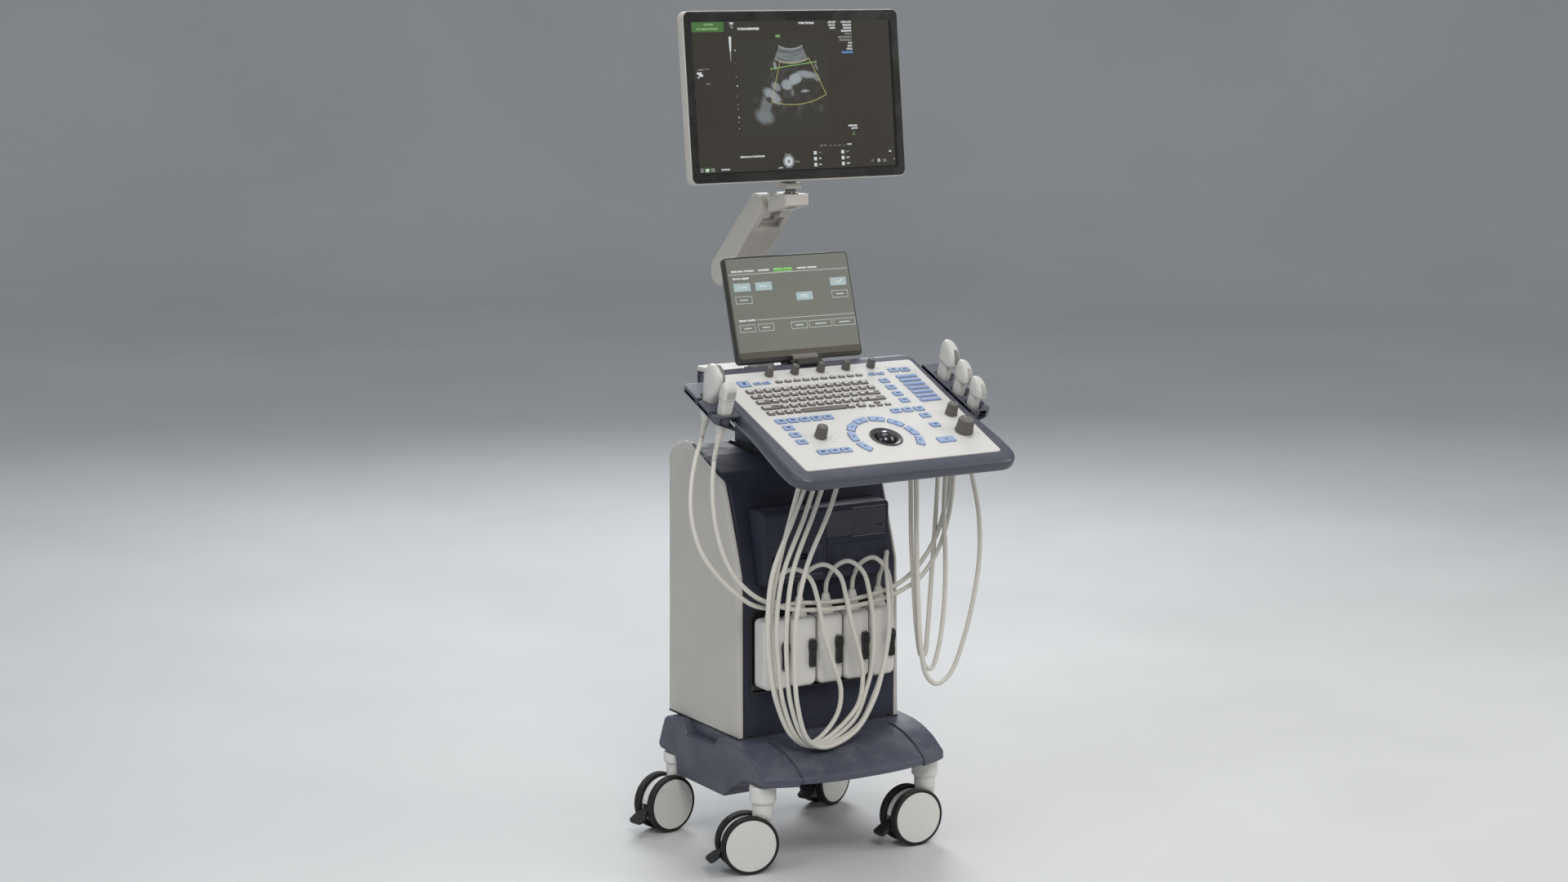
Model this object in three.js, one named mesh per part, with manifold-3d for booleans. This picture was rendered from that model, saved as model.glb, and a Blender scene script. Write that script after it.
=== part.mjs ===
// Cart-type ultrasound machine: wheeled base, cabinet, lifting and swivelling console,
// touch screen, arm-mounted monitor.
// Millimetres, +Z up, +X to the right of a user standing in front, -Y towards the user.
import * as THREE from "three";
import { mergeVertices } from "three/addons/utils/BufferGeometryUtils.js";
import Module from "manifold-3d";

const wasm = await Module();
wasm.setup();

// ---------- driving dimensions ----------
const FRAME_SHIFT = [4.45, 56.75, 0]; // puts the bottom centre of the bounding box at the origin
const GAP = 0.4; // clearance between neighbouring pieces

const WHEEL_R = 55;
const WHEEL_HALF = 27.6; // half the width across both discs of a caster
const CASTER_TRAIL = 31.2;
const STEM_X = 180.4;
const STEM_Y = 163.1;

const BASE_HALF = 200;
const BASE_TOP = 226;
const BODY_FRONT = -71;
const BODY_REAR = 193;
const BODY_HALF = 178;
const HOUSING_HALF = 168;
const WALL = 3.5;
const VENT_Z = 330;
const RECESS = { x: 150, z0: 312, z1: 467 };
const CONNECTOR = { pitch: 58.8, width: 55.6, z0: 322, z1: 455, y0: -112, y1: -75, noseY: -93 };
const BAY = { x: 138.5, z0: 517.5, z1: 656.5, y0: -98, y1: 60 };

const COLUMN_Y = 120;
const COLUMN_FOOT_Z = BASE_TOP + 1.4;
const LIFT_Z = 848;
const TONGUE = { half: 70, z0: 800, z1: 842 };

const SLOPE = 22.32; // degrees; the console rises towards the rear
const CONSOLE = { y: -363.2, z: 783.5 };
const PANEL = { front: 209.6, rear: 218.7, depth: 343.9, thick: 4 }; // front, rear: half widths
const TRAY = { half: 229.5, s0: -31, s1: 365 };
const BALL = { r: 25.4, x: 6, s: 82 };

// Leaning screens: y, z is the bottom front edge, lean is in degrees.
const TOUCH = { w: 272, h: 197, thick: 20, y: -6.4, z: 929.5, lean: 16.9 };
const MONITOR = { w: 468, h: 316, thick: 27, y: -5.9, z: 1261, lean: 6.3 };
// Pivot axes, all parallel to X: [y, z]
const TOUCH_HINGE = [14, 936];
const MONITOR_HINGE = [51, 1335];
const ARM_LOW = [246, 1071];
const ARM_UP = [105, 1208];
const ARM_HALF = 37;
const NECK_Y = 33;

// ---------- finishes ----------
const FINISHES = {
  base: { color: 0x5c5f70, roughness: 0.5 },
  fork: { color: 0xe6e4df, roughness: 0.5 },
  wheel: { color: 0x161616, roughness: 0.7 },
  black: { color: 0x0c0c0d, roughness: 0.5 },
  connectorPanel: { color: 0x0c0c0d, roughness: 0.55 },
  latch: { color: 0x0c0c0d, roughness: 0.45 },
  trackball: { color: 0x0c0c0d, roughness: 0.1 },
  housing: { color: 0x23263a, roughness: 0.6 },
  driveBay: { color: 0x23263a, roughness: 0.55 },
  discTray: { color: 0x23263a, roughness: 0.5 },
  sideCover: { color: 0xc9c5bd, roughness: 0.55 },
  monitor: { color: 0xc9c5bd, roughness: 0.5 },
  connector: { color: 0xdcdad4, roughness: 0.45 },
  sleeve: { color: 0x17181c, roughness: 0.5, metalness: 0.3 },
  bracket: { color: 0x17181c, roughness: 0.5 },
  arm: { color: 0xb3aea6, roughness: 0.5 },
  neck: { color: 0xb3aea6, roughness: 0.45 },
  panel: { color: 0xe4e3e0, roughness: 0.5 },
  keyboard: { color: 0x7d7973, roughness: 0.45 },
  keymat: { color: 0x9fb6dd, roughness: 0.45 },
  knob: { color: 0x5a5650, roughness: 0.6 },
  probe: { color: 0xd9d9d4, roughness: 0.4 },
  touchScreen: { color: 0x3a3d38, roughness: 0.3 },
  cable: { color: 0xd8d5cb, roughness: 0.5 },
};

// ---------- solids ----------
const DEG = Math.PI / 180;
const { PI } = Math;
const repeat = (count, make) => Array.from({ length: count }, (_, i) => make(i));
const join = (...solids) => solids.reduce((a, b) => a.add(b));
const cut = (body, ...tools) => tools.reduce((a, b) => a.subtract(b), body);
const onSide = (solid, side) => (side > 0 ? solid : solid.mirror([1, 0, 0]));

// A closed geometry as a solid.
function toSolid(geometry) {
  const loose = geometry.index ? geometry.toNonIndexed() : geometry;
  loose.deleteAttribute("normal");
  loose.deleteAttribute("uv");
  const merged = mergeVertices(loose, 1e-4);
  const mesh = new wasm.Mesh({
    numProp: 3,
    vertProperties: merged.attributes.position.array,
    triVerts: new Uint32Array(merged.index.array),
  });
  return new wasm.Manifold(mesh);
}

function flip(geometry) {
  const flipped = geometry.index ? geometry.toNonIndexed() : geometry;
  const p = flipped.attributes.position.array;
  for (let i = 0; i < p.length; i += 9)
    for (let k = 0; k < 3; k++) [p[i + 3 + k], p[i + 6 + k]] = [p[i + 6 + k], p[i + 3 + k]];
  return flipped;
}

// As toSolid, with the triangles turned over if they face inwards.
function toOutwardSolid(geometry) {
  const solid = toSolid(geometry);
  return solid.volume() < 0 ? toSolid(flip(geometry)) : solid;
}

function toGeometry(solid) {
  const mesh = solid.getMesh();
  const geometry = new THREE.BufferGeometry();
  geometry.setAttribute("position", new THREE.BufferAttribute(mesh.vertProperties, 3));
  geometry.setIndex(new THREE.BufferAttribute(mesh.triVerts, 1));
  geometry.computeVertexNormals();
  return geometry;
}

// ---------- outlines: lists of 2D points ----------
// Angles in radians; steps + 1 points.
const arc = (cx, cy, r, start, turn, steps) =>
  repeat(steps + 1, (i) => {
    const angle = start + (turn * i) / steps;
    return [cx + r * Math.cos(angle), cy + r * Math.sin(angle)];
  });

// Rounds every corner, by one radius or by a list with one per corner.
function fillet(points, radius, steps = 3) {
  const count = points.length;
  return points.flatMap((point, i) => {
    const wanted = Array.isArray(radius) ? radius[i] : radius;
    if (!wanted) return [point];
    const corner = new THREE.Vector2(...point);
    const before = new THREE.Vector2(...points[(i + count - 1) % count]).sub(corner);
    const after = new THREE.Vector2(...points[(i + 1) % count]).sub(corner);
    const room = 0.49 * Math.min(before.length(), after.length());
    before.normalize();
    after.normalize();
    const angle = Math.acos(THREE.MathUtils.clamp(before.dot(after), -1, 1));
    if (angle > PI - 0.02) return [point];
    const setback = Math.min(wanted / Math.tan(angle / 2), room);
    const r = setback * Math.tan(angle / 2);
    const toCentre = before.clone().add(after).normalize();
    const centre = toCentre.multiplyScalar(r / Math.sin(angle / 2)).add(corner);
    const from = corner.clone().addScaledVector(before, setback).sub(centre);
    const to = corner.clone().addScaledVector(after, setback).sub(centre);
    const start = Math.atan2(from.y, from.x);
    let turn = Math.atan2(to.y, to.x) - start;
    while (turn > PI) turn -= 2 * PI;
    while (turn < -PI) turn += 2 * PI;
    return arc(centre.x, centre.y, r, start, turn, steps);
  });
}
const rect = (x0, y0, x1, y1, r = 0, steps = 3) =>
  fillet([[x0, y0], [x1, y0], [x1, y1], [x0, y1]], r, steps);
const disc = (cx, cy, r, sides) =>
  repeat(sides, (i) => {
    const angle = (2 * PI * (i + 0.5)) / sides;
    return [cx + r * Math.cos(angle), cy + r * Math.sin(angle)];
  });
// Superellipse: roundness 2 is an ellipse, higher is squarer.
const superellipse = (halfX, halfY, roundness, cx, cy) => {
  const bulge = (v) => Math.sign(v) * Math.abs(v) ** (2 / roundness);
  return disc(0, 0, 1, 12).map(([x, y]) => [cx + halfX * bulge(x), cy + halfY * bulge(y)]);
};
const toShape = (points) => new THREE.Shape(points.map((p) => new THREE.Vector2(...p)));
const atHeight = (points, z) => points.map((p) => [...p, z]);

// ---------- basic forms ----------
// Prism of a plan outline between two heights, with optional edge bevel.
function prism(points, z0, z1, bevel = 0, bevelSegments = 2) {
  const geometry = new THREE.ExtrudeGeometry(toShape(points), {
    depth: z1 - z0 - 2 * bevel,
    bevelEnabled: bevel > 0,
    bevelSize: bevel,
    bevelThickness: bevel,
    bevelOffset: -bevel,
    bevelSegments,
    steps: 1,
  });
  return toSolid(geometry.translate(0, 0, z0 + bevel));
}
// Points are [x, z]; the prism runs from y0 to y1.
const prismY = (points, y0, y1, bevel, bevelSegments) =>
  prism(points, -y1, -y0, bevel, bevelSegments).rotate([90, 0, 0]);
// Points are [y, z]; the prism runs from x0 to x1.
const prismX = (points, x0, x1, bevel, bevelSegments) =>
  prism(points, x0, x1, bevel, bevelSegments).rotate([90, 0, 90]);
// Prism along X, centred on x = 0.
const barX = (points, half, bevel, bevelSegments) =>
  prismX(points, -half, half, bevel, bevelSegments);
const box = (x0, y0, z0, x1, y1, z1, bevel = 0) =>
  prism(rect(x0, y0, x1, y1), z0, z1, bevel, 1);
// Turned profile [r, z] about Z, starting and ending on the axis.
function lathe(profile, sides) {
  const points = profile.map((p) => new THREE.Vector2(...p));
  return toOutwardSolid(new THREE.LatheGeometry(points, sides).rotateX(PI / 2));
}

// Closed loft through rings of equal point count; each ring is a list of [x, y, z].
function loft(rings) {
  const count = rings[0].length;
  const positions = rings.flat().flat();
  const triangles = [];
  for (let i = 0; i + 1 < rings.length; i++)
    for (let j = 0; j < count; j++) {
      const a = i * count + j;
      const b = i * count + ((j + 1) % count);
      triangles.push(a, b, b + count, a, b + count, a + count);
    }
  const addCap = (ring, first, backwards) => {
    const centre = ring.reduce((sum, p) => sum.map((v, k) => v + p[k] / count), [0, 0, 0]);
    positions.push(...centre);
    const hub = positions.length / 3 - 1;
    for (let j = 0; j < count; j++) {
      const edge = [first + j, first + ((j + 1) % count)];
      triangles.push(hub, ...(backwards ? edge.reverse() : edge));
    }
  };
  addCap(rings[0], 0, true);
  addCap(rings[rings.length - 1], (rings.length - 1) * count, false);
  const geometry = new THREE.BufferGeometry();
  geometry.setAttribute("position", new THREE.Float32BufferAttribute(positions, 3));
  geometry.setIndex(triangles);
  return toOutwardSolid(geometry);
}

// Bar along a smooth curve through points.
function sweep(points, r, steps, sides) {
  const vectors = points.map((p) => new THREE.Vector3(...p));
  const extrudePath = new THREE.CatmullRomCurve3(vectors, false, "centripetal");
  const options = { steps, extrudePath, bevelEnabled: false };
  return toOutwardSolid(new THREE.ExtrudeGeometry(toShape(disc(0, 0, r, sides)), options));
}

// ---------- scene ----------
const root = new THREE.Group();
root.position.set(...FRAME_SHIFT);
function add(parent, name, solid, finish) {
  const mesh = new THREE.Mesh(toGeometry(solid), new THREE.MeshStandardMaterial(finish));
  mesh.name = name;
  parent.add(mesh);
}
// Angles in degrees.
function addGroup(x, y, z, turnX, turnZ = 0) {
  const group = new THREE.Group();
  group.position.set(x, y, z);
  group.rotation.set(turnX * DEG, 0, turnZ * DEG);
  root.add(group);
  return group;
}

// ---------- base ----------
// The top falls away towards a front edge that is bowed in plan.
// [distance behind the front edge, height]
const BASE_FALL = [[0, 181.6], [12, 190], [35, 204.5], [70, 217.5], [105, 224], [150, BASE_TOP]];
const BASE_STATIONS = [-200, -196, -180, -150, -110, -60, 0, 60, 110, 150, 180, 196, 200]; // x
const baseFront = (x) => -(199 + 46 * (1 - (Math.abs(x) / BASE_HALF) ** 2.4));
function baseTop(distance) {
  const i = BASE_FALL.findIndex(([d], k) => k > 0 && distance <= d);
  return THREE.MathUtils.mapLinear(
    distance, BASE_FALL[i - 1][0], BASE_FALL[i][0], BASE_FALL[i - 1][1], BASE_FALL[i][1],
  );
}
function baseRing(x) {
  const front = baseFront(x);
  // [y, z] over the top, down the rear and back along the underside
  const section = [
    ...BASE_FALL.map(([d, z]) => [front + d, z]),
    [168, BASE_TOP - 4], [190, 186], [200, 165], [192, 152], [136, 150], [129, 115],
    [-52, 115], [-78, 136], [-132, 165.5], [front + 1, 170.6],
  ];
  return section.map((p) => [x, ...p]);
}
// Groove running front to back on the right, following the falling top.
function baseGroove() {
  const ring = (x) => {
    const front = baseFront(x);
    const section = [
      [front - 3, 166],
      [front - 3, 184],
      ...[0, 12, 35, 70, 105, 132].map((d) => [front + d + 1, baseTop(d) + 6]),
      ...[132, 105, 70, 35, 12, 4].map((d) => [front + d + 4, baseTop(d) - 3.2]),
      [front + 3.5, 166],
    ];
    return section.map((p) => [x, ...p]);
  };
  return loft([ring(131), ring(137)]);
}
function baseChassis() {
  // ledge between the front and rear fender lumps
  const ledge = prismX([[-45, 240], [-14, 203], [93, 203], [112, 240]], 179, 205);
  const groove = baseGroove();
  const cuts = [-1, 1].flatMap((side) => [
    onSide(ledge, side),
    onSide(groove, side),
    ...[-1, 1].map((end) => prism(disc(side * STEM_X, end * STEM_Y, 7.2, 16), 140, 200)),
  ]);
  return cut(loft(BASE_STATIONS.map(baseRing)), ...cuts);
}
add(root, "base_chassis", baseChassis(), FINISHES.base);

// ---------- casters ----------
// Local frame: stem on Z, disc faces point to -Y and +Y, the wheels trail towards -X.
const AXLE_X = -CASTER_TRAIL;
// [name ending, side of X, side of Y, turn in degrees, height of the stem's shoulder]
const CASTERS = [
  ["front_left", -1, -1, -12.85, 161.5],
  ["front_right", 1, -1, -0.12, 161.5],
  ["rear_left", -1, 1, 10.73, 149],
  ["rear_right", 1, 1, 24.36, 149],
];
// [r, z]: two discs joined by a hub
const WHEEL_PROFILE = [
  [0, -WHEEL_HALF], [48, -WHEEL_HALF], [54, -WHEEL_HALF + 2], [WHEEL_R, -WHEEL_HALF + 5],
  [WHEEL_R, -11], [6, -10.5], [6, 10.5], [WHEEL_R, 11],
  [WHEEL_R, WHEEL_HALF - 5], [54, WHEEL_HALF - 2], [48, WHEEL_HALF], [0, WHEEL_HALF],
];
// [x from the axle, z]
const PEDAL_LEVER = [
  [-28, 57], [-42, 56], [-58, 47], [-78, 28], [-72, 23], [-56, 31], [-40, 40], [-28, 42],
];
const PEDAL_TREAD = [[-58, 43], [-79, 29], [-76, 24], [-58, 33]];

function casterFork(shoulder) {
  const stem = [
    [0, 110.5], [20, 110.5], [20, 127], [22, 130], [25, 146],
    [25, shoulder], [6.6, shoulder], [6.6, 196], [0, 196],
  ];
  const neck = [[-20, 80], [6, 66], [15, 74], [19.5, 88], [19.5, 112], [-17, 112]];
  const yoke = cut(
    join(
      prismY(disc(AXLE_X, WHEEL_R, 49, 24), -9.5, 9.5),
      prismY(neck, -9.5, 9.5),
      prism(disc(0, 0, 19.9, 14), 97, 112).intersect(box(6, -30, 97, 30, 30, 112)),
    ),
    prismY(disc(AXLE_X, WHEEL_R, 6.6, 12), -20, 20),
    prismY(rect(AXLE_X - 60, 0, AXLE_X - 25.5, 59.5), -20, 20),
    prismY(rect(AXLE_X - 60, 0, 60, 26), -20, 20),
  );
  return join(lathe(stem, 14), yoke);
}
function brakePedal() {
  const fromAxle = (points) => points.map(([x, z]) => [AXLE_X + x, z]);
  return join(
    prismY(fillet(fromAxle(PEDAL_LEVER), 1.5, 1), -7.5, 7.5),
    prismY(fromAxle(PEDAL_TREAD), -16, 16),
  );
}
const casterWheel = () =>
  lathe(WHEEL_PROFILE, 22).rotate([90, 0, 0]).translate([AXLE_X, 0, WHEEL_R]);
for (const [ending, side, end, turn, shoulder] of CASTERS) {
  const caster = addGroup(side * STEM_X, end * STEM_Y, 0, 0, turn);
  add(caster, "caster_fork_" + ending, casterFork(shoulder), FINISHES.fork);
  add(caster, "caster_wheel_" + ending, casterWheel(), FINISHES.wheel);
  add(caster, "brake_pedal_" + ending, brakePedal(), FINISHES.black);
}

// ---------- cabinet ----------
// Side profiles [y, z], from the rear bottom corner over the top to the front bottom corner.
const HOUSING_PROFILE = [
  [BODY_REAR - 3, BASE_TOP + 1], [BODY_REAR - 3, 742], [176, 748], [82, 741], [6, 720],
  [-26, 690], [-45, 633], [-68, 545], [BODY_FRONT, 525], [BODY_FRONT, BASE_TOP + 1],
];
const HOUSING_RADII = [0, 6, 8, 0, 12, 10, 0, 0, 0, 0];
// open at the rear and the bottom
const CAVITY_PROFILE = [
  [BODY_REAR + 20, BASE_TOP - 20], [BODY_REAR + 20, 738], [176, 744], [82, 737], [8, 716.5],
  [-22.5, 688.5], [-41.5, 633], [-64.5, 545], [BODY_FRONT + WALL, 525],
  [BODY_FRONT + WALL, BASE_TOP - 20],
];
const COVER_PROFILE = [
  [BODY_REAR + 2, BASE_TOP + 0.6], [BODY_REAR + 2, 736], [170, 757], [130.8, 766],
  [13.6, 714], [-10.7, 706.7], [-25.5, 670], [-43.3, 619], [-61, 568], [-71, 537],
  [-72.5, 500], [-72.5, BASE_TOP + 0.6],
];
const COVER_RADII = [0, 24, 20, 18, 14, 14, 0, 0, 10, 10, 0, 0];

const mainHousing = () =>
  cut(
    barX(fillet(HOUSING_PROFILE, HOUSING_RADII), HOUSING_HALF),
    barX(CAVITY_PROFILE, HOUSING_HALF - WALL),
    box(-RECESS.x, -90, RECESS.z0, RECESS.x, -50, RECESS.z1),
    box(-BAY.x - 0.8, -90, BAY.z0 - 0.8, BAY.x + 0.8, 12, BAY.z1 + 0.8),
    box(-62, COLUMN_Y - 52, 700, 62, COLUMN_Y + 52, 760),
  );
const sideCover = (side) =>
  onSide(prismX(fillet(COVER_PROFILE, COVER_RADII), HOUSING_HALF + GAP, BODY_HALF, 3.2), side);

// Plate with a round vent, spokes and a hub.
function rearCover() {
  const half = HOUSING_HALF - WALL - GAP;
  const y0 = BODY_REAR - 2.4;
  const y1 = BODY_REAR + 1.4;
  const plate = prismY(rect(-half, BASE_TOP + 1, half, 735, 4, 2), y0, y1);
  const spoke = prismY(rect(-46, -1.6, 46, 1.6), y0 + 0.2, y1 - 0.2);
  return join(
    cut(plate, prismY(disc(0, VENT_Z, 44, 28), 150, 230)),
    ...[0, 60, 120].map((a) => spoke.rotate([0, a, 0]).translate([0, 0, VENT_Z])),
    prismY(disc(0, VENT_Z, 12, 16), y0, y1),
  );
}
// Hub and blades just inside the vent.
function fanRotor() {
  const bladeCount = 7;
  const blade = prism(rect(6, -1, 40, 1), -6.5, 6.5).rotate([32, 0, 0]);
  const blades = repeat(bladeCount, (i) =>
    blade.rotate([0, (i * 360) / bladeCount, 0]).translate([0, 178.5, 0]),
  );
  return join(prismY(disc(0, 0, 13, 16), 171, 186), ...blades).translate([0, 0, VENT_Z]);
}
add(root, "main_housing", mainHousing(), FINISHES.housing);
add(root, "left_side_cover", sideCover(-1), FINISHES.sideCover);
add(root, "right_side_cover", sideCover(1), FINISHES.sideCover);
add(root, "rear_cover", rearCover(), FINISHES.housing);
add(root, "fan_rotor", fanRotor(), FINISHES.black);

// ---------- connector panel, connectors and latches ----------
const CONNECTOR_XS = [-2, -1, 0, 1, 2].map((k) => k * CONNECTOR.pitch);
const NOSE_PROFILE = [[0, -6], [11, -6], [11, 4], [8.5, 13], [5.2, 36], [0, 36]]; // [r, z]
const LATCH_Z = 400;

function connectorPanel() {
  const half = RECESS.x - 0.8;
  return cut(
    prismY(rect(-half, RECESS.z0 + 0.8, half, RECESS.z1 - 0.8, 2, 2), -66, -61),
    ...CONNECTOR_XS.map((x) => prismY(rect(x - 22.5, 333.5, x + 22.5, 443.5, 5, 1), -80, -50)),
  );
}
function probeConnector(x) {
  const { width, z0, z1, y0, y1, noseY } = CONNECTOR;
  return cut(
    join(
      prismY(rect(x - width / 2, z0, x + width / 2, z1, 9, 2), y0, y1, 3.5, 1),
      prismY(rect(x - 22, 334, x + 22, 443, 5, 1), y1 - 1, -56),
      lathe(NOSE_PROFILE, 12).translate([x, noseY, z1]),
    ),
    prismY(disc(x + 16, LATCH_Z, 3.6, 10), y0 - 5, y0 + 14),
  );
}
function connectorLatch(x) {
  const front = CONNECTOR.y0;
  return join(
    prismY(rect(x + 10, 359, x + 22, 411, 4, 1), front - 9, front - 0.5),
    prismY(disc(x + 16, LATCH_Z, 3, 8), front - 2, front + 12),
    prismY(disc(x + 16, LATCH_Z, 6.5, 10), front - 12, front - 8),
  );
}
add(root, "connector_panel", connectorPanel(), FINISHES.connectorPanel);
CONNECTOR_XS.forEach((x, i) => {
  add(root, `probe_connector_${i + 1}`, probeConnector(x), FINISHES.connector);
  add(root, `connector_latch_${i + 1}`, connectorLatch(x), FINISHES.latch);
});

// ---------- drive bay ----------
const DISC_TRAY = { x0: -1, x1: 131, z0: 597, z1: 647 };
function driveBay() {
  const { x, y0, y1, z0, z1 } = BAY;
  const socket = (left, bottom) => box(left, y0 - 5, bottom, left + 15, y0 + 9, bottom + 10);
  return cut(
    barX(fillet([[y0, z0], [y1, z0], [y1, z1], [y0, z1]], [5, 0, 0, 7]), x, 3),
    box(
      DISC_TRAY.x0 - 0.6, y0 - 5, DISC_TRAY.z0 - 0.6,
      DISC_TRAY.x1 + 0.6, y1 - 12, DISC_TRAY.z1 + 0.6,
    ),
    socket(-120, 563),
    socket(-58, 563),
    socket(-24, 603),
  );
}
function discTray() {
  const { x0, x1, z0, z1 } = DISC_TRAY;
  const front = box(x0, BAY.y0 - 0.6, z0, x1, BAY.y0 + 4, z1, 1);
  const shelf = box(x0 + 2, BAY.y0 + 3, 601, x1 - 2, BAY.y1 - 16, 609);
  return cut(join(front, shelf), prism(disc((x0 + x1) / 2, -20, 61, 32), 605, 620));
}
add(root, "drive_bay", driveBay(), FINISHES.driveBay);
add(root, "disc_tray", discTray(), FINISHES.discTray);

// ---------- lift column ----------
// [y, z]: post leaning back from the lift head to the arm's lower pivot
const POST_PROFILE = [
  [116, LIFT_Z + 38], [164, LIFT_Z + 38], [167, 914], [258, 1061], [230, 1078], [127, 912],
];
// Box centred on the column in plan.
const columnBox = (halfX, halfY, z0, z1, bevel) =>
  box(-halfX, COLUMN_Y - halfY, z0, halfX, COLUMN_Y + halfY, z1, bevel);
const columnSleeve = () =>
  cut(
    join(columnBox(58, 48, COLUMN_FOOT_Z, 752, 2), columnBox(75, 55, COLUMN_FOOT_Z, 236)),
    columnBox(52, 42, 236, 770),
  );
const liftColumn = () =>
  cut(
    join(
      columnBox(50, 40, 300, 790, 1.5),
      prism(disc(0, COLUMN_Y, 34, 32), 789, LIFT_Z + 1),
      prism(rect(-87, 62, 87, 250, 10), LIFT_Z, LIFT_Z + 41, 3),
      barX(POST_PROFILE, 20),
      barX(disc(...ARM_LOW, 24, 32), 20),
    ),
    barX(disc(...ARM_LOW, 8.4, 16), 30),
  );
add(root, "column_sleeve", columnSleeve(), FINISHES.sleeve);
add(root, "lift_column", liftColumn(), FINISHES.arm);

// ---------- console ----------
// Local frame: x across, s (local y) up the slope away from the user, t (local z) out of
// the panel, whose face is t = 0.
const consoleGroup = addGroup(0, CONSOLE.y, CONSOLE.z, SLOPE);

// [s, t]
const TRAY_PROFILE = [
  [TRAY.s0, -9], [TRAY.s0 + 14, -1.5], [TRAY.s1 - 6, -1.5], [TRAY.s1, -7], [TRAY.s1, -46],
  [300, -62], [120, -54], [10, -38], [TRAY.s0 + 6, -30], [TRAY.s0, -22],
];
const TRAY_RADII = [5, 3, 3, 3, 12, 0, 0, 0, 6, 5];
// [y, z] in the root frame: web rising from the tongue to the underside of the tray
const TONGUE_WEB = [
  [-60, 800], [-60, 842], [-20, 842], [-20, 880], [-30, 905], [-60, 880], [-110, 850],
  [-110, 812],
];

function panelOutline(inset) {
  const front = PANEL.front - inset;
  const rear = PANEL.rear - inset;
  const end = PANEL.depth - inset;
  const corners = [[-front, inset], [front, inset], [rear, end], [-rear, end]];
  return fillet(corners, 8 - Math.min(inset, 4), 4);
}
// Swivel tongue under the lift head, in the console's frame.
function swivelTongue() {
  const { half, z0, z1 } = TONGUE;
  const tongue = cut(
    join(box(-half, -40, z0, half, COLUMN_Y, z1), prism(disc(0, COLUMN_Y, half, 32), z0, z1)),
    prism(disc(0, COLUMN_Y, 34.8, 32), 780, 870),
  );
  const placed = join(tongue, barX(TONGUE_WEB, half))
    .translate([0, -CONSOLE.y, -CONSOLE.z])
    .rotate([-SLOPE, 0, 0]);
  return cut(placed, prism(rect(-226, -20, 226, 358), -30, 60));
}
function consoleTray() {
  const front = TRAY.half - 3;
  const rear = TRAY.half + 3;
  const corners = [[-front, TRAY.s0], [front, TRAY.s0], [rear, TRAY.s1], [-rear, TRAY.s1]];
  const plan = prism(fillet(corners, [34, 34, 26, 26], 5), -80, 20);
  const shell = cut(
    barX(fillet(TRAY_PROFILE, TRAY_RADII), 240).intersect(plan),
    prism(panelOutline(-0.5), -PANEL.thick - GAP, 10),
    prism(panelOutline(6), -30, 10),
    prism(disc(BALL.x, BALL.s, 30, 20), -37, 0),
  );
  // side brackets that carry the probe holders
  return join(
    shell,
    swivelTongue(),
    box(-225, 215, -26, -234, 315, -14),
    box(225, 160, -26, 234, 315, -14),
  );
}
const tray = consoleTray();
add(consoleGroup, "console_tray", tray, FINISHES.base);

const KEYPAD = { x0: -184, x1: 108, s0: 190, s1: 290 };
const FUNCTION_ROW = { x0: -108, x1: 92, s0: 296, s1: 308 };
const plateOutline = ({ x0, x1, s0, s1 }, margin, r) =>
  rect(x0 - margin, s0 - margin, x1 + margin, s1 + margin, r, 1);

// [x, s, width, depth, turn in degrees]
const BLUE_KEYS = [
  // ring round the trackball
  ...repeat(8, (i) => {
    const turn = -20.6 + 31.8 * i;
    const x = BALL.x + 65 * Math.cos(turn * DEG);
    return [x, BALL.s + 65 * Math.sin(turn * DEG), 12, 22, turn];
  }),
  // two columns right of the keyboard
  ...repeat(7, (i) => [174, 284 - 14.7 * i, 43, 8.5]),
  ...repeat(4, (i) => [118, 274.5 - 24.8 * i, 17, 13]),
  ...[-169.5, -144.5, -119.5, -94.5, -69.5].map((x) => [x, 167.5, 19, 13]),
  ...[142.8, 118, 93].map((s) => [-166.5, s, 19, 14]),
  ...[-145, -120.5, -96].map((x) => [x, 54.5, 18, 13]),
  ...[79, 104.5, 130].map((x) => [x, 167, 18, 13]),
  [128.5, 140.6, 18, 13], [129, 107.3, 19, 14], [120.5, 53.5, 36, 18],
  // along the rear edge
  [-170.6, 307.8, 24, 20], [-129, 308, 15, 7], [108.5, 303, 13, 7], [126.5, 303, 13, 7],
  [160.5, 312.5, 20, 12], [186.5, 311, 20, 12],
];
function keyOutline([x, s, width, depth, turn = 0], margin) {
  const halfX = width / 2 + margin;
  const halfS = depth / 2 + margin;
  const cos = Math.cos(turn * DEG);
  const sin = Math.sin(turn * DEG);
  return rect(-halfX, -halfS, halfX, halfS).map(([p, q]) => [
    x + p * cos - q * sin,
    s + p * sin + q * cos,
  ]);
}

// [name, x, s, radius, height]
const FRONT_KNOBS = [
  ["knob_left", -121.5, 104, 12, 23],
  ["knob_right_rear", 183.5, 138, 12, 23],
  ["knob_right_front", 173, 76, 17.5, 27],
];
const KNOBS = [
  ...[-104.8, -49.2, 7.7, 63.6, 119.3].map((x, i) => [`knob_gain_${i + 1}`, x, 328, 8.4, 18]),
  ...FRONT_KNOBS,
];

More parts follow.
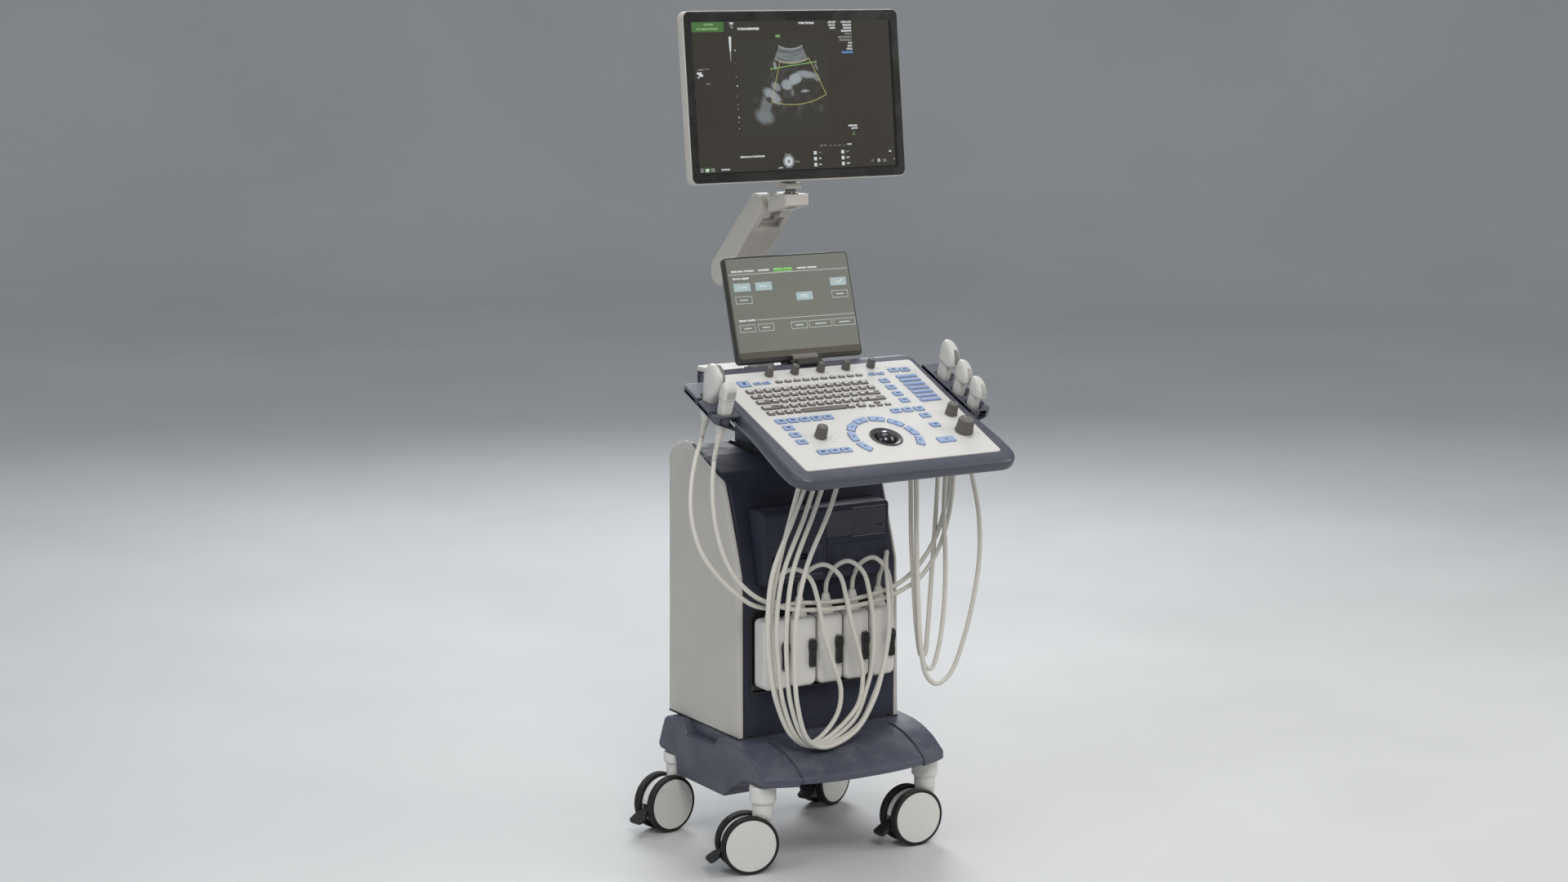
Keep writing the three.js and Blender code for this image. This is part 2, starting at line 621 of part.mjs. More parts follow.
function consolePanel() {
  const holes = [
    ...BLUE_KEYS.map((key) => prism(keyOutline(key, 0.5), -10, 10)),
    ...KNOBS.map(([, x, s]) => prism(disc(x, s, 4.3, 8), -10, 10)),
    ...[KEYPAD, FUNCTION_ROW].map((plate) => prism(plateOutline(plate, 0.6, 2), -10, 10)),
  ];
  const plate = cut(prism(panelOutline(0), -PANEL.thick, 0, 0.8, 1), join(...holes));
  const collar = lathe([[0, -3], [29.5, -3], [29.5, 0.6], [28, 2], [0, 2]], 24);
  return cut(
    join(plate, collar.translate([BALL.x, BALL.s, 0])),
    prism(disc(BALL.x, BALL.s, 25.2, 24), -10, 10),
  );
}
const trackball = () =>
  toSolid(new THREE.SphereGeometry(BALL.r, 18, 11).translate(BALL.x, BALL.s, -9.2));

// Rows from the rear forwards: [s, relative key widths from left to right]
const KEY_ROWS = [
  [280.5, Array(15).fill(1)],
  [261, [1.5, ...Array(12).fill(1), 1.8]],
  [241.5, [1.8, ...Array(11).fill(1), 2.4]],
  [222, [2.3, ...Array(10).fill(1), 2.8]],
  [201, [1.3, 1, 1, 5.2, 1, 1, 1, 1, 1.3]],
];
function keyTop(x, s, width, depth) {
  const ring = (inset, t) => atHeight(keyOutline([x, s, width, depth], -inset), t);
  return loft([ring(0, -2), ring(1, 2.6)]);
}
// Carrier plate with key tops moulded on, joined to the function row behind it.
function keyboard() {
  const letterKeys = KEY_ROWS.flatMap(([s, widths]) => {
    const unit = (KEYPAD.x1 - KEYPAD.x0 - 4) / widths.reduce((a, b) => a + b, 0);
    let left = KEYPAD.x0 + 2;
    return widths.map((width) => {
      const x = left + (width * unit) / 2;
      left += width * unit;
      return keyTop(x, s, width * unit - 4, 14);
    });
  });
  return join(
    prism(plateOutline(KEYPAD, 0, 2), -6, -1.2),
    prism(plateOutline(FUNCTION_ROW, 0, 1.5), -6, -1),
    box(-80, 285, -7, 60, 300, -5),
    ...letterKeys,
    ...repeat(14, (i) => keyTop(FUNCTION_ROW.x0 + 8 + i * 14.2, 302, 10.5, 7)),
  );
}
// Web under the panel with every blue key standing up through its hole.
function controlKeymat() {
  const sheet = cut(
    prism([[-192, 36], [192, 36], [200, 322], [-194, 322]], -9.6, -7.8),
    ...FRONT_KNOBS.map(([, x, s]) => prism(disc(x, s, 6, 8), -30, 0)),
    box(KEYPAD.x0 + 8, KEYPAD.s0 + 6, -30, KEYPAD.x1 - 6, KEYPAD.s1 - 6, 0),
    box(-90, 280, -30, 84, 325, 0),
    prism(disc(BALL.x, BALL.s, 28, 20), -30, 0),
  );
  return join(...BLUE_KEYS.map((key) => prism(keyOutline(key, 0), -8.5, 2.2)), sheet);
}
function knob(r, height) {
  const shaft = [[0, -12], [3.6, -12], [3.6, 0.8]];
  return lathe([...shaft, [r, 0.8], [r * 0.84, height - 1.2], [r * 0.78, height], [0, height]], 14);
}
add(consoleGroup, "console_panel", consolePanel(), FINISHES.panel);
add(consoleGroup, "trackball", trackball(), FINISHES.trackball);
add(consoleGroup, "keyboard", keyboard(), FINISHES.keyboard);
add(consoleGroup, "control_keymat", controlKeymat(), FINISHES.keymat);
for (const [name, x, s, r, height] of KNOBS)
  add(consoleGroup, name, knob(r, height).translate([x, s, 0]), FINISHES.knob);

// ---------- probe holders and probes ----------
// Probe stations from the cable upwards: [half x, half s, roundness, t]
const TAIL = [[4, 4, 2, -62], [5.5, 5.5, 2, -60], [7, 7, 2.2, -44]];
const EGG = [
  ...TAIL, [10.5, 12, 2.6, -34], [11.6, 15, 2.6, -20], [11.6, 15.8, 2.6, 1], [12, 20, 2.6, 12],
  [12, 26, 2.6, 28], [11.6, 28, 2.6, 42], [10.6, 25, 2.5, 54], [8.6, 17, 2.4, 63],
  [5, 8, 2.2, 66.5],
];
const SLIM = [
  ...TAIL, [10.5, 9, 2.6, -32], [11.6, 11, 3, 0], [12.6, 12, 3.4, 14], [13, 12.5, 4, 30],
  [12.6, 12, 4, 48], [10.5, 9.8, 3.4, 54], [8, 7.5, 3, 56],
];
// Narrow grip widening to a head.
const headed = (halfX, halfS, top) => [
  ...TAIL, [8, 10, 2.4, -34], [8.6, 14, 2.5, -16], [8.6, 14.5, 2.5, top * 0.2],
  [8.4, 14, 2.5, top * 0.36],
  [halfX, halfS * 0.92, 2.6, top * 0.52],
  [halfX, halfS, 2.6, top * 0.64],
  [halfX * 0.97, halfS * 0.97, 2.6, top * 0.78],
  [halfX * 0.82, halfS * 0.74, 2.4, top * 0.93],
  [halfX * 0.5, halfS * 0.36, 2.2, top],
];
// Half sizes [x, s] of the holes in the holders.
const WIDE_HOLE = [12.6, 16.6];
const SLIM_HOLE = [12.4, 12];
const PROBES = [
  { name: "probe_left_1", x: -262, s: 268, stations: EGG, hole: WIDE_HOLE },
  { name: "probe_left_2", x: -259, s: 218, stations: SLIM, hole: SLIM_HOLE },
  { name: "probe_right_1", x: 254, s: 274, stations: headed(10, 26, 70), hole: WIDE_HOLE },
  { name: "probe_right_2", x: 252, s: 216, stations: headed(9.2, 22, 60), hole: WIDE_HOLE },
  { name: "probe_right_3", x: 252, s: 165, stations: headed(9.2, 21, 53), hole: WIDE_HOLE },
];
const HOLDER_INNER = 234.6;

// Each hole is open to the outer edge through a slot.
function probeHolder(side, reach, s0, s1, probes) {
  const inner = side * HOLDER_INNER;
  const outer = side * reach;
  const section = [
    [outer, -1], [inner, -1], [inner, -36], [side * (reach - 5), -16], [outer, -13],
  ];
  const corners = [[inner, s0], [outer, s0], [outer, s1], [inner, s1]];
  const plan = prism(fillet(corners, [0, 10, 10, 0], 4), -60, 10);
  const cuts = probes.flatMap(({ x, s, hole }) => [
    prism(superellipse(...hole, 3, x, s), -60, 10),
    box(x, s - 5, -60, side * 300, s + 5, 10),
  ]);
  return cut(prismY(section, s0, s1).intersect(plan), ...cuts);
}
const probe = ({ x, s, stations }) =>
  loft(stations.map(([halfX, halfS, roundness, t]) =>
    atHeight(superellipse(halfX, halfS, roundness, x, s), t)));

const leftHolder = probeHolder(-1, 289, 201, 326, PROBES.slice(0, 2));
const rightHolder = probeHolder(1, 282, 143, 325, PROBES.slice(2));
add(consoleGroup, "left_probe_holder", leftHolder, FINISHES.base);
add(consoleGroup, "right_probe_holder", rightHolder, FINISHES.base);
for (const item of PROBES) add(consoleGroup, item.name, probe(item), FINISHES.probe);

// ---------- touch screen ----------
// Screen frames: x across, z up the screen, y into it.
// Root [y, z] as [y, z] in a screen's frame.
function toScreen(screen, [y, z]) {
  const cos = Math.cos(screen.lean * DEG);
  const sin = Math.sin(screen.lean * DEG);
  const dy = y - screen.y;
  const dz = z - screen.z;
  return [dy * cos - dz * sin, dy * sin + dz * cos];
}
// [y, z]
const BRACKET_HOOK = [
  [-44, 922], [-30, 930], [-20, 922], [-10, 913], [26, 913], [20, 903], [-16, 899],
  [-27, 912], [-40, 916],
];
function touchBracket() {
  const trayInRoot = tray.rotate([SLOPE, 0, 0]).translate([0, CONSOLE.y, CONSOLE.z]);
  return cut(
    join(
      barX(BRACKET_HOOK, 27),
      barX([[4, 905], [26.5, 905], [26.5, 936], [1.5, 936]], 27),
      barX(disc(...TOUCH_HINGE, 12.5, 18), 27),
    ),
    barX(rect(-6, 922, 40, 960), 13.5),
    barX(disc(...TOUCH_HINGE, 3.4, 12), 30),
    // seat on the tray, with clearance
    trayInRoot.translate([0, GAP, GAP]),
    trayInRoot,
  );
}
function touchScreen() {
  const { w, h, thick } = TOUCH;
  const [y, z] = toScreen(TOUCH, TOUCH_HINGE);
  const body = join(
    prismY(rect(-w / 2, 0, w / 2, h, 6), 0, thick, 2, 1),
    prismY(rect(-90, 30, 90, 165, 12, 2), thick - 1, thick + 14, 4, 1),
  );
  const relieved = cut(
    body,
    barX(disc(y, z, 14.5, 20), 28.5),
    box(-28.5, 2, -20, 28.5, 60, z),
  );
  const hinged = join(
    relieved,
    barX(disc(y, z, 8.6, 20), 12.5),
    barX([[y - 6, z], [y + 6, z], [y + 8, 44], [y - 4, 44]], 12.5),
    barX(disc(y, z, 2.8, 12), 25),
  );
  return cut(hinged, prismY(rect(-w / 2 + 4, 4, w / 2 - 4, h - 4, 3, 2), -5, 0.6));
}
add(root, "touch_screen_bracket", touchBracket(), FINISHES.bracket);
const touchGroup = addGroup(0, TOUCH.y, TOUCH.z, -TOUCH.lean);
add(touchGroup, "touch_screen", touchScreen(), FINISHES.touchScreen);

// ---------- monitor arm ----------
function armLink() {
  const dy = ARM_UP[0] - ARM_LOW[0];
  const dz = ARM_UP[1] - ARM_LOW[1];
  const length = Math.hypot(dy, dz);
  const angle = Math.atan2(dz, dy);
  const cos = Math.cos(angle);
  const sin = Math.sin(angle);
  const outline = [
    ...arc(...ARM_LOW, 28.5, angle + PI / 2, PI, 10),
    ...arc(...ARM_UP, 26, angle - PI / 2, PI, 10),
  ];
  // Rectangle measured along the link from the lower pivot, and across it, + being below.
  const linkRect = (along0, along1, across0 = -45, across1 = 45) =>
    rect(along0, across0, along1, across1).map(([along, across]) => [
      ARM_LOW[0] + along * cos - across * sin,
      ARM_LOW[1] + along * sin + across * cos,
    ]);
  const forked = cut(
    barX(outline, ARM_HALF, 3),
    // forks for the post's head and for the arm head's tongue
    barX(linkRect(-45, 31), 20.8),
    barX(linkRect(length - 29, length + 45), 11),
    barX(disc(...ARM_LOW, 8.6, 16), 28),
    barX(disc(...ARM_UP, 7.6, 16), 28),
  );
  const pinned = join(
    forked,
    barX(disc(...ARM_LOW, 7.8, 16), ARM_HALF - 4),
    barX(disc(...ARM_UP, 6.8, 16), ARM_HALF - 4),
  );
  // shallow recess on the underside, in the upper half
  return cut(pinned, barX(linkRect(112, 146, 24, 40), 16));
}
function armHead() {
  const plan = [
    [-30, 66], [-30, 58], ...arc(0, NECK_Y, 25.5, PI, PI, 12), [30, 58], [30, 66],
  ];
  const rear = ARM_UP[0] - 10;
  const forkRoom = disc(...ARM_UP, 31, 24);
  return cut(
    join(
      prism(plan, 1209, 1233, 2),
      barX([[60, 1212], [60, 1231], [rear, 1231], [rear, 1200]], 10),
      barX(disc(...ARM_UP, 24, 24), 10.2),
    ),
    barX(disc(...ARM_UP, 7.6, 16), 40),
    prism(disc(0, NECK_Y, 10.4, 24), 1200, 1250),
    prismX(forkRoom, 11, 45).add(prismX(forkRoom, -45, -11)),
  );
}
const monitorNeck = () =>
  join(
    prism(disc(0, NECK_Y, 10, 24), 1213, 1247),
    prism(disc(0, NECK_Y, 14, 24), 1233.5, 1236),
    prism(rect(-20, NECK_Y - 18, 20, NECK_Y + 26, 4), 1244.5, 1251.5, 1.5, 1),
    barX([[40, 1246.5], [58, 1246.5], [59, MONITOR_HINGE[1]], [43, MONITOR_HINGE[1]]], 18),
    barX(disc(...MONITOR_HINGE, 9, 20), 18),
    barX(disc(...MONITOR_HINGE, 3.6, 12), 30),
  );
function monitorHousing() {
  const { w, h, thick } = MONITOR;
  const [y, z] = toScreen(MONITOR, MONITOR_HINGE);
  const ring = (outline, depth) => outline.map(([px, pz]) => [px, depth, pz]);
  const bulge = loft([
    ring(rect(-190, 40, 190, 285, 30), thick - 1),
    ring(rect(-150, 62, 150, 262, 26), thick + 22),
  ]);
  const hollowed = cut(
    join(prismY(rect(-w / 2, 0, w / 2, h, 11), 0, thick, 4), bulge),
    // room for the neck
    barX([[y - 22, z + 20], [y - 22, -10], [90, -10], [90, z + 20]], 34),
  );
  const ear = [[thick - 4, z - 10], [y + 9, z - 9], [y + 10, z + 10], [thick - 4, z + 26]];
  const eared = cut(
    join(hollowed, prismX(ear, -34.5, -19), prismX(ear, 19, 34.5)),
    barX(disc(y, z, 4.2, 14), 31),
    prismY(rect(-w / 2 + 4.5, 4.5, w / 2 - 4.5, h - 4.5, 8), -5, 3),
  );
  // screen, set back inside the bezel
  return join(eared, prismY(rect(-w / 2 + 6, 6, w / 2 - 6, h - 6, 7), 0.8, 4));
}
add(root, "arm_link", armLink(), FINISHES.arm);
add(root, "arm_head", armHead(), FINISHES.arm);
add(root, "monitor_neck", monitorNeck(), FINISHES.neck);
const monitorGroup = addGroup(0, MONITOR.y, MONITOR.z, -MONITOR.lean);
add(monitorGroup, "monitor_housing", monitorHousing(), FINISHES.monitor);

// ---------- cables: one loom of five, gathered in a clip under the console ----------
const CABLE_R = 3.8;
const CLIP = { x: -30, y: -232, z: 742 };

function consoleToRoot(x, s, t) {
  const cos = Math.cos(SLOPE * DEG);
  const sin = Math.sin(SLOPE * DEG);
  return [x, CONSOLE.y + s * cos - t * sin, CONSOLE.z + s * sin + t * cos];
}
// From a connector's nose, down, up through the clip and out to the probe's tail.
function cable({ x, s }, i) {
  const k = i - 2; // place in the bundle, 0 in the middle
  const start = CONNECTOR_XS[i];
  const { z1, noseY } = CONNECTOR;
  const side = Math.sign(x);
  const [, lowY, lowZ] = consoleToRoot(x, s, -100);
  const points = [
    [start, noseY, z1 + 36.6],
    [start, -97, z1 + 58],
    [start * 0.96 - 3, -128, z1 + 62],
    [start * 0.7 - 10, -146, z1 - 10],
    [-24 + k * 16, -148, 330],
    [-38 + k * 11, -158, 262 - 3 * k],
    [-72 + k * 11, -172, 330],
    [-70 + k * 11, -190, 560],
    [CLIP.x + k * 11, CLIP.y, CLIP.z],
    [side * 100 + k * 11, CLIP.y + 40 - 9 * k, CLIP.z],
    [side * 215 + k * 3, lowY - 6, lowZ - 32],
    consoleToRoot(x, s, -92),
    consoleToRoot(x, s, -63.2),
  ];
  return sweep(points, CABLE_R, 34, 4);
}
function cableLoom() {
  const { x, y, z } = CLIP;
  return join(...PROBES.map(cable), box(x - 34, y - 10, z - 9, x + 34, y + 10, z + 9));
}
add(root, "cable_loom", cableLoom(), FINISHES.cable);

export default root;
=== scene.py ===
"""A scanning machine on a wheeled cart: cabinet with probe connectors, lift column, console with
keys and a trackball, touch screen, monitor on a folding arm, five probes and their cables.

It stands on z = 0 with its front towards -Y and its left side at -X. Shapes are built in
millimetres about the machine's own axes; to_frame() takes them to metres in the row frame.
"""
import math

import bmesh
import bpy
import numpy as np
from mathutils import Matrix, Vector


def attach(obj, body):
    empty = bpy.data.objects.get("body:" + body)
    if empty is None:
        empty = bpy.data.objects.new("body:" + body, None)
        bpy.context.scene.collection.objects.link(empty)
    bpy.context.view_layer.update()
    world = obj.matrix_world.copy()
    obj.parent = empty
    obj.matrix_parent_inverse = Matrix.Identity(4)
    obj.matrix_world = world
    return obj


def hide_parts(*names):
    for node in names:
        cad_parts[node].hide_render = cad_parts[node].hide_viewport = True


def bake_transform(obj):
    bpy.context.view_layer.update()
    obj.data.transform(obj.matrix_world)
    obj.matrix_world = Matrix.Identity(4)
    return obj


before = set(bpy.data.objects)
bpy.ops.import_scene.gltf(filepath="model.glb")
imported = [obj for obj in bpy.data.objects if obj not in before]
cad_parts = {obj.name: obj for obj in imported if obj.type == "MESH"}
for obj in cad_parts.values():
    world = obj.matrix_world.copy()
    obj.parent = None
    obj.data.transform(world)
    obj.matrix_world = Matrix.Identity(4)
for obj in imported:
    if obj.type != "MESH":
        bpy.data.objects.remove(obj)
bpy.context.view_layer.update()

# ------------------------------------------------------------------ frame
FRAME_X, FRAME_Y = 4.45, 56.75  # from the machine's own axes to the row frame
DEG = math.pi / 180
QUARTER = math.pi / 2


def to_frame(point):
    return (point[0] + FRAME_X) / 1000.0, (point[1] + FRAME_Y) / 1000.0, point[2] / 1000.0


def place(x, y, z, turn_x=0.0, turn_y=0.0, turn_z=0.0):
    """Matrix that turns about X, then Y, then Z, in degrees, and then moves."""
    return (
        Matrix.Translation((x, y, z))
        @ Matrix.Rotation(turn_z * DEG, 4, "Z")
        @ Matrix.Rotation(turn_y * DEG, 4, "Y")
        @ Matrix.Rotation(turn_x * DEG, 4, "X")
    )


# Origins (y, z) and tilts of the parts built in axes of their own.
TOUCH_ORIGIN, TOUCH_TILT = (-6.4, 929.5), -16.9
MONITOR_ORIGIN, MONITOR_TILT = (-5.9, 1261), -6.3
# Console axes: x across, y up the slope, z off the panel.
CONSOLE = place(0, -363.2, 783.5, 22.32)
TOUCH = place(0, *TOUCH_ORIGIN, TOUCH_TILT)
MONITOR = place(0, *MONITOR_ORIGIN, MONITOR_TILT)


def tilted(point, origin, tilt):
    """A machine (y, z) seen in the axes of a tilted part."""
    y, z = point[0] - origin[0], point[1] - origin[1]
    cos, sin = math.cos(tilt * DEG), math.sin(tilt * DEG)
    return y * cos + z * sin, -y * sin + z * cos


# ------------------------------------------------------------------ shapes
class Shape:
    """Vertices, faces and a material slot per face. Parts are (vertices, faces[, slots])."""

    def __init__(self, *parts):
        self.verts, self.faces, self.slots = [], [], []
        for part in parts:
            self.add(part)

    def add(self, part, slot=0, matrix=None):
        """Adds a part, or a Shape whose faces all take the given slot."""
        if isinstance(part, Shape):
            part = part.verts, part.faces
        verts, faces = part[0], part[1]
        slots = part[2] if len(part) > 2 else [slot] * len(faces)
        first = len(self.verts)
        if matrix is not None:
            verts = [matrix @ Vector(p) for p in verts]
        self.verts += [tuple(p) for p in verts]
        self.faces += [tuple(i + first for i in face) for face in faces]
        self.slots += list(slots)
        return self

    def moved(self, matrix):
        out = Shape()
        out.verts = [tuple(matrix @ Vector(p)) for p in self.verts]
        out.faces, out.slots = self.faces, self.slots
        return out


def fillet(points, radius, steps=6):
    """Outline with rounded corners, one radius or one each; steps + 1 points a corner."""
    out = []
    for i, point in enumerate(points):
        want = radius[i] if isinstance(radius, (list, tuple)) else radius
        corner = Vector(point)
        if not want:
            out.append((corner.x, corner.y))
            continue
        back = Vector(points[i - 1]) - corner
        ahead = Vector(points[(i + 1) % len(points)]) - corner
        len_back, len_ahead = back.length, ahead.length
        back /= len_back
        ahead /= len_ahead
        angle = math.acos(max(-1, min(1, back.dot(ahead))))
        if angle > math.pi - 0.02:  # nearly straight: points strung along the line
            for k in range(steps + 1):
                reach = min(want, len_back * 0.4, len_ahead * 0.4)
                spot = corner + (ahead - back) * 0.5 * reach * (k / steps - 0.5)
                out.append((spot.x, spot.y))
            continue
        cut = min(want / math.tan(angle / 2), len_back * 0.49, len_ahead * 0.49)
        arc = cut * math.tan(angle / 2)
        centre = (back + ahead).normalized() * (arc / math.sin(angle / 2)) + corner
        start = corner + back * cut - centre
        end = corner + ahead * cut - centre
        first = math.atan2(start.y, start.x)
        sweep = math.atan2(end.y, end.x) - first
        while sweep > math.pi:
            sweep -= 2 * math.pi
        while sweep < -math.pi:
            sweep += 2 * math.pi
        for k in range(steps + 1):
            turn = first + sweep * k / steps
            out.append((centre.x + arc * math.cos(turn), centre.y + arc * math.sin(turn)))
    return out


def rect(x0, y0, x1, y1, radius=0.0, steps=6):
    return fillet([(x0, y0), (x1, y0), (x1, y1), (x0, y1)], radius, steps)


def disc(x, y, radius, count=40):
    turns = [2 * math.pi * (i + 0.5) / count for i in range(count)]
    return [(x + radius * math.cos(turn), y + radius * math.sin(turn)) for turn in turns]


def area(points):
    pairs = zip(points, points[1:] + points[:1])
    return sum(p[0] * q[1] - q[0] * p[1] for p, q in pairs) / 2


def inward(points):
    """Unit-offset vector into the outline at each point, mitred."""
    count, sign = len(points), 1 if area(points) > 0 else -1
    out = []
    for i in range(count):
        here = Vector(points[i])
        j = i - 1
        while (Vector(points[j]) - here).length < 1e-5:
            j -= 1
        k = (i + 1) % count
        while (Vector(points[k]) - here).length < 1e-5:
            k = (k + 1) % count
        arrive = (here - Vector(points[j])).normalized()
        leave = (Vector(points[k]) - here).normalized()
        normal = Vector((-arrive.y, arrive.x)) * sign
        mitre = normal + Vector((-leave.y, leave.x)) * sign
        if mitre.length < 1e-6:
            mitre = normal
        mitre.normalize()
        out.append(mitre / max(0.35, mitre.dot(normal)))
    return out


def offset(points, inset, weights=None):
    """Outline moved inwards, each point by its own share of the inset if weights are given."""
    out = []
    for i, (p, into) in enumerate(zip(points, inward(points))):
        weight = weights[i] if weights else 1
        out.append((p[0] + into.x * inset * weight, p[1] + into.y * inset * weight))
    return out


# Outline coordinates and the level along the named axis, to a point.
AXES = {
    "z": lambda a, b, level: (a, b, level),
    "x": lambda a, b, level: (level, a, b),
    "y": lambda a, b, level: (a, level, b),
}


def ring_at(outline, level, axis="z"):
    return [AXES[axis](a, b, level) for a, b in outline]


def edge_rings(outline, face, depth, inset, steps, axis="y", weights=None):
    """Rings of a rounded edge, from the full outline to the inset one at the face's level."""
    turns = [QUARTER * k / steps for k in range(steps + 1)]
    return [
        ring_at(
            offset(outline, inset * (1 - math.cos(turn)), weights),
            face + depth * (1 - math.sin(turn)),
            axis,
        )
        for turn in turns
    ]


def seam_rings(outline, levels, depth):
    """Rings of a groove round a part, at four levels along Y."""
    insets = (0, depth, depth, 0)
    return [ring_at(offset(outline, d), y, "y") for y, d in zip(levels, insets)]


def loft(rings, slots=None):
    """Skin over the rings, closed at both ends; slots holds a material slot per ring."""
    count = len(rings[0])
    verts = [p for ring in rings for p in ring]
    faces, face_slots = [], []
    for i in range(len(rings) - 1):
        for j in range(count):
            a, b = i * count + j, i * count + (j + 1) % count
            faces.append((a, b, b + count, a + count))
            face_slots.append(slots[i] if slots else 0)
    faces.append(tuple(reversed(range(count))))
    faces.append(tuple(range((len(rings) - 1) * count, len(rings) * count)))
    if not slots:
        return verts, faces
    return verts, faces, face_slots + [slots[0], slots[-1]]


def slab(outline, low, high, round_low=0.0, round_high=None, axis="z", steps=4):
    """Prism of an outline between two levels, with its edges rounded."""
    round_high = round_low if round_high is None else round_high
    rings = [ring_at(outline, low, axis)]
    if round_low > 0:
        rings = edge_rings(outline, low, round_low, round_low, steps, axis)[::-1]
    if round_high > 0:
        rings += edge_rings(outline, high, -round_high, round_high, steps, axis)
    else:
        rings.append(ring_at(outline, high, axis))
    return loft(rings)


def lathe(profile, count=48, matrix=None, centre=(0, 0), ripple=None):
    """Turned profile [(radius, z)] about Z; a radius of 0 closes in one point.

    ripple(row, i) is how far point i of a profile row is drawn in.
    """
    verts, faces, rows = [], [], []
    for row, (radius, z) in enumerate(profile):
        if radius < 1e-6:
            rows.append([len(verts)])
            verts.append((centre[0], centre[1], z))
            continue
        rows.append(list(range(len(verts), len(verts) + count)))
        for i in range(count):
            turn = 2 * math.pi * i / count
            reach = radius - ripple(row, i) if ripple else radius
            verts.append(
                (centre[0] + reach * math.cos(turn), centre[1] + reach * math.sin(turn), z)
            )
    for a, b in zip(rows, rows[1:]):
        for i in range(count):
            j = (i + 1) % count
            if len(a) == 1:
                faces.append((a[0], b[j], b[i]))
            elif len(b) == 1:
                faces.append((a[i], a[j], b[0]))
            else:
                faces.append((a[i], a[j], b[j], b[i]))
    if matrix is not None:
        verts = [tuple(matrix @ Vector(p)) for p in verts]
    return verts, faces


def rod(radius, low, high, count=48, matrix=None):
    """Cylinder about Z."""
    return lathe([(0, low), (radius, low), (radius, high), (0, high)], count, matrix)


def turned_ring(profile, count, centre=(0, 0)):
    """Closed profile [(radius, z)] turned about Z."""
    verts, faces = [], []
    for radius, z in profile:
        for i in range(count):
            turn = 2 * math.pi * i / count
            verts.append(
                (centre[0] + radius * math.cos(turn), centre[1] + radius * math.sin(turn), z)
            )
    for row in range(len(profile)):
        a, b = row * count, (row + 1) % len(profile) * count
        for i in range(count):
            j = (i + 1) % count
            faces.append((a + i, a + j, b + j, b + i))
    return verts, faces


def soften(points, radius, steps=4):
    """Rounds the inner corners of an open profile, by one radius or one each."""
    out = [points[0]]
    for i in range(1, len(points) - 1):
        want = radius[i] if isinstance(radius, (list, tuple)) else radius
        corner = Vector(points[i])
        back, ahead = Vector(points[i - 1]) - corner, Vector(points[i + 1]) - corner
        if not want or back.length < 1e-6 or ahead.length < 1e-6:
            out.append(points[i])
            continue
        cut = min(want, back.length * 0.45, ahead.length * 0.45)
        start, end = corner + back.normalized() * cut, corner + ahead.normalized() * cut
        for k in range(steps + 1):
            t = k / steps
            spot = start * (1 - t) ** 2 + corner * 2 * t * (1 - t) + end * t * t
            out.append((spot.x, spot.y))
    out.append(points[-1])
    return out


def spline(points, step):
    """Centripetal Catmull-Rom through the points, sampled about every step."""
    knots = [Vector(p) for p in points]
    knots = [knots[0] * 2 - knots[1]] + knots + [knots[-1] * 2 - knots[-2]]
    out = []
    for i in range(1, len(knots) - 2):
        p0, p1, p2, p3 = knots[i - 1 : i + 3]
        t0 = 0.0
        t1 = t0 + max(1e-3, (p1 - p0).length ** 0.5)
        t2 = t1 + max(1e-3, (p2 - p1).length ** 0.5)
        t3 = t2 + max(1e-3, (p3 - p2).length ** 0.5)
        count = max(2, int((p2 - p1).length / step))
        for k in range(count):
            t = t1 + (t2 - t1) * k / count
            a1 = p0 * ((t1 - t) / (t1 - t0)) + p1 * ((t - t0) / (t1 - t0))
            a2 = p1 * ((t2 - t) / (t2 - t1)) + p2 * ((t - t1) / (t2 - t1))
            a3 = p2 * ((t3 - t) / (t3 - t2)) + p3 * ((t - t2) / (t3 - t2))
            b1 = a1 * ((t2 - t) / (t2 - t0)) + a2 * ((t - t0) / (t2 - t0))
            b2 = a2 * ((t3 - t) / (t3 - t1)) + a3 * ((t - t1) / (t3 - t1))
            out.append(b1 * ((t2 - t) / (t2 - t1)) + b2 * ((t - t1) / (t2 - t1)))
    out.append(knots[-2].copy())
    return out


def tube(path, radius, count=14):
    """Round bar along a dense path."""
    points = [Vector(p) for p in path]
    rings = []
    last = (points[1] - points[0]).normalized()
    up = Vector((0, 0, 1)) if abs(last.z) < 0.9 else Vector((1, 0, 0))
    side = (up - last * up.dot(last)).normalized()
    for i, p in enumerate(points):
        along = (points[min(i + 1, len(points) - 1)] - points[max(i - 1, 0)]).normalized()
        axis = last.cross(along)
        if axis.length > 1e-7:
            side = Matrix.Rotation(last.angle(along), 3, axis) @ side
        side = (side - along * side.dot(along)).normalized()
        other = along.cross(side)
        turns = [2 * math.pi * k / count for k in range(count)]
        rings.append(
            [tuple(p + (side * math.cos(a) + other * math.sin(a)) * radius) for a in turns]
        )
        last = along
    return loft(rings)


def signed_power(value, power):
    return math.copysign(abs(value) ** power, value)


def oval_ring(half_x, half_y, square, z, count, x=0.0, y=0.0):
    """Superellipse; square is its exponent, 2 for a plain ellipse."""
    out = []
    for i in range(count):
        turn = 2 * math.pi * (i + 0.5) / count
        cos, sin = math.cos(turn), math.sin(turn)
        out.append(
            (x + half_x * signed_power(cos, 2 / square), y + half_y * signed_power(sin, 2 / square), z)
        )
    return out


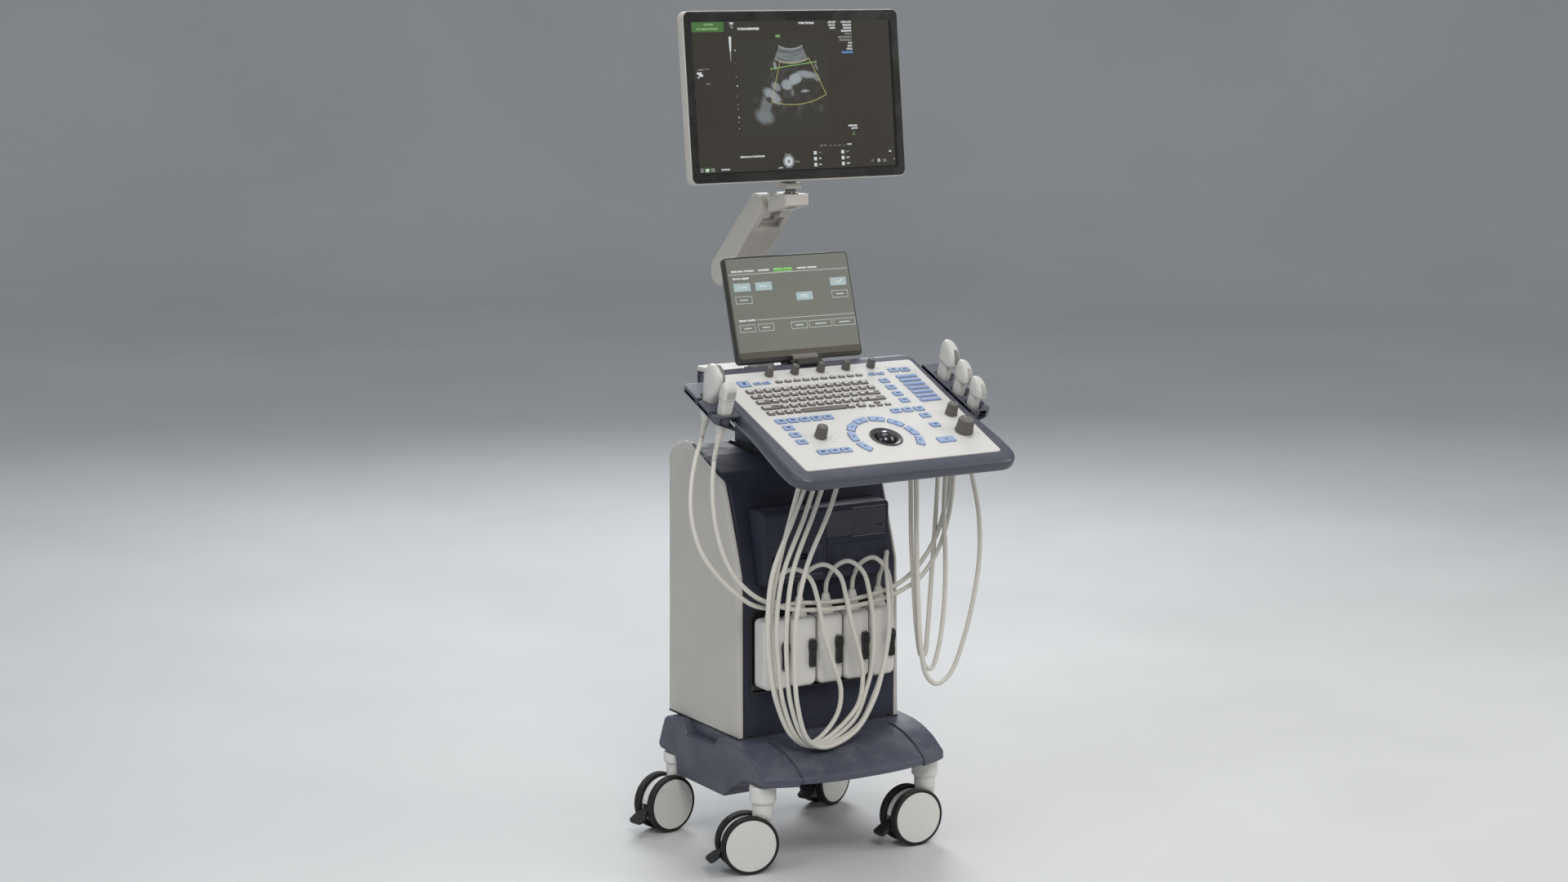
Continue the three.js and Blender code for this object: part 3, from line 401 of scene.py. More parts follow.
def resample(stations, count):
    """Smooth interpolation of rows of numbers, spaced evenly along their own length."""
    rows = np.array(stations, float)
    gaps = np.maximum(np.linalg.norm(np.diff(rows, axis=0), axis=1), 1e-3)
    at = np.concatenate([[0], np.cumsum(gaps)])
    out = np.zeros((count, rows.shape[1]))
    slopes = np.zeros_like(rows)
    for i in range(1, len(rows) - 1):
        d0 = (rows[i] - rows[i - 1]) / (at[i] - at[i - 1])
        d1 = (rows[i + 1] - rows[i]) / (at[i + 1] - at[i])
        same = (d0 * d1) > 0
        slopes[i] = np.where(same, 2 * d0 * d1 / np.where(same, d0 + d1, 1), 0)
    slopes[0] = (rows[1] - rows[0]) / (at[1] - at[0])
    slopes[-1] = (rows[-1] - rows[-2]) / (at[-1] - at[-2])
    for k, x in enumerate(np.linspace(0, at[-1], count)):
        i = min(len(rows) - 2, max(0, int(np.searchsorted(at, x, "right") - 1)))
        gap = at[i + 1] - at[i]
        s = (x - at[i]) / gap
        out[k] = (
            (2 * s**3 - 3 * s**2 + 1) * rows[i]
            + (s**3 - 2 * s**2 + s) * gap * slopes[i]
            + (-2 * s**3 + 3 * s**2) * rows[i + 1]
            + (s**3 - s**2) * gap * slopes[i + 1]
        )
    return [tuple(r) for r in out]


def smooth(x):
    x = max(0.0, min(1.0, x))
    return x * x * (3 - 2 * x)


def box(x0, y0, z0, x1, y1, z1, radius=0.0, axis="z", corner=None):
    """Box with rounded edges, built along Z or Y; corner is the radius seen along that axis."""
    corner = radius if corner is None else corner
    if axis == "z":
        return slab(rect(x0, y0, x1, y1, corner, 4), z0, z1, radius, radius, "z", 3)
    return slab(rect(x0, z0, x1, z1, corner, 4), y0, y1, radius, radius, "y", 3)


# ------------------------------------------------------------------ objects
def to_mesh(shape, name, scale=True):
    mesh = bpy.data.meshes.new(name)
    verts = [to_frame(p) for p in shape.verts] if scale else shape.verts
    mesh.from_pydata(verts, [], shape.faces)
    if any(shape.slots):
        mesh.polygons.foreach_set("material_index", np.array(shape.slots, np.int32))
    near = 1e-7 if scale else 1e-4
    bm = bmesh.new()
    bm.from_mesh(mesh)
    bmesh.ops.remove_doubles(bm, verts=bm.verts, dist=near)
    bmesh.ops.dissolve_degenerate(bm, edges=bm.edges, dist=near)
    bmesh.ops.recalc_face_normals(bm, faces=bm.faces)
    bm.to_mesh(mesh)
    bm.free()
    return mesh


def boolean(shape, cutters, operation="DIFFERENCE"):
    """The shape with the cutters taken off it, or otherwise combined, one after another."""
    shapes = [s if isinstance(s, Shape) else Shape(s) for s in [shape, *cutters]]
    made = []
    for s in shapes:
        obj = bpy.data.objects.new("tmp", to_mesh(s, "tmp", False))
        bpy.context.scene.collection.objects.link(obj)
        made.append(obj)
    base = made[0]
    for cutter in made[1:]:
        step = base.modifiers.new("b", "BOOLEAN")
        step.operation, step.solver, step.object = operation, "EXACT", cutter
        step.use_hole_tolerant = False
        step.material_mode = "INDEX"
    top = max([i for s in shapes for i in s.slots] + [0])
    for obj in made:
        for i in range(top + 1):
            obj.data.materials.append(None)
    graph = bpy.context.evaluated_depsgraph_get()
    mesh = bpy.data.meshes.new_from_object(base.evaluated_get(graph))
    out = Shape()
    out.verts = [tuple(v.co) for v in mesh.vertices]
    out.faces = [tuple(p.vertices) for p in mesh.polygons]
    out.slots = [p.material_index for p in mesh.polygons]
    for obj in made:
        data = obj.data
        bpy.data.objects.remove(obj)
        bpy.data.meshes.remove(data)
    bpy.data.meshes.remove(mesh)
    return out


def finish_mesh(obj, angle, bevel, weighted):
    """Smooth shading with sharp edges over the angle, then bevel and weighted normals."""
    bm = bmesh.new()
    bm.from_mesh(obj.data)
    for face in bm.faces:
        face.smooth = True
    for edge in bm.edges:
        if len(edge.link_faces) == 2:
            edge.smooth = edge.calc_face_angle(0.0) < angle * DEG
    bm.to_mesh(obj.data)
    bm.free()
    if bevel:
        mod = obj.modifiers.new("edge", "BEVEL")
        mod.width, mod.segments = bevel / 1000, 2
        mod.limit_method, mod.angle_limit = "ANGLE", 38 * DEG
        mod.harden_normals = False
        mod.use_clamp_overlap = True
        mod.miter_outer = "MITER_ARC"
    if weighted:
        mod = obj.modifiers.new("normals", "WEIGHTED_NORMAL")
        mod.keep_sharp, mod.weight = True, 60


MATERIALS = {}


def piece(
    name, shape, body, materials, replaces=None,
    angle=32.0, bevel=0.0, weighted=True, toward=None,
):
    """Makes the object; materials names one or more, parted by spaces.

    It rides on the body; when toward is given, it is left unparented with its placement baked into the
    mesh.
    """
    obj = bpy.data.objects.new(name, to_mesh(shape, name))
    bpy.context.scene.collection.objects.link(obj)
    for material in materials.split():
        obj.data.materials.append(MATERIALS[material])
    finish_mesh(obj, angle, bevel, weighted)
    if toward is None:
        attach(obj, body)
    else:
        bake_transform(obj)
    if replaces:
        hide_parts(replaces)
    return obj


# ------------------------------------------------------------------ materials
class Paint:
    """One material's node tree, with short ways to add nodes to it."""

    def __init__(self, name):
        self.material = bpy.data.materials.new(name)
        MATERIALS[name] = self.material
        self.material.use_nodes = True
        self.tree = self.material.node_tree
        self.tree.nodes.clear()
        output = self.node("ShaderNodeOutputMaterial")
        self.bsdf = self.node("ShaderNodeBsdfPrincipled")
        self.tree.links.new(self.bsdf.outputs[0], output.inputs[0])

    def node(self, kind, **props):
        node = self.tree.nodes.new(kind)
        for key, value in props.items():
            setattr(node, key, value)
        return node

    def put(self, socket, value):
        if hasattr(value, "is_output"):
            self.tree.links.new(value, socket)
        else:
            socket.default_value = value

    def surface(self, values):
        for key, value in values.items():
            self.put(self.bsdf.inputs[key], value)

    def place(self):
        return self.node("ShaderNodeTexCoord").outputs["Object"]

    def math(self, operation, a, b=0.0, clamp=False):
        node = self.node("ShaderNodeMath", operation=operation, use_clamp=clamp)
        for socket, value in zip(node.inputs, (a, b, 0.0)):
            self.put(socket, value)
        return node.outputs[0]

    def mul(self, a, b):
        return self.math("MULTIPLY", a, b)

    def sub(self, a, b):
        return self.math("SUBTRACT", a, b)

    def add(self, a, b, clamp=False):
        return self.math("ADD", a, b, clamp)

    def max(self, a, b):
        return self.math("MAXIMUM", a, b)

    def noise(self, place, scale, detail=3.0, rough=0.5, warp=0.0):
        node = self.node("ShaderNodeTexNoise")
        self.put(node.inputs["Vector"], place)
        node.inputs["Scale"].default_value = scale
        node.inputs["Detail"].default_value = detail
        node.inputs["Roughness"].default_value = rough
        node.inputs["Distortion"].default_value = warp
        return node.outputs["Fac"]

    def ramp(self, value, span, to=(0.0, 1.0)):
        """Smooth step of the value over a span, to a range."""
        node = self.node("ShaderNodeMapRange", clamp=True, interpolation_type="SMOOTHSTEP")
        keys = ("Value", "From Min", "From Max", "To Min", "To Max")
        for key, setting in zip(keys, (value, *span, *to)):
            self.put(node.inputs[key], setting)
        return node.outputs[0]

    def mix(self, share, a, b):
        node = self.node("ShaderNodeMix", data_type="RGBA", blend_type="MIX")
        self.put(node.inputs[0], share)
        for socket, value in ((node.inputs[6], a), (node.inputs[7], b)):
            self.put(socket, value if hasattr(value, "is_output") else (*value, 1))
        return node.outputs[2]

    def mapping(self, vector, scale=(1, 1, 1), turn=(0, 0, 0)):
        node = self.node("ShaderNodeMapping")
        self.put(node.inputs["Vector"], vector)
        node.inputs["Scale"].default_value = scale
        node.inputs["Rotation"].default_value = turn
        return node.outputs[0]

    def bump(self, height, strength, distance, normal=None):
        node = self.node("ShaderNodeBump")
        node.inputs["Strength"].default_value = strength
        node.inputs["Distance"].default_value = distance
        self.put(node.inputs["Height"], height)
        if normal is not None:
            self.put(node.inputs["Normal"], normal)
        return node.outputs[0]


DUST_COLOUR = (0.55, 0.53, 0.49)


def plastic(
    name, colour, rough, grain, grain_height, mottle, smudge, dust, crevice_shade, scratch, wear,
    speck=0.0, metal=0.0, coat=0.0, specular=0.5,
):
    """Moulded or painted surface: fine grain, soft colour drift, smudges, light scratches,
    dust on top faces, painted shade in crevices, rubbed edges. A triple for the grain brushes it."""
    paint = Paint(name)
    co = paint.place()
    geometry = paint.node("ShaderNodeNewGeometry").outputs

    def tint(gain, lift=0.0):
        return tuple(min(1, c * gain + lift) for c in colour)

    # colour drift, large and medium
    large = paint.mul(paint.noise(co, scale=5.0), 0.6)
    medium = paint.mul(paint.noise(co, scale=38.0, detail=4.0, rough=0.6), 0.4)
    drift = paint.ramp(paint.add(large, medium), span=(0.3, 0.7), to=(1 - mottle, 1 + mottle))
    base = paint.node("ShaderNodeVectorMath", operation="SCALE")
    base.inputs[0].default_value = colour
    paint.put(base.inputs["Scale"], drift)
    shade = base.outputs[0]
    if speck:
        dots = paint.noise(co, scale=2600.0, detail=1.0)
        shade = paint.mix(paint.ramp(dots, span=(0.60, 0.72), to=(0, speck)), shade, tint(1.5, 0.02))
    # scratches: long thin noise in two directions, shown only in patches
    thin = paint.mapping(co, scale=(14, 700, 700), turn=(0.3, 0.2, 0.5))
    first = paint.ramp(paint.noise(thin, scale=1.0, detail=2.0), span=(0.70, 0.74))
    thin = paint.mapping(co, scale=(700, 18, 600), turn=(0.2, 0.6, -0.4))
    second = paint.ramp(paint.noise(thin, scale=1.0, detail=2.0), span=(0.715, 0.75))
    patch = paint.ramp(paint.noise(co, scale=9.0, detail=2.0), span=(0.50, 0.68))
    lines = paint.mul(paint.max(first, second), paint.mul(patch, scratch))
    shade = paint.mix(lines, shade, tint(1.35, 0.03))
    if wear:
        edge = paint.ramp(geometry["Pointiness"], span=(0.52, 0.60))
        broken = paint.noise(co, scale=60.0, detail=4.0, rough=0.7)
        edge = paint.mul(edge, paint.ramp(broken, span=(0.42, 0.62), to=(0.15, 1.0)))
        shade = paint.mix(paint.mul(edge, wear), shade, tint(1.5, 0.05))
    # painted shade: colour darkened where the ambient occlusion node finds crevices and gaps between
    # parts
    if crevice_shade:
        crevice = paint.node("ShaderNodeAmbientOcclusion", samples=6)
        crevice.inputs["Distance"].default_value = 0.012
        painted_shade = paint.ramp(crevice.outputs["AO"], span=(0.35, 0.95), to=(crevice_shade, 0.0))
        uneven = paint.ramp(paint.noise(co, scale=90.0), span=(0.3, 0.7), to=(0.55, 1.0))
        shade = paint.mix(paint.mul(painted_shade, uneven), shade, tint(0.25))
    # dust on faces that look up
    normal = paint.node("ShaderNodeSeparateXYZ")
    paint.put(normal.inputs[0], geometry["Normal"])
    level = paint.ramp(normal.outputs["Z"], span=(0.35, 0.95))
    cloud = paint.noise(co, scale=22.0, detail=5.0, rough=0.65)
    film = paint.mul(paint.mul(level, paint.ramp(cloud, span=(0.40, 0.72))), dust)
    shade = paint.mix(film, shade, DUST_COLOUR)
    # roughness: smudges, smoother in the scratches, duller under dust
    smear = paint.noise(co, scale=17.0, detail=5.0, rough=0.6, warp=0.4)
    smear = paint.ramp(smear, span=(0.35, 0.68), to=(-smudge * 0.5, smudge * 0.5))
    dull = paint.add(paint.add(rough, smear), paint.mul(lines, -0.15))
    dull = paint.add(dull, paint.mul(film, 0.5), clamp=True)
    # bump: grain, scratches and faint waviness of the moulding
    if isinstance(grain, tuple):
        fine = paint.noise(paint.mapping(co, scale=grain), scale=1.0, rough=0.6)
    else:
        fine = paint.noise(co, scale=grain, detail=2.0, rough=0.6)
    relief = paint.bump(fine, strength=0.6, distance=grain_height)
    relief = paint.bump(paint.mul(lines, -1.0), strength=0.5, distance=0.00005, normal=relief)
    wave = paint.noise(co, scale=7.0, detail=1.0)
    relief = paint.bump(wave, strength=0.35, distance=0.0004, normal=relief)
    paint.surface({
        "Base Color": shade,
        "Roughness": dull,
        "Metallic": metal,
        "Specular IOR Level": specular,
        "Coat Weight": coat,
        "Coat Roughness": 0.12,
        "Normal": relief,
    })
    paint.material.diffuse_color = (*colour, 1)


def glass_roughness(paint, co, to):
    """Fingerprints in the gloss."""
    prints = paint.noise(co, scale=26.0, detail=5.0, rough=0.6, warp=0.3)
    return paint.ramp(prints, span=(0.30, 0.78), to=to)


def lit(name, colour, strength, rough, stripes=0.0, base=None):
    """Part of a lit display behind glass: pixel grid, slight unevenness, fingerprints.
    Stripes break it up like a line of writing too small to read."""
    paint = Paint(name)
    co = paint.place()
    uneven = paint.ramp(paint.noise(co, scale=4.0, detail=2.0), span=(0.3, 0.7), to=(0.93, 1.05))
    dots = paint.noise(co, scale=1500.0, detail=0.0)
    glow = paint.mul(uneven, paint.ramp(dots, span=(0.35, 0.65), to=(0.90, 1.06)))
    glow = paint.mul(glow, strength)
    if stripes:
        lines = paint.noise(paint.mapping(co, scale=(620, 40, 420)), scale=1.0, detail=1.0)
        glow = paint.mul(glow, paint.ramp(lines, span=(0.40, 0.52), to=(1 - stripes, 1.0)))
    paint.surface({
        "Base Color": (*(base or tuple(c * 0.25 for c in colour)), 1),
        "Emission Color": (*colour, 1),
        "Emission Strength": glow,
        "Roughness": glass_roughness(paint, co, to=(rough * 0.92, rough * 1.14)),
        "Specular IOR Level": 0.28,
    })
    fine = paint.noise(co, scale=1800.0, detail=1.0)
    paint.surface({"Normal": paint.bump(fine, strength=0.15, distance=0.00002)})
    paint.material.diffuse_color = (*colour, 1)


# Scan, in screen millimetres. The fan of layers spreads downwards from its apex.
APEX = (-8.0, 302.0)
# Bright echoes: centre x and y, radii, turn in degrees, inner edge, brightness.
ECHOES = [
    (-1, 189, 19, 12, 24, 0.55, 0.80), (-20, 178, 14, 12, -10, 0.55, 0.72),
    (24, 196, 28, 8, -6, 0.55, 0.62), (45, 190, 11, 7, -35, 0.5, 0.40),
    (-9, 163, 5, 8, 0, 0.4, 0.35), (19, 166, 11, 3.4, 6, 0.5, 0.66),
    (-53, 158, 25, 12, -36, 0.55, 0.66), (-44, 175, 13, 9, -35, 0.5, 0.50),
    (-68, 140, 15, 32, -22, 0.45, 0.34), (-72, 121, 24, 18, -18, 0.40, 0.40),
    (-44, 214, 4, 10, 10, 0.4, 0.60), (46, 210, 3, 9, 25, 0.4, 0.40),
]
REGION_RADII, REGION_ANGLES, REGION_LINE = (84.0, 161.0), (-17.0, 27.0), 0.55
CALIPER = (-53.0, 208.0, 46.0, 219.5)  # x, y of its two ends


def scan_screen(name, back):
    """Grey scan: a fan of speckled layers with bright echoes, dark round voids, a yellow
    region frame and a green caliper line. Its UV map is in millimetres on the screen."""
    paint = Paint(name)
    uv = paint.node("ShaderNodeUVMap", uv_map="screen_mm").outputs[0]
    split = paint.node("ShaderNodeSeparateXYZ")
    paint.put(split.inputs[0], uv)
    x, y = split.outputs["X"], split.outputs["Y"]
    across, down = paint.sub(x, APEX[0]), paint.sub(APEX[1], y)
    radius = paint.math("SQRT", paint.add(paint.mul(across, across), paint.mul(down, down)))
    angle = paint.math("DIVIDE", paint.math("ARCTAN2", across, down), DEG)

    def band(value, low, high, soft):
        rise = paint.ramp(value, span=(low - soft, low + soft))
        return paint.mul(rise, paint.ramp(value, span=(high - soft, high + soft), to=(1.0, 0.0)))

    polar = paint.node("ShaderNodeCombineXYZ")
    paint.put(polar.inputs[0], paint.mul(angle, 0.5))
    paint.put(polar.inputs[1], radius)
    polar = polar.outputs[0]
    fine = paint.noise(polar, scale=1.1, rough=0.7)
    stretched = paint.mapping(polar, scale=(0.25, 1.0, 1.0))
    layers = paint.noise(stretched, scale=0.30, detail=4.0, rough=0.6, warp=0.5)
    big = paint.noise(paint.mapping(uv), scale=0.06, detail=4.0, rough=0.6, warp=0.6)
    # near field tissue, below the probe face
    near = paint.mul(band(radius, 59, 86, soft=1.0), band(angle, -25.5, 25.5, soft=0.5))
    texture = paint.ramp(layers, span=(0.30, 0.70), to=(0.18, 0.62))
    near = paint.mul(near, paint.mul(texture, paint.ramp(radius, span=(62, 88), to=(0.75, 1.0))))
    face = band(radius, 57.0, 59.4, soft=0.5)
    face = paint.mul(face, paint.mul(band(angle, -26.5, 26.5, soft=0.5), 0.8))
    # deeper: faint haze inside the fan
    deep = paint.mul(band(radius, 88, 186, soft=2.0), band(angle, -30, 27, soft=0.8))
    haze = paint.mul(deep, paint.ramp(big, span=(0.45, 0.75), to=(0.0, 0.10)))

    def blob(blob_x, blob_y, radius_x, radius_y, turn, inner, outer):
        cos, sin = math.cos(turn * DEG), math.sin(turn * DEG)
        dx, dy = paint.sub(x, blob_x), paint.sub(y, blob_y)
        along = paint.add(paint.mul(dx, cos), paint.mul(dy, sin))
        along = paint.math("DIVIDE", along, radius_x)
        off = paint.math("DIVIDE", paint.sub(paint.mul(dy, cos), paint.mul(dx, sin)), radius_y)
        far = paint.math("SQRT", paint.add(paint.mul(along, along), paint.mul(off, off)))
        far = paint.add(far, paint.mul(paint.sub(big, 0.5), 0.55))
        return paint.ramp(far, span=(inner, outer), to=(1.0, 0.0))

    light = None
    for *spot, gain in ECHOES:
        echo = paint.mul(blob(*spot, outer=1.08), gain)
        light = echo if light is None else paint.max(light, echo)
    void = paint.max(
        blob(29, 178, 19, 12, turn=-5, inner=0.80, outer=1.05),
        blob(-60, 151, 8, 5, turn=-30, inner=0.7, outer=1.1),
    )
    light = paint.mul(light, paint.sub(1.0, paint.mul(void, 0.9)))
    light = paint.mul(light, band(radius, 59, 218, soft=1.5))
    value = paint.max(paint.max(near, face), paint.max(haze, light))
    value = paint.mul(value, paint.ramp(fine, span=(0.25, 0.75), to=(0.45, 1.25)))
    shade = paint.mix(value, back, (0.42, 0.47, 0.50))
    # region frame: two arcs and two rays about the apex
    line = REGION_LINE
    arcs = [
        paint.mul(
            band(radius, at - line, at + line, soft=0.25), band(angle, *REGION_ANGLES, soft=0.15)
        )
        for at in REGION_RADII
    ]
    gaps = [
        paint.mul(paint.math("ABSOLUTE", paint.sub(angle, at)), paint.mul(radius, DEG))
        for at in REGION_ANGLES
    ]
    rays = [
        paint.mul(
            paint.ramp(gap, span=(line - 0.25, line + 0.25), to=(1.0, 0.0)),
            band(radius, *REGION_RADII, soft=0.4),
        )
        for gap in gaps
    ]
    region = paint.max(paint.max(*arcs), paint.max(*rays))
    shade = paint.mix(region, shade, (0.45, 0.40, 0.14))
    # caliper line with a short bar at each end
    x0, y0, x1, y1 = CALIPER
    length = math.hypot(x1 - x0, y1 - y0)
    ux, uy = (x1 - x0) / length, (y1 - y0) / length
    along = paint.add(paint.mul(paint.sub(x, x0), ux), paint.mul(paint.sub(y, y0), uy))
    off = paint.sub(paint.mul(paint.sub(y, y0), ux), paint.mul(paint.sub(x, x0), uy))
    off = paint.math("ABSOLUTE", off)
    stroke = paint.ramp(off, span=(0.4, 0.9), to=(1.0, 0.0))
    stroke = paint.mul(stroke, band(along, 0, length, soft=0.3))
    ends = paint.mul(
        paint.ramp(off, span=(2.4, 2.9), to=(1.0, 0.0)),
        paint.max(
            band(along, -0.6, 0.6, soft=0.3), band(along, length - 0.6, length + 0.6, soft=0.3)
        ),
    )
    shade = paint.mix(paint.max(stroke, ends), shade, (0.25, 0.48, 0.14))
    co = paint.place()
    dots = paint.noise(co, scale=1500.0, detail=0.0)
    paint.surface({
        "Emission Color": shade,
        "Emission Strength": paint.ramp(dots, span=(0.35, 0.65), to=(0.92, 1.05)),
        "Base Color": (0.02, 0.02, 0.018, 1),
        "Roughness": glass_roughness(paint, co, to=(0.22, 0.28)),
        "Specular IOR Level": 0.28,
    })
    paint.material.diffuse_color = (0.2, 0.22, 0.22, 1)


# Name, colour, roughness, grain scale, grain height in metres, colour mottle, smudges, dust,
# painted crevice shade, scratches, edge wear, and any further settings.
PLASTICS = [
    ("shell_paint", (0.50, 0.475, 0.44), 0.52, 900, 3e-5, 0.035, 0.12, 0.05, 0.28, 0.18, 0.10),
    ("shell_light", (0.72, 0.70, 0.665), 0.45, 1300, 2e-5, 0.03, 0.12, 0.04, 0.30, 0.15, 0.08),
    ("base_moulding", (0.066, 0.071, 0.100), 0.42, 700, 5e-5, 0.08, 0.22, 0.10, 0.45, 0.45, 0.35),
    ("console_rim", (0.068, 0.071, 0.094), 0.36, 1200, 3e-5, 0.05, 0.14, 0.03, 0.35, 0.12, 0.10),
    ("navy_moulding", (0.029, 0.031, 0.051), 0.60, 800, 4e-5, 0.10, 0.2, 0.04, 0.5, 0.25, 0.18,
     {"speck": 0.06, "specular": 0.28}),
    ("navy_trim", (0.040, 0.042, 0.062), 0.44, 1000, 3e-5, 0.08, 0.18, 0.03, 0.5, 0.2, 0.25),
    ("panel_white", (0.66, 0.645, 0.61), 0.42, 1500, 2e-5, 0.02, 0.16, 0.03, 0.22, 0.12, 0.0),
    ("key_grey", (0.165, 0.150, 0.134), 0.50, 1900, 2e-5, 0.05, 0.12, 0.05, 0.35, 0.1, 0.30),
    ("key_mark", (0.72, 0.71, 0.68), 0.50, 1900, 1e-5, 0.02, 0.12, 0.0, 0.0, 0.0, 0.0),
    ("button_blue", (0.29, 0.38, 0.58), 0.40, 1900, 2e-5, 0.03, 0.12, 0.03, 0.30, 0.08, 0.25),
    ("button_mark", (0.05, 0.08, 0.17), 0.45, 1900, 3e-5, 0.02, 0.12, 0.0, 0.0, 0.0, 0.0),
    ("power_blue", (0.17, 0.30, 0.66), 0.38, 1900, 3e-5, 0.03, 0.12, 0.02, 0.3, 0.08, 0.2),
    ("printed_mark", (0.13, 0.125, 0.12), 0.55, 2500, 1e-5, 0.05, 0.12, 0.0, 0.0, 0.0, 0.0),
    ("knob_grey", (0.115, 0.106, 0.096), 0.52, 1500, 3e-5, 0.06, 0.12, 0.06, 0.45, 0.15, 0.35),
    ("black_plastic", (0.012, 0.012, 0.013), 0.42, 1200, 3e-5, 0.1, 0.2, 0.05, 0.2, 0.3, 0.25),
    ("ball_gloss", (0.010, 0.010, 0.012), 0.08, 2500, 4e-6, 0.1, 0.10, 0.0, 0.0, 0.25, 0.0,
     {"coat": 0.6}),
    ("tyre_rubber", (0.014, 0.0135, 0.013), 0.72, 600, 1e-4, 0.2, 0.15, 0.22, 0.2, 0.2, 0.3,
     {"specular": 0.35}),
    ("caster_cap", (0.70, 0.685, 0.65), 0.48, 1100, 3e-5, 0.035, 0.18, 0.06, 0.35, 0.35, 0.1),
    ("arm_paint", (0.50, 0.47, 0.43), 0.50, 650, 6e-5, 0.04, 0.12, 0.05, 0.35, 0.2, 0.12,
     {"speck": 0.06}),
    ("dark_metal", (0.22, 0.21, 0.20), 0.30, (900, 900, 30), 3e-5, 0.05, 0.14, 0.03, 0.35, 0.35,
     0.15, {"metal": 0.9}),
    ("bezel_black", (0.016, 0.015, 0.014), 0.30, 1600, 1e-5, 0.08, 0.16, 0.02, 0.1, 0.1, 0.15),
    ("bezel_touch", (0.030, 0.028, 0.024), 0.34, 1600, 1e-5, 0.08, 0.14, 0.02, 0.2, 0.1, 0.15),
    ("probe_shell", (0.60, 0.59, 0.555), 0.36, 1900, 1e-5, 0.03, 0.14, 0.0, 0.35, 0.15, 0.06),
    ("probe_lens", (0.20, 0.19, 0.17), 0.62, 1200, 4e-5, 0.08, 0.12, 0.0, 0.3, 0.15, 0.2),
    ("probe_lens_light", (0.40, 0.39, 0.36), 0.60, 1200, 4e-5, 0.06, 0.12, 0.0, 0.3, 0.1, 0.1),
    ("cable_jacket", (0.64, 0.615, 0.555), 0.50, 900, 4e-5, 0.05, 0.15, 0.03, 0.30, 0.2, 0.0),
    ("screw_steel", (0.42, 0.42, 0.42), 0.28, (600, 600, 600), 3e-5, 0.05, 0.12, 0.02, 0.4, 0.3,
     0.0, {"metal": 1.0}),
    ("socket_dark", (0.006, 0.006, 0.007), 0.5, 1500, 3e-5, 0.1, 0.12, 0.03, 0.2, 0.1, 0.2),
    # painted highlight: light colour for the lit edges of the drive bay's seams
    ("edge_trim", (0.24, 0.24, 0.26), 0.35, 1500, 3e-5, 0.06, 0.12, 0.0, 0.2, 0.2, 0.1),
    ("ring_dark", (0.040, 0.039, 0.038), 0.42, 1500, 3e-5, 0.08, 0.2, 0.02, 0.3, 0.2, 0.2),
    ("button_blue_deep", (0.20, 0.30, 0.55), 0.42, 1900, 3e-5, 0.03, 0.12, 0.0, 0.3, 0.05, 0.1),
    ("hinge_cover", (0.19, 0.178, 0.155), 0.36, 1600, 1e-5, 0.06, 0.14, 0.02, 0.3, 0.2, 0.2),
]
for row in PLASTICS:
    extras = row[11] if len(row) > 11 else {}
    plastic(*row[:11], **extras)

# Name, colour, strength, roughness, stripes, and a base colour where it isn't derived.
DISPLAY_LIGHTS = [
    ("ui_background", (0.150, 0.155, 0.132), 0.92, 0.34, 0.0, (0.05, 0.051, 0.046)),
    ("ui_lower_band", (0.070, 0.062, 0.050), 0.9, 0.30, 0.0, (0.04, 0.037, 0.032)),
    ("ui_line", (0.50, 0.52, 0.48), 1.0, 0.3),
    ("ui_label", (0.66, 0.70, 0.65), 1.0, 0.3, 0.75),
    ("ui_green", (0.22, 0.60, 0.14), 1.0, 0.3, 0.35),
    ("ui_green_label", (0.55, 0.85, 0.45), 1.0, 0.3, 0.6),
    ("ui_button", (0.34, 0.42, 0.43), 1.0, 0.3),
    ("ui_outline", (0.42, 0.47, 0.42), 1.0, 0.3),
    ("screen_background", (0.030, 0.0265, 0.021), 0.95, 0.24, 0.0, (0.018, 0.017, 0.015)),
    ("screen_edge", (0.004, 0.004, 0.004), 0.6, 0.24, 0.0, (0.008, 0.008, 0.008)),
    ("screen_label", (0.50, 0.52, 0.52), 1.0, 0.24, 0.85),
    ("screen_label_dim", (0.20, 0.20, 0.19), 1.0, 0.24, 0.7),
    ("screen_green", (0.060, 0.135, 0.045), 1.0, 0.24),
    ("screen_green_label", (0.20, 0.36, 0.15), 1.0, 0.24, 0.7),
    ("screen_white", (0.50, 0.53, 0.54), 1.0, 0.24),
    ("screen_blue", (0.10, 0.22, 0.42), 1.0, 0.24, 0.5),
    ("screen_ring", (0.20, 0.22, 0.235), 1.0, 0.24),
]
for row in DISPLAY_LIGHTS:
    lit(*row)
scan_screen("screen_scan", back=(0.030 * 0.95, 0.0265 * 0.95, 0.021 * 0.95))

# ------------------------------------------------------------------ base moulding
# Swivel x, y and turn in degrees of each caster.
CASTERS = {
    "front_left": (-180.4, -163.1, -12.85),
    "front_right": (180.4, -163.1, -0.12),
    "rear_left": (-180.4, 163.1, 10.73),
    "rear_right": (180.4, 163.1, 24.36),
}
BASE_HALF, BASE_END_R = 200, 4.0
# Height of the top by distance behind the front edge.
BASE_TOP = [(0, 181.6), (12, 190), (35, 204.5), (70, 217.5), (105, 224), (150, 226), (500, 226)]
# (y, z) down the rear end, and forwards along the underside to near the front lip.
BASE_REAR = [(176, 216), (186, 196), (192.5, 180), (198, 168), (200, 163), (198.5, 157.5),
             (192, 152.5)]
BASE_UNDER = [(170, 151.2), (136, 150), (133.5, 148), (130, 120), (128, 116), (124, 115),
              (60, 115), (0, 115), (-48, 115), (-53, 116.5), (-76, 134), (-84, 139.5), (-131, 165)]
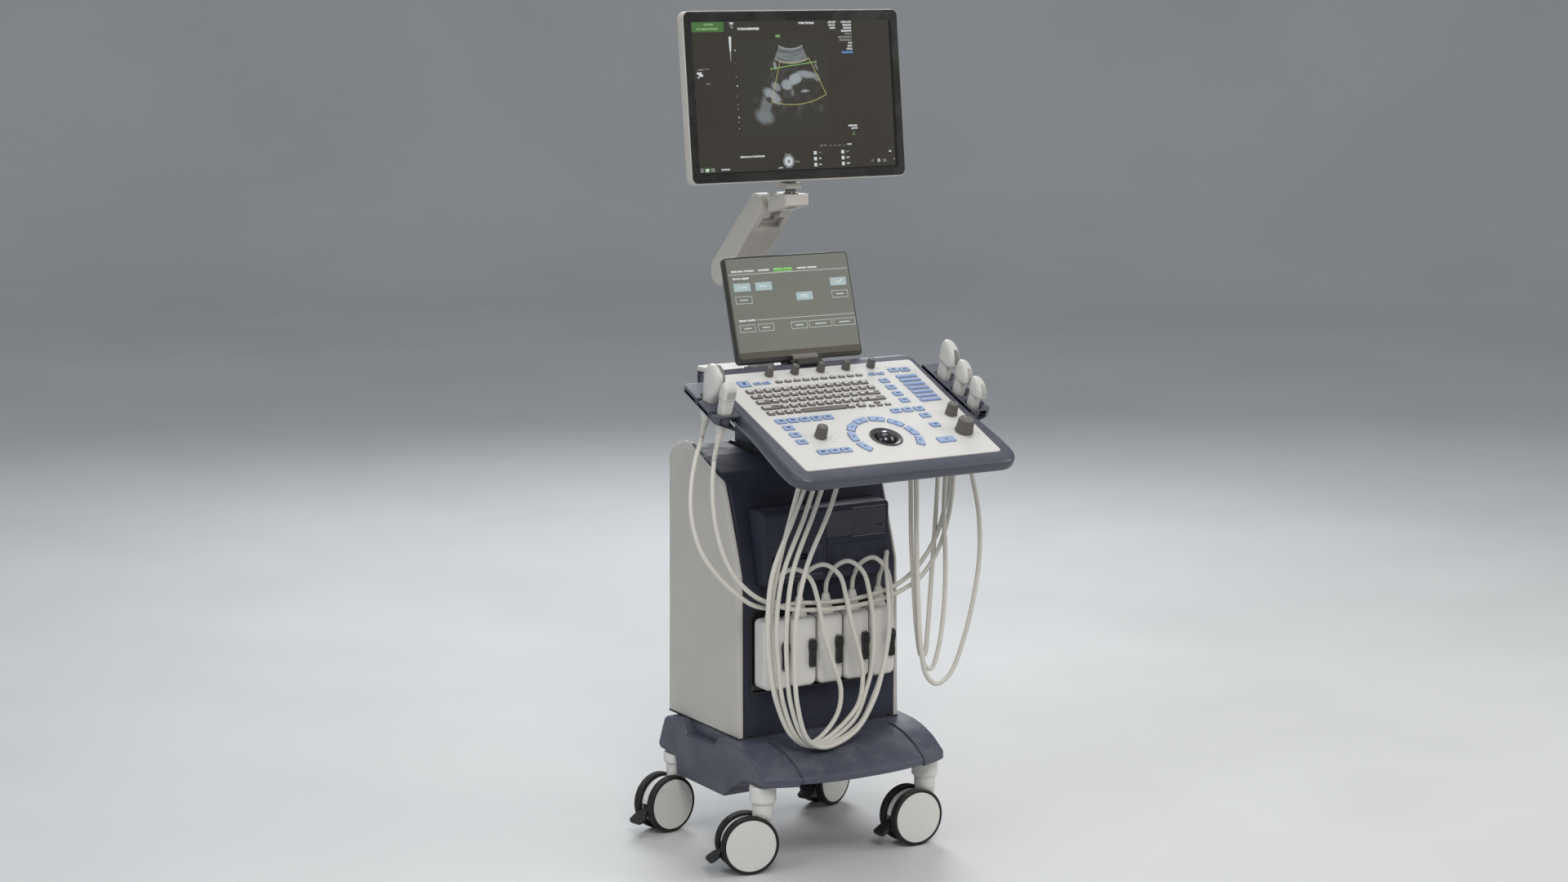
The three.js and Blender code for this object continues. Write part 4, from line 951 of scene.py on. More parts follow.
# Sections from the middle outwards, close together at the groove and the side ledge.
BASE_X = [0, 12, 24, 36, 48, 60, 72, 84, 96, 108, 118, 126, 129.6, 130.2, 130.7, 131.2, 131.8,
          134, 136.4, 136.9, 137.4, 138.0, 138.8, 141, 146, 153, 160, 167, 173, 177, 178.7,
          178.95, 179.2, 181, 184, 188, 192, 194.5]


def front_bow(x):
    return 199 + 46 * (1 - (min(200, abs(x)) / 200) ** 2.4)


def top_at(back):
    for (d0, z0), (d1, z1) in zip(BASE_TOP, BASE_TOP[1:]):
        if back <= d1:
            return z0 + (z1 - z0) * (back - d0) / (d1 - d0)


def top_smooth(back):
    mean = sum(top_at(max(0, back + k)) for k in (-9, -4.5, 0, 4.5, 9)) / 5
    if back > 9:
        return mean
    return top_at(back) * (1 - back / 9) + (back / 9) * mean


def ledge(y):
    """Height of the side ledge between the front and rear fender lumps."""
    if y < -14:
        return 203 + (-14 - y) * 1.25
    if y > 93:
        return 203 + (y - 93) * 1.7
    return 203.0


def base_ring(x, inset):
    front = -front_bow(x)
    out = abs(x)
    groove = smooth((out - 130.2) / 1.6) * (1 - smooth((out - 136.4) / 1.6))
    lip = 4.0 * smooth((out - 137.0) / 1.2)  # deeper front lip in the corners
    side = smooth((out - 178.7) / 0.5)
    top = []
    for j in range(47):
        y = front + (168 - front) * (j / 46) ** 1.2
        back = y - front
        z = top_smooth(back)
        if y > 120:
            z -= 4 * smooth((y - 120) / 48)
        z -= 3.4 * groove * smooth(back / 2 + 0.5) * (1 - smooth((back - 126) / 8))
        if side > 0:
            limit = ledge(y)
            blend = 3.0
            low = min(z, limit) - blend * max(0, 1 - abs(z - limit) / (2 * blend)) ** 2 * 0.5
            z = z * (1 - side) + low * side
        top.append((y, z))
    top[0] = (front + 2.6 * groove, top[0][1] - 1.0)
    front_lip = [
        (-138, 166.6 - lip * 0.25),
        (front + 5, 169.6 - lip),
        (front + 1.2 + 2.6 * groove, 170.6 - lip),
        (front + 2.6 * groove, 172.2 - lip),
    ]
    ring = top + BASE_REAR + BASE_UNDER + front_lip
    if inset > 0:
        ring = offset(ring, inset)
    return [(x, p[0], p[1]) for p in ring]


stations = [(x, 0) for x in BASE_X]
for k in range(6):
    turn = QUARTER * k / 5
    rounding = BASE_END_R * (1 - math.cos(turn)) * 0.9
    stations.append((BASE_HALF - BASE_END_R * (1 - math.sin(turn)), rounding))
stations = [(-x, inset) for x, inset in reversed(stations[1:])] + stations
base = boolean(
    loft([base_ring(x, inset) for x, inset in stations]),
    [rod(7.4, 130, 197, 32, place(x, y, 0)) for x, y, _ in CASTERS.values()],
)
piece("base_moulding", base, "base", "base_moulding", "base_chassis", angle=28)

# raised foot gasket that the cabinet stands in
foot = boolean(
    slab(offset(rect(-178, -72.5, 178, 195, 4, 5), -1.6), 225.2, 228.2, 0.0, 1.1, "z", 3),
    [slab(rect(-160, -60, 160, 180, 3, 3), 220, 232)],
)
piece("cabinet_foot_gasket", foot, "base", "black_plastic", angle=30)

# ------------------------------------------------------------------ casters
TRAIL, AXLE_Z = 31.2, 55  # wheel axle behind the swivel, along the caster's -X, and its height
# Horn that carries the stem down on to the drum: z, first x, last x, half width.
HORN = [(62, -30, 2, 9.0), (72, -27, 12, 9.2), (82, -24, 17.5, 9.6), (90, -21.5, 19.3, 11.5),
        (98, -20, 19.8, 16), (104, -19.7, 19.9, 19), (109, -19.6, 19.8, 19.4)]
# (radius, distance from the middle) round one tyre and over one wheel cap.
TYRE = [(48.9, 25.4), (49.3, 27.0), (50.4, 27.7), (52.0, 27.5), (53.8, 26.6), (54.8, 25.2),
        (55.0, 23.5), (54.6, 22.6), (55.0, 21.7), (55.0, 15.6), (54.6, 14.8), (55.0, 14.0),
        (54.7, 12.4), (53.4, 11.3), (51.5, 11.0), (47.0, 11.2), (46.6, 12.6), (46.6, 24.8),
        (47.6, 25.4)]
WHEEL_CAP = [(0, 11.4), (6, 11.4), (6.2, 12.2), (43, 12.6), (46.2, 13.4), (46.4, 24.6),
             (48.5, 26.0), (48.6, 26.9), (47.9, 27.5), (45.8, 27.6), (45.2, 27.35), (44.6, 27.6),
             (30, 27.9), (15, 28.05), (0, 28.1)]


def caster_body(stem_top):
    stem = [(0, 108), (19.6, 108), (20, 110), (20, 124), (20.4, 127.2), (24.6, 131.5), (25, 134),
            (25, stem_top - 1), (24.2, stem_top), (6.6, stem_top), (6.6, 195), (5.6, 196), (0, 196)]
    body = Shape(lathe(soften(stem, [0, 1, 1, 2, 1, 1.5, 2, 0.8, 0.5, 0, 0.6, 0.6, 0], 3), 56))
    horn = []
    for z, x0, x1, half in HORN:
        square = 2.6 if z < 95 else 2.1
        horn.append(oval_ring((x1 - x0) / 2, half, square, z, 44, (x0 + x1) / 2, 0))
    body.add(loft(horn))
    # drum between the wheels, open where the brake and the bottom are
    brake_gap = [(-TRAIL - 60, -5), (-TRAIL - 26, -5), (-TRAIL - 26, 59.5), (-TRAIL - 60, 59.5)]
    drum = boolean(
        slab(disc(-TRAIL, AXLE_Z, 48.6, 88), -9.4, 9.4, 1.4, 1.4, "y", 3),
        [
            slab(disc(-TRAIL, AXLE_Z, 6.8, 32), -20, 20, axis="y"),
            slab(fillet(brake_gap, [0, 0, 3, 0], 4), -20, 20, axis="y"),
            slab(rect(-TRAIL - 60, -10, 60, 26), -20, 20, axis="y"),
        ],
    )
    body.add(drum)
    # two thin ribs round the drum
    for y in (-6.2, 6.2):
        arc = [
            (-TRAIL + radius * math.cos(q * DEG), AXLE_Z + radius * math.sin(q * DEG))
            for radius, turns in ((49.2, range(-30, 171, 4)), (48.0, range(170, -31, -4)))
            for q in turns
        ]
        body.add(slab(arc, y - 0.6, y + 0.6, axis="y"))
    return body


def brake_pedal():
    """Bent lever with a broad ribbed tread."""
    bend = [(29, 49.5), (40, 48.5), (52, 42.5), (64, 34.5), (76, 26.8)]
    line = spline([(-TRAIL - x, 0, z) for x, z in bend], 2.2)
    half = 3.4  # half thickness of the tread

    def along(i):
        ahead = line[min(i + 1, len(line) - 1)]
        tangent = (ahead - line[max(i - 1, 0)]).normalized()
        normal = Vector((-tangent.z, 0, tangent.x))
        return line[i], tangent, -normal if normal.z < 0 else normal

    rings = []
    for i in range(len(line)):
        share = i / (len(line) - 1)
        middle, _, normal = along(i)
        tip = smooth((share - 0.93) / 0.07)
        w = 7.2 + 9.6 * smooth((share - 0.38) / 0.3)
        w *= 1 - 0.30 * tip
        h = 6.8 * (1 - smooth(share / 0.5)) + half
        h *= 1 - 0.35 * tip
        section = fillet([(-w, -h), (w, -h), (w, h), (-w, h)], 1.6, 3)
        rings.append([tuple(middle + Vector((0, a, 0)) + normal * b) for a, b in section])
    pedal = Shape(loft(rings))
    for k in range(5):
        middle, tangent, normal = along(int((0.62 + 0.075 * k) * (len(line) - 1)))
        near = [
            tuple(middle + normal * (half + rise) + tangent * shift + Vector((0, -12.6, 0)))
            for shift, rise in ((-0.7, -0.4), (0.7, -0.4), (0.45, 0.7), (-0.45, 0.7))
        ]
        pedal.add(loft([near, [(x, y + 25.2, z) for x, y, z in near]]))
    pedal.add(slab(disc(-TRAIL - 32, 49, 7.4, 30), -8.6, 8.6, 0.8, 0.8, "y", 2))
    return pedal


for tag, (swivel_x, swivel_y, turn) in CASTERS.items():
    at = place(swivel_x, swivel_y, 0, 0, 0, turn)
    body = caster_body(161.5 if swivel_y < 0 else 149.0)
    piece("caster_body_" + tag, body.moved(at), "caster_" + tag, "caster_cap",
          "caster_fork_" + tag, angle=34)
    axle = at @ place(-TRAIL, 0, AXLE_Z) @ Matrix.Rotation(90 * DEG, 4, "X")
    tyres, caps = Shape(), Shape()
    for side in (-1, 1):
        tyres.add(turned_ring([(r, side * z) for r, z in TYRE], 120), 0, axle)
        caps.add(lathe([(r, side * z) for r, z in WHEEL_CAP], 96), 0, axle)
    caps.add(rod(5.9, -11.5, 11.5, 28), 0, axle)
    piece("wheel_tyres_" + tag, tyres, "wheel_" + tag, "tyre_rubber",
          "caster_wheel_" + tag, angle=40)
    piece("wheel_caps_" + tag, caps, "wheel_" + tag, "caster_cap", angle=36)
    piece("brake_lever_" + tag, brake_pedal().moved(at), "pedal_" + tag, "black_plastic",
          "brake_pedal_" + tag, angle=34)


# ------------------------------------------------------------------ cabinet
def screw(radius, matrix):
    """Recessed cross-head screw cap, its head along the matrix's Z."""
    head = [(0, -0.6), (radius, -0.6), (radius, 0.35), (radius * 0.72, 0.9), (0, 1.05)]
    slot = radius * 0.6
    cap = boolean(
        lathe(soften(head, [0, 0.2, 0.5, 0.5, 0], 3), 26),
        [box(-slot, -0.45, 0.25, slot, 0.45, 3), box(-0.45, -slot, 0.25, 0.45, slot, 3)],
    )
    return Shape().add(cap, 0, matrix)


# Side cover outline (y, z) and its corner radii, from the foot of the rear edge over the top.
COVER = [(195, 226.6), (195, 736), (170, 757), (130.8, 766), (13.6, 714), (-10.7, 706.7),
         (-25.5, 670), (-43.3, 619), (-61, 568), (-71, 537), (-72.5, 500), (-72.5, 226.6)]
COVER_R = [2, 26, 24, 26, 16, 20, 40, 40, 20, 24, 30, 2]
COVER_IN, COVER_OUT, COVER_RUN, COVER_DEPTH = 168.4, 178.6, 15.0, 8.4
cover = fillet(COVER, COVER_R, 8)
# The soft edge runs further in along the front and the top than at the foot.
soft = []
for y, z in cover:
    strength = max(1 - smooth((y + 30) / 90), smooth((z - 640) / 90))
    soft.append(0.16 + 0.84 * strength * smooth((z - 226.5) / 14))
for side, hand in ((-1, "left"), (1, "right")):
    rings = []
    for k in range(3):
        rise = math.sin(QUARTER * k / 2)
        rings.append(ring_at(offset(cover, 1.2 * (1 - rise)), side * (COVER_IN + 1.2 * rise), "x"))
    rings += edge_rings(
        cover, side * COVER_OUT, -side * COVER_DEPTH, COVER_RUN, 12, "x", weights=soft
    )
    name = hand + "_side_cover"
    piece(name + "_shell", Shape(loft(rings)), "base", "shell_paint", name,
          angle=40)
    # dark border of the housing that follows the cover's outline
    rounds = (0.4, 2.4) if side < 0 else (2.4, 0.4)
    border = slab(offset(cover, 4.6), *sorted((side * 155.5, side * 167.5)), *rounds, "x", 4)
    piece(hand + "_cover_border", Shape(border), "base", "navy_trim")
    # shadow gasket between the cover and the housing
    gasket = slab(offset(cover, 3.2), *sorted((side * 167.6, side * 168.6)), axis="x")
    piece(name + "_gasket", Shape(gasket), "base", "black_plastic")

# Housing (y, z): one C section, open at the back for the rear cover, and a plate each side.
HOUSING = [(190, 227), (190, 742), (176, 748), (82, 741), (6, 720), (-26, 690), (-45, 633),
           (-68, 545), (-71, 525), (-71, 227)]
HOUSING_R = [1.5, 8, 12, 16, 18, 22, 60, 30, 20, 1.5]
HOUSING_INSIDE = [(-67.4, 227), (-67.4, 525), (-64.5, 545), (-41.5, 633), (-22.5, 688.5),
                  (8, 716.5), (82, 737), (176, 744), (190, 738.4)]
wall = fillet(HOUSING[1:], [0, *HOUSING_R[2:9], 0], 8)
wall += fillet(HOUSING_INSIDE, [0, 14, 20, 40, 18, 14, 12, 10, 0], 6)
housing = boolean(
    slab(wall, -163.8, 163.8, 0, 0, "x"),
    [
        slab(rect(-150, 312, 150, 467, 5, 5), -90, -50, axis="y"),
        slab(rect(-139.4, 516.6, 139.4, 657.4, 5, 4), -100, 14, axis="y"),
        slab(rect(-62, 68, 62, 172, 4, 4), 700, 790),
    ],
)
plate = fillet(HOUSING, HOUSING_R, 8)
housing.add(slab(plate, 163.5, 167.4, 0, 2.2, "x", 4))
housing.add(slab(plate, -167.4, -163.5, 2.2, 0, "x", 4))
piece("cabinet_housing", housing, "base", "navy_moulding", "main_housing",
      angle=30, bevel=0.7)

# trim frame round the connector recess
trim = boolean(
    slab(rect(-153.5, 308.5, 153.5, 470.5, 7, 6), -72.8, -70.9, 1.0, 0, "y", 3),
    [slab(rect(-149.6, 312.4, 149.6, 466.6, 5, 6), -90, -50, axis="y")],
)
piece("recess_trim", trim, "base", "black_plastic", angle=30)

# ------------------------------------------------------------------ probe connectors
CONNECTOR_X = [k * 58.8 for k in (-2, -1, 0, 1, 2)]
LATCH_X, LATCH_Z = 16, 400  # latch axis: x from the connector's middle, and its height
# Half width of the latch lever by height.
LATCH = [(359.2, 4.4), (360.4, 5.5), (364, 6.0), (372, 6.0), (380, 5.5), (388, 5.7), (393, 7.0),
         (400, 7.8), (407, 7.0), (410.4, 5.5), (411.4, 4.4)]
# Shoulder, seam ring and cone of the strain relief: radius, z.
RELIEF = [(0, -12), (17.5, -12), (17.5, -1.2), (15.2, 2.2), (13.4, 7.0), (12.6, 9.6),
          (12.1, 9.9), (12.1, 10.7), (12.5, 11.0), (11.6, 15.5), (9.6, 23.0), (8.0, 31.0),
          (6.4, 36.4), (5.2, 37.0), (0, 37.0)]
RELIEF_R = [0, 0, 2, 2, 2, 0.3, 0.2, 0.2, 0.3, 2, 3, 3, 1, 0.5, 0]

# back panel of the recess with five socket frames
panel = boolean(
    slab(rect(-149.2, 312.8, 149.2, 466.2, 3, 4), -66, -61, 0.6, 0.3, "y", 2),
    [slab(rect(x - 22.6, 333.2, x + 22.6, 443.8, 5, 4), -80, -50, axis="y") for x in CONNECTOR_X],
)
for x in CONNECTOR_X:
    panel.add(boolean(
        slab(rect(x - 27.0, 325.5, x + 27.0, 451.5, 6, 4), -68.6, -65.6, 0.8, 0, "y", 2),
        [slab(rect(x - 22.7, 333.1, x + 22.7, 443.9, 5, 4), -80, -50, axis="y")],
    ))
piece("connector_panel_frame", panel, "base", "black_plastic",
      "connector_panel", angle=30)
screws = Shape(*[screw(2.2, place(x, -66.2, z, 90)) for x in (-146, 146) for z in (320, 459)])
piece("connector_panel_screws", screws, "base", "screw_steel", angle=35)


def connector(x):
    """Pillow-fronted block, lower corners rounder than the upper ones, with a strain relief."""
    corners = [(x - 27.8, 322), (x + 27.8, 322), (x + 27.8, 455), (x - 27.8, 455)]
    outline = fillet(corners, [13, 13, 10, 10], 8)
    rings = edge_rings(outline, -112, 7.5, 7.5, 8)[::-1]
    rings += seam_rings(outline, (-86.6, -86.0, -84.9, -84.3), 0.7)
    rings += [ring_at(outline, -76.2, "y"), ring_at(offset(outline, 1.2), -75.0, "y")]
    latch = x + LATCH_X
    block = boolean(
        loft(rings),
        [
            rod(3.7, -8, 15, 26, place(latch, -112, LATCH_Z, -90)),
            slab(rect(x + 8.9, 356.6, x + 23.1, 413.4, 5, 5), -114, -110.6, axis="y"),
        ],
    )
    verts, faces = lathe(soften(RELIEF, RELIEF_R, 3), 44)
    verts = [(a, b * (1.0 if z > 10 else 0.86), z) for a, b, z in verts]
    at = place(x, -93, 455)
    block.add((verts, faces), 0, at)
    block.add(slab(rect(x - 22, 334, x + 22, 443, 5, 4), -75.6, -56.5, axis="y"))
    # dark hairline round the relief
    return block.add(rod(12.3, 9.7, 10.9, 44), 1, at)


def latch_lever(x):
    """Waisted bar with a raised round hub and finger ribs."""
    left = [(x - half, z) for z, half in reversed(LATCH)]
    right = [(x + half, z) for z, half in LATCH]
    lever = Shape(slab(left + right, -121.2, -112.4, 1.6, 0.5, "y", 4))
    hub = soften([(0, -2), (6.4, -2), (6.4, 4.6), (4.9, 6.2), (0, 6.6)], [0, 0, 1, 1.2, 0], 4)
    lever.add(lathe(hub, 36, place(x, -118.4, LATCH_Z, 90)))
    for z in (365.5, 369.0, 372.5, 376.0):
        lever.add(box(x - 4.4, -122.1, z - 0.7, x + 4.4, -120.9, z + 0.7, 0.4, "y"))
    return lever.add(rod(2.9, -2, 13, 24, place(x, -113, LATCH_Z, -90)))


for number, x in enumerate(CONNECTOR_X, 1):
    piece("connector_shell_%d" % number, connector(x), "base", "shell_light printed_mark",
          "probe_connector_%d" % number, angle=34)
    piece("latch_lever_%d" % number, latch_lever(x + LATCH_X), "latch_%d" % number,
          "black_plastic", "connector_latch_%d" % number, angle=34)

# ------------------------------------------------------------------ drive bay and disc drawer
DRAWER_X0, DRAWER_X1 = -1.0, 131.0
# Openings in the bay's front: x, z, width, height, depth.
BAY_OPENINGS = [(-120, 562.5, 15, 10, 9), (-58, 562.5, 15, 10, 9), (-24.5, 603, 15.5, 9, 9)]
# Seams x0, z0, x1, z1: upright joint, then the outlines of the lower flaps.
BAY_SEAMS = [
    (-1.9, 520, -1.1, 596.8), (-1.9, 647.2, -1.1, 654), (-128, 588.2, -8, 589.0),
    (8, 538.0, 128, 538.8), (8, 584.0, 128, 584.8), (7.6, 538.0, 8.4, 584.8),
    (127.6, 538.0, 128.4, 584.8), (-128.4, 533.0, -127.6, 589.0), (-8.4, 533.0, -7.6, 589.0),
    (-128, 532.6, -8, 533.4),
]
front = fillet([(-98, 517.5), (60, 517.5), (60, 656.5), (-98, 656.5)], [7, 1, 1, 9], 6)
cuts = [box(DRAWER_X0 - 0.7, -110, 596.3, DRAWER_X1 + 0.7, 48, 647.7)]
for x, z, w, h, depth in BAY_OPENINGS:
    cuts.append(slab(rect(x, z, x + w, z + h, 1.4, 3), -104, -98 + depth, axis="y"))
for x0, z0, x1, z1 in BAY_SEAMS:
    cuts.append(box(x0, -100, z0, x1, -97.3, z1))
bay = boolean(slab(front, -138.5, 138.5, 4.0, 4.0, "x", 5), cuts)
# tongues inside the two lower openings
for x, z, w, _, _ in BAY_OPENINGS[:2]:
    bay.add(box(x + 2.5, -96.4, z + 3.4, x + w - 2.5, -89.2, z + 6.2, 0.3), 1)
# painted highlight: light lines above and below the drawer, and along the left flap, stand for the lit
# edges of the seams
for z in (648.3, 594.6):
    bay.add(box(55.5, -99.0, z, 130.5, -97.6, z + 1.3, 0.3), 2)
bay.add(box(-0.6, -98.7, 519, 0.6, -97.6, 595, 0.2), 1)
bay.add(box(-126, -98.7, 531, -9, -97.6, 532, 0.2), 2)
# small round key in the third opening
key = soften([(0, -6), (2.6, -6), (2.6, 0.0), (1.9, 0.7), (0, 0.8)], [0, 0, 0.3, 0.4, 0], 3)
bay.add(lathe(key, 26, place(-16.8, -97.2, 607.5, 90)), 1)
piece("drive_bay_shell", bay, "base", "navy_moulding socket_dark edge_trim",
      "drive_bay", angle=30)

drawer = Shape(
    box(DRAWER_X0, -98.6, 597, DRAWER_X1, -94, 647, 0.8, "y", 1.2),
    box(DRAWER_X0 + 2, -95, 601, DRAWER_X1 - 2, 43.5, 609, 0.8),
)
# disc well and its hub, then joint, groove, button pocket and pin hole of the front
drawer = boolean(
    drawer,
    [
        rod(61, 605, 620, 96, place(65, -20, 0)),
        rod(20, 603.6, 620, 48, place(65, -20, 0)),
        box(55.7, -100, 598, 56.3, -98.0, 646),
        box(66, -100, 603.2, 122, -98.1, 603.9),
        box(110, -100, 610, 122, -97.2, 614),
        slab(disc(62, 610, 1.0, 20), -101, -96.6, axis="y"),
    ],
)
drawer.add(box(110.4, -98.9, 610.4, 121.6, -96.6, 613.6, 0.5, "y"), 1)
piece("disc_drawer_front", drawer, "disc_drawer", "navy_trim black_plastic",
      "disc_tray", angle=30)

# ------------------------------------------------------------------ back of the cabinet
FAN_Z, FAN_Y = 330, 178.5
cuts = [slab(disc(0, FAN_Z, 44, 72), 150, 230, axis="y")]
for k in range(12):
    z = 452 + 13 * k
    for x0, x1 in ((-120, -8), (8, 120)):
        cuts.append(slab(rect(x0, z, x1, z + 6, 2.9, 4), 180, 200, axis="y"))
cuts.append(slab(rect(-150, 262, -92, 300, 3, 4), 180, 200, axis="y"))
rear = boolean(
    slab(rect(-163.7, 227.4, 163.7, 734.6, 6, 5), 190.4, 194.4, 0.3, 1.4, "y", 3), cuts
)
# guard over the fan: rings, spokes and a hub
for r in (14, 22, 30, 38):
    turns = [q * DEG for q in range(0, 364, 4)]
    circle = [(r * math.cos(turn), 192.6, FAN_Z + r * math.sin(turn)) for turn in turns]
    rear.add(tube(circle, 0.9, 10))
for q in range(0, 360, 60):
    cos, sin = math.cos(q * DEG), math.sin(q * DEG)
    rear.add(tube([(r * cos, 192.4, FAN_Z + r * sin) for r in (10, 45.5)], 1.2, 10))
hub = soften([(0, -2), (12, -2), (12, 1), (11, 1.8), (0, 2.0)], [0, 0, 0.5, 0.5, 0], 3)
rear.add(lathe(hub, 44, place(0, 192.6, FAN_Z, -90)))
# raised rims round the vents and the mains inlet
for x0, x1 in ((-124, -4), (4, 124)):
    rear.add(boolean(
        slab(rect(x0, 447, x1, 606, 5, 5), 193.6, 195.6, 0, 0.7, "y", 2),
        [slab(rect(x0 + 2.4, 449.4, x1 - 2.4, 603.6, 3, 5), 190, 199, axis="y")],
    ))
inlet = boolean(
    slab(rect(-152, 260, -90, 302, 4, 5), 184, 196.2, 0, 0.9, "y", 3),
    [
        slab(rect(-146, 265, -114, 297, 5, 5), 186.5, 199, axis="y"),
        slab(rect(-109, 268, -96, 294, 2, 4), 189, 199, axis="y"),
    ],
)
rear.add(inlet, 1)
for x, z in ((-138, 277), (-130, 283), (-122, 277)):
    rear.add(box(x - 0.9, 187, z, x + 0.9, 192.5, z + 8, 0.3), 2)
rear.add(box(-108.4, 188, 269, -96.6, 195.8, 293, 0.9), 1)
piece("rear_cover_panel", rear, "base", "navy_moulding black_plastic screw_steel",
      "rear_cover")
spots = [(x, z) for x in (-154, 154) for z in (240, 400, 560, 722)]
screws = Shape(*[screw(3.4, place(x, 194.4, z, -90)) for x, z in spots])
piece("rear_cover_screws", screws, "base", "screw_steel", angle=35)

hub = [(0, -7.5), (13, -7.5), (13, 6), (11, 7.5), (0, 7.5)]
fan = Shape(lathe(soften(hub, [0, 0.6, 1.5, 1.5, 0], 4), 40, place(0, FAN_Y, FAN_Z, -90)))
for i in range(7):
    rings = []
    for k in range(9):
        r = 11 + 29 * k / 8
        twist = (38 - 14 * k / 8) * DEG
        chord = 9.5 + 3.0 * k / 8
        sweep = 0.18 * (k / 8) ** 1.5
        section = []
        for q in range(12):
            turn = 2 * math.pi * q / 12
            cos = math.cos(turn)
            camber = 1.1 * math.sin(math.pi * (cos * 0.5 + 0.5))
            u, v = chord * cos, 0.75 * math.sin(turn) * (1 + 0.3 * cos) + camber
            y = u * math.sin(twist) * 0.62 - v * math.cos(twist)
            w = u * math.cos(twist) + v * math.sin(twist)
            angle = i * 2 * math.pi / 7 + sweep + w / max(r, 12) * 0.9
            section.append((r * math.cos(angle), FAN_Y + y, FAN_Z + r * math.sin(angle)))
        rings.append(section)
    fan.add(loft(rings))
piece("fan_blades", fan, "fan", "black_plastic", "fan_rotor", angle=38)

# ------------------------------------------------------------------ lift column
COLUMN_Y = 120
LOW_HINGE, HIGH_HINGE = (246.0, 1071.0), (105.0, 1208.0)  # (y, z) of the arm link's two pins
# The tube and its foot flange are hollowed one at a time: cutting both at once leaves nothing.
sleeve = boolean(
    slab(rect(-58, 72, 58, 168, 3, 5), 228, 752),
    [slab(rect(-51.6, 78.4, 51.6, 161.6, 2, 4), 236.4, 770)],
)
flange = boolean(
    slab(rect(-75, 65, 75, 175, 2, 4), 228.2, 237, 0, 1.5),
    [slab(rect(-57.6, 72.4, 57.6, 167.6, 2, 4), 220, 245)],
)
piece("column_sleeve_tube", sleeve.add(flange), "base", "black_plastic",
      "column_sleeve", angle=30)

lift = Shape(box(-50, 80, 300, 50, 160, 790, 3.0), rod(34, 786, 850, 72, place(0, COLUMN_Y, 0)))
lift.add(slab(rect(-86, 63, 86, 249, 13, 8), 848, 880.6, 3.5, 0.6, "z", 5), 2)
lift.add(slab(rect(-87, 62, 87, 250, 14, 8), 880.2, 889, 0.8, 3.6, "z", 5), 1)
# post leaning back to the lower hinge, with a drilled eye
post = [(118, 886), (162, 886), (167, 914), (256, 1060), (232, 1076), (129, 912)]
post = boolean(
    slab(fillet(post, [0, 0, 40, 0, 0, 46], 10), -20, 20, 5.0, 5.0, "x", 5),
    [slab(disc(*LOW_HINGE, 24, 64), -20, 20, 2.4, 2.4, "x", 3)],
    "UNION",
)
lift.add(boolean(post, [rod(8.6, -30, 30, 32, place(0, *LOW_HINGE, 0, 90))]), 1)
piece("lift_post", lift, "lift", "navy_trim arm_paint navy_moulding", "lift_column")
collar = boolean(
    slab(rect(-25, 111, 25, 170, 9, 6), 888.6, 892.6, 0, 1.4, "z", 3),
    [slab(rect(-20.5, 116.5, 20.5, 165.5, 5, 5), 880, 899)],
)
piece("post_collar", collar, "lift", "black_plastic")

# ------------------------------------------------------------------ console tray
PANEL_LENGTH = 343.9
PANEL_FRONT, PANEL_BACK = 209.6, 218.7  # half widths
# Height of the belly by distance up the slope.
BELLY = [(-31, -26), (-20, -30.5), (10, -37), (60, -45), (120, -53), (210, -58), (300, -61),
         (345, -58), (366, -46)]
TRAY = [(-238.5, -31), (238.5, -31), (240.0, 50), (233.4, 150), (234.0, 371), (-234.0, 371),
        (-233.4, 150), (-240.0, 50)]
TRAY_R = [40, 40, 70, 90, 24, 24, 90, 70]
RIM_R = 9.5


def panel_outline(inset, radius, steps):
    front, back, end = PANEL_FRONT - inset, PANEL_BACK - inset, PANEL_LENGTH - inset
    return fillet([(-front, inset), (front, inset), (back, end), (-back, end)], radius, steps)


def dense(points, step=12.0):
    out = []
    for i, p in enumerate(points):
        q = points[(i + 1) % len(points)]
        count = max(1, int(math.hypot(q[0] - p[0], q[1] - p[1]) / step))
        for k in range(count):
            out.append((p[0] + (q[0] - p[0]) * k / count, p[1] + (q[1] - p[1]) * k / count))
    return out


plan = dense(fillet(TRAY, TRAY_R, 12))
plan_inward = inward(plan)


def belly(y):
    for (y0, z0), (y1, z1) in zip(BELLY, BELLY[1:]):
        if y <= y1:
            share = max(0, (y - y0) / (y1 - y0))
            return z0 + (z1 - z0) * (smooth(share) * 0.35 + share * 0.65)
    return BELLY[-1][1]


def tray_ring(inset, height):
    """Plan outline moved in; height is a function of y."""
    out = []
    for (x, y), into in zip(plan, plan_inward):
        out.append((x + into.x * inset, y + into.y * inset, height(y + into.y * inset)))
    return out


def nose(y):
    """1 along the front edge, falling to 0 towards the back."""
    return 1 - smooth((y + 31) / 60)


def match(outline):
    """The point of an outline nearest to each plan point."""
    ends = [Vector(p) for p in outline]
    out = []
    for point in plan:
        p = Vector(point)
        best, least = None, 1e9
        for a, b in zip(ends, ends[1:] + ends[:1]):
            ab = b - a
            t = 0 if ab.length_squared < 1e-12 else max(0, min(1, (p - a).dot(ab) / ab.length_squared))
            spot = a + ab * t
            gap = (spot - p).length
            if gap < least:
                best, least = spot, gap
        out.append((best.x, best.y))
    return out


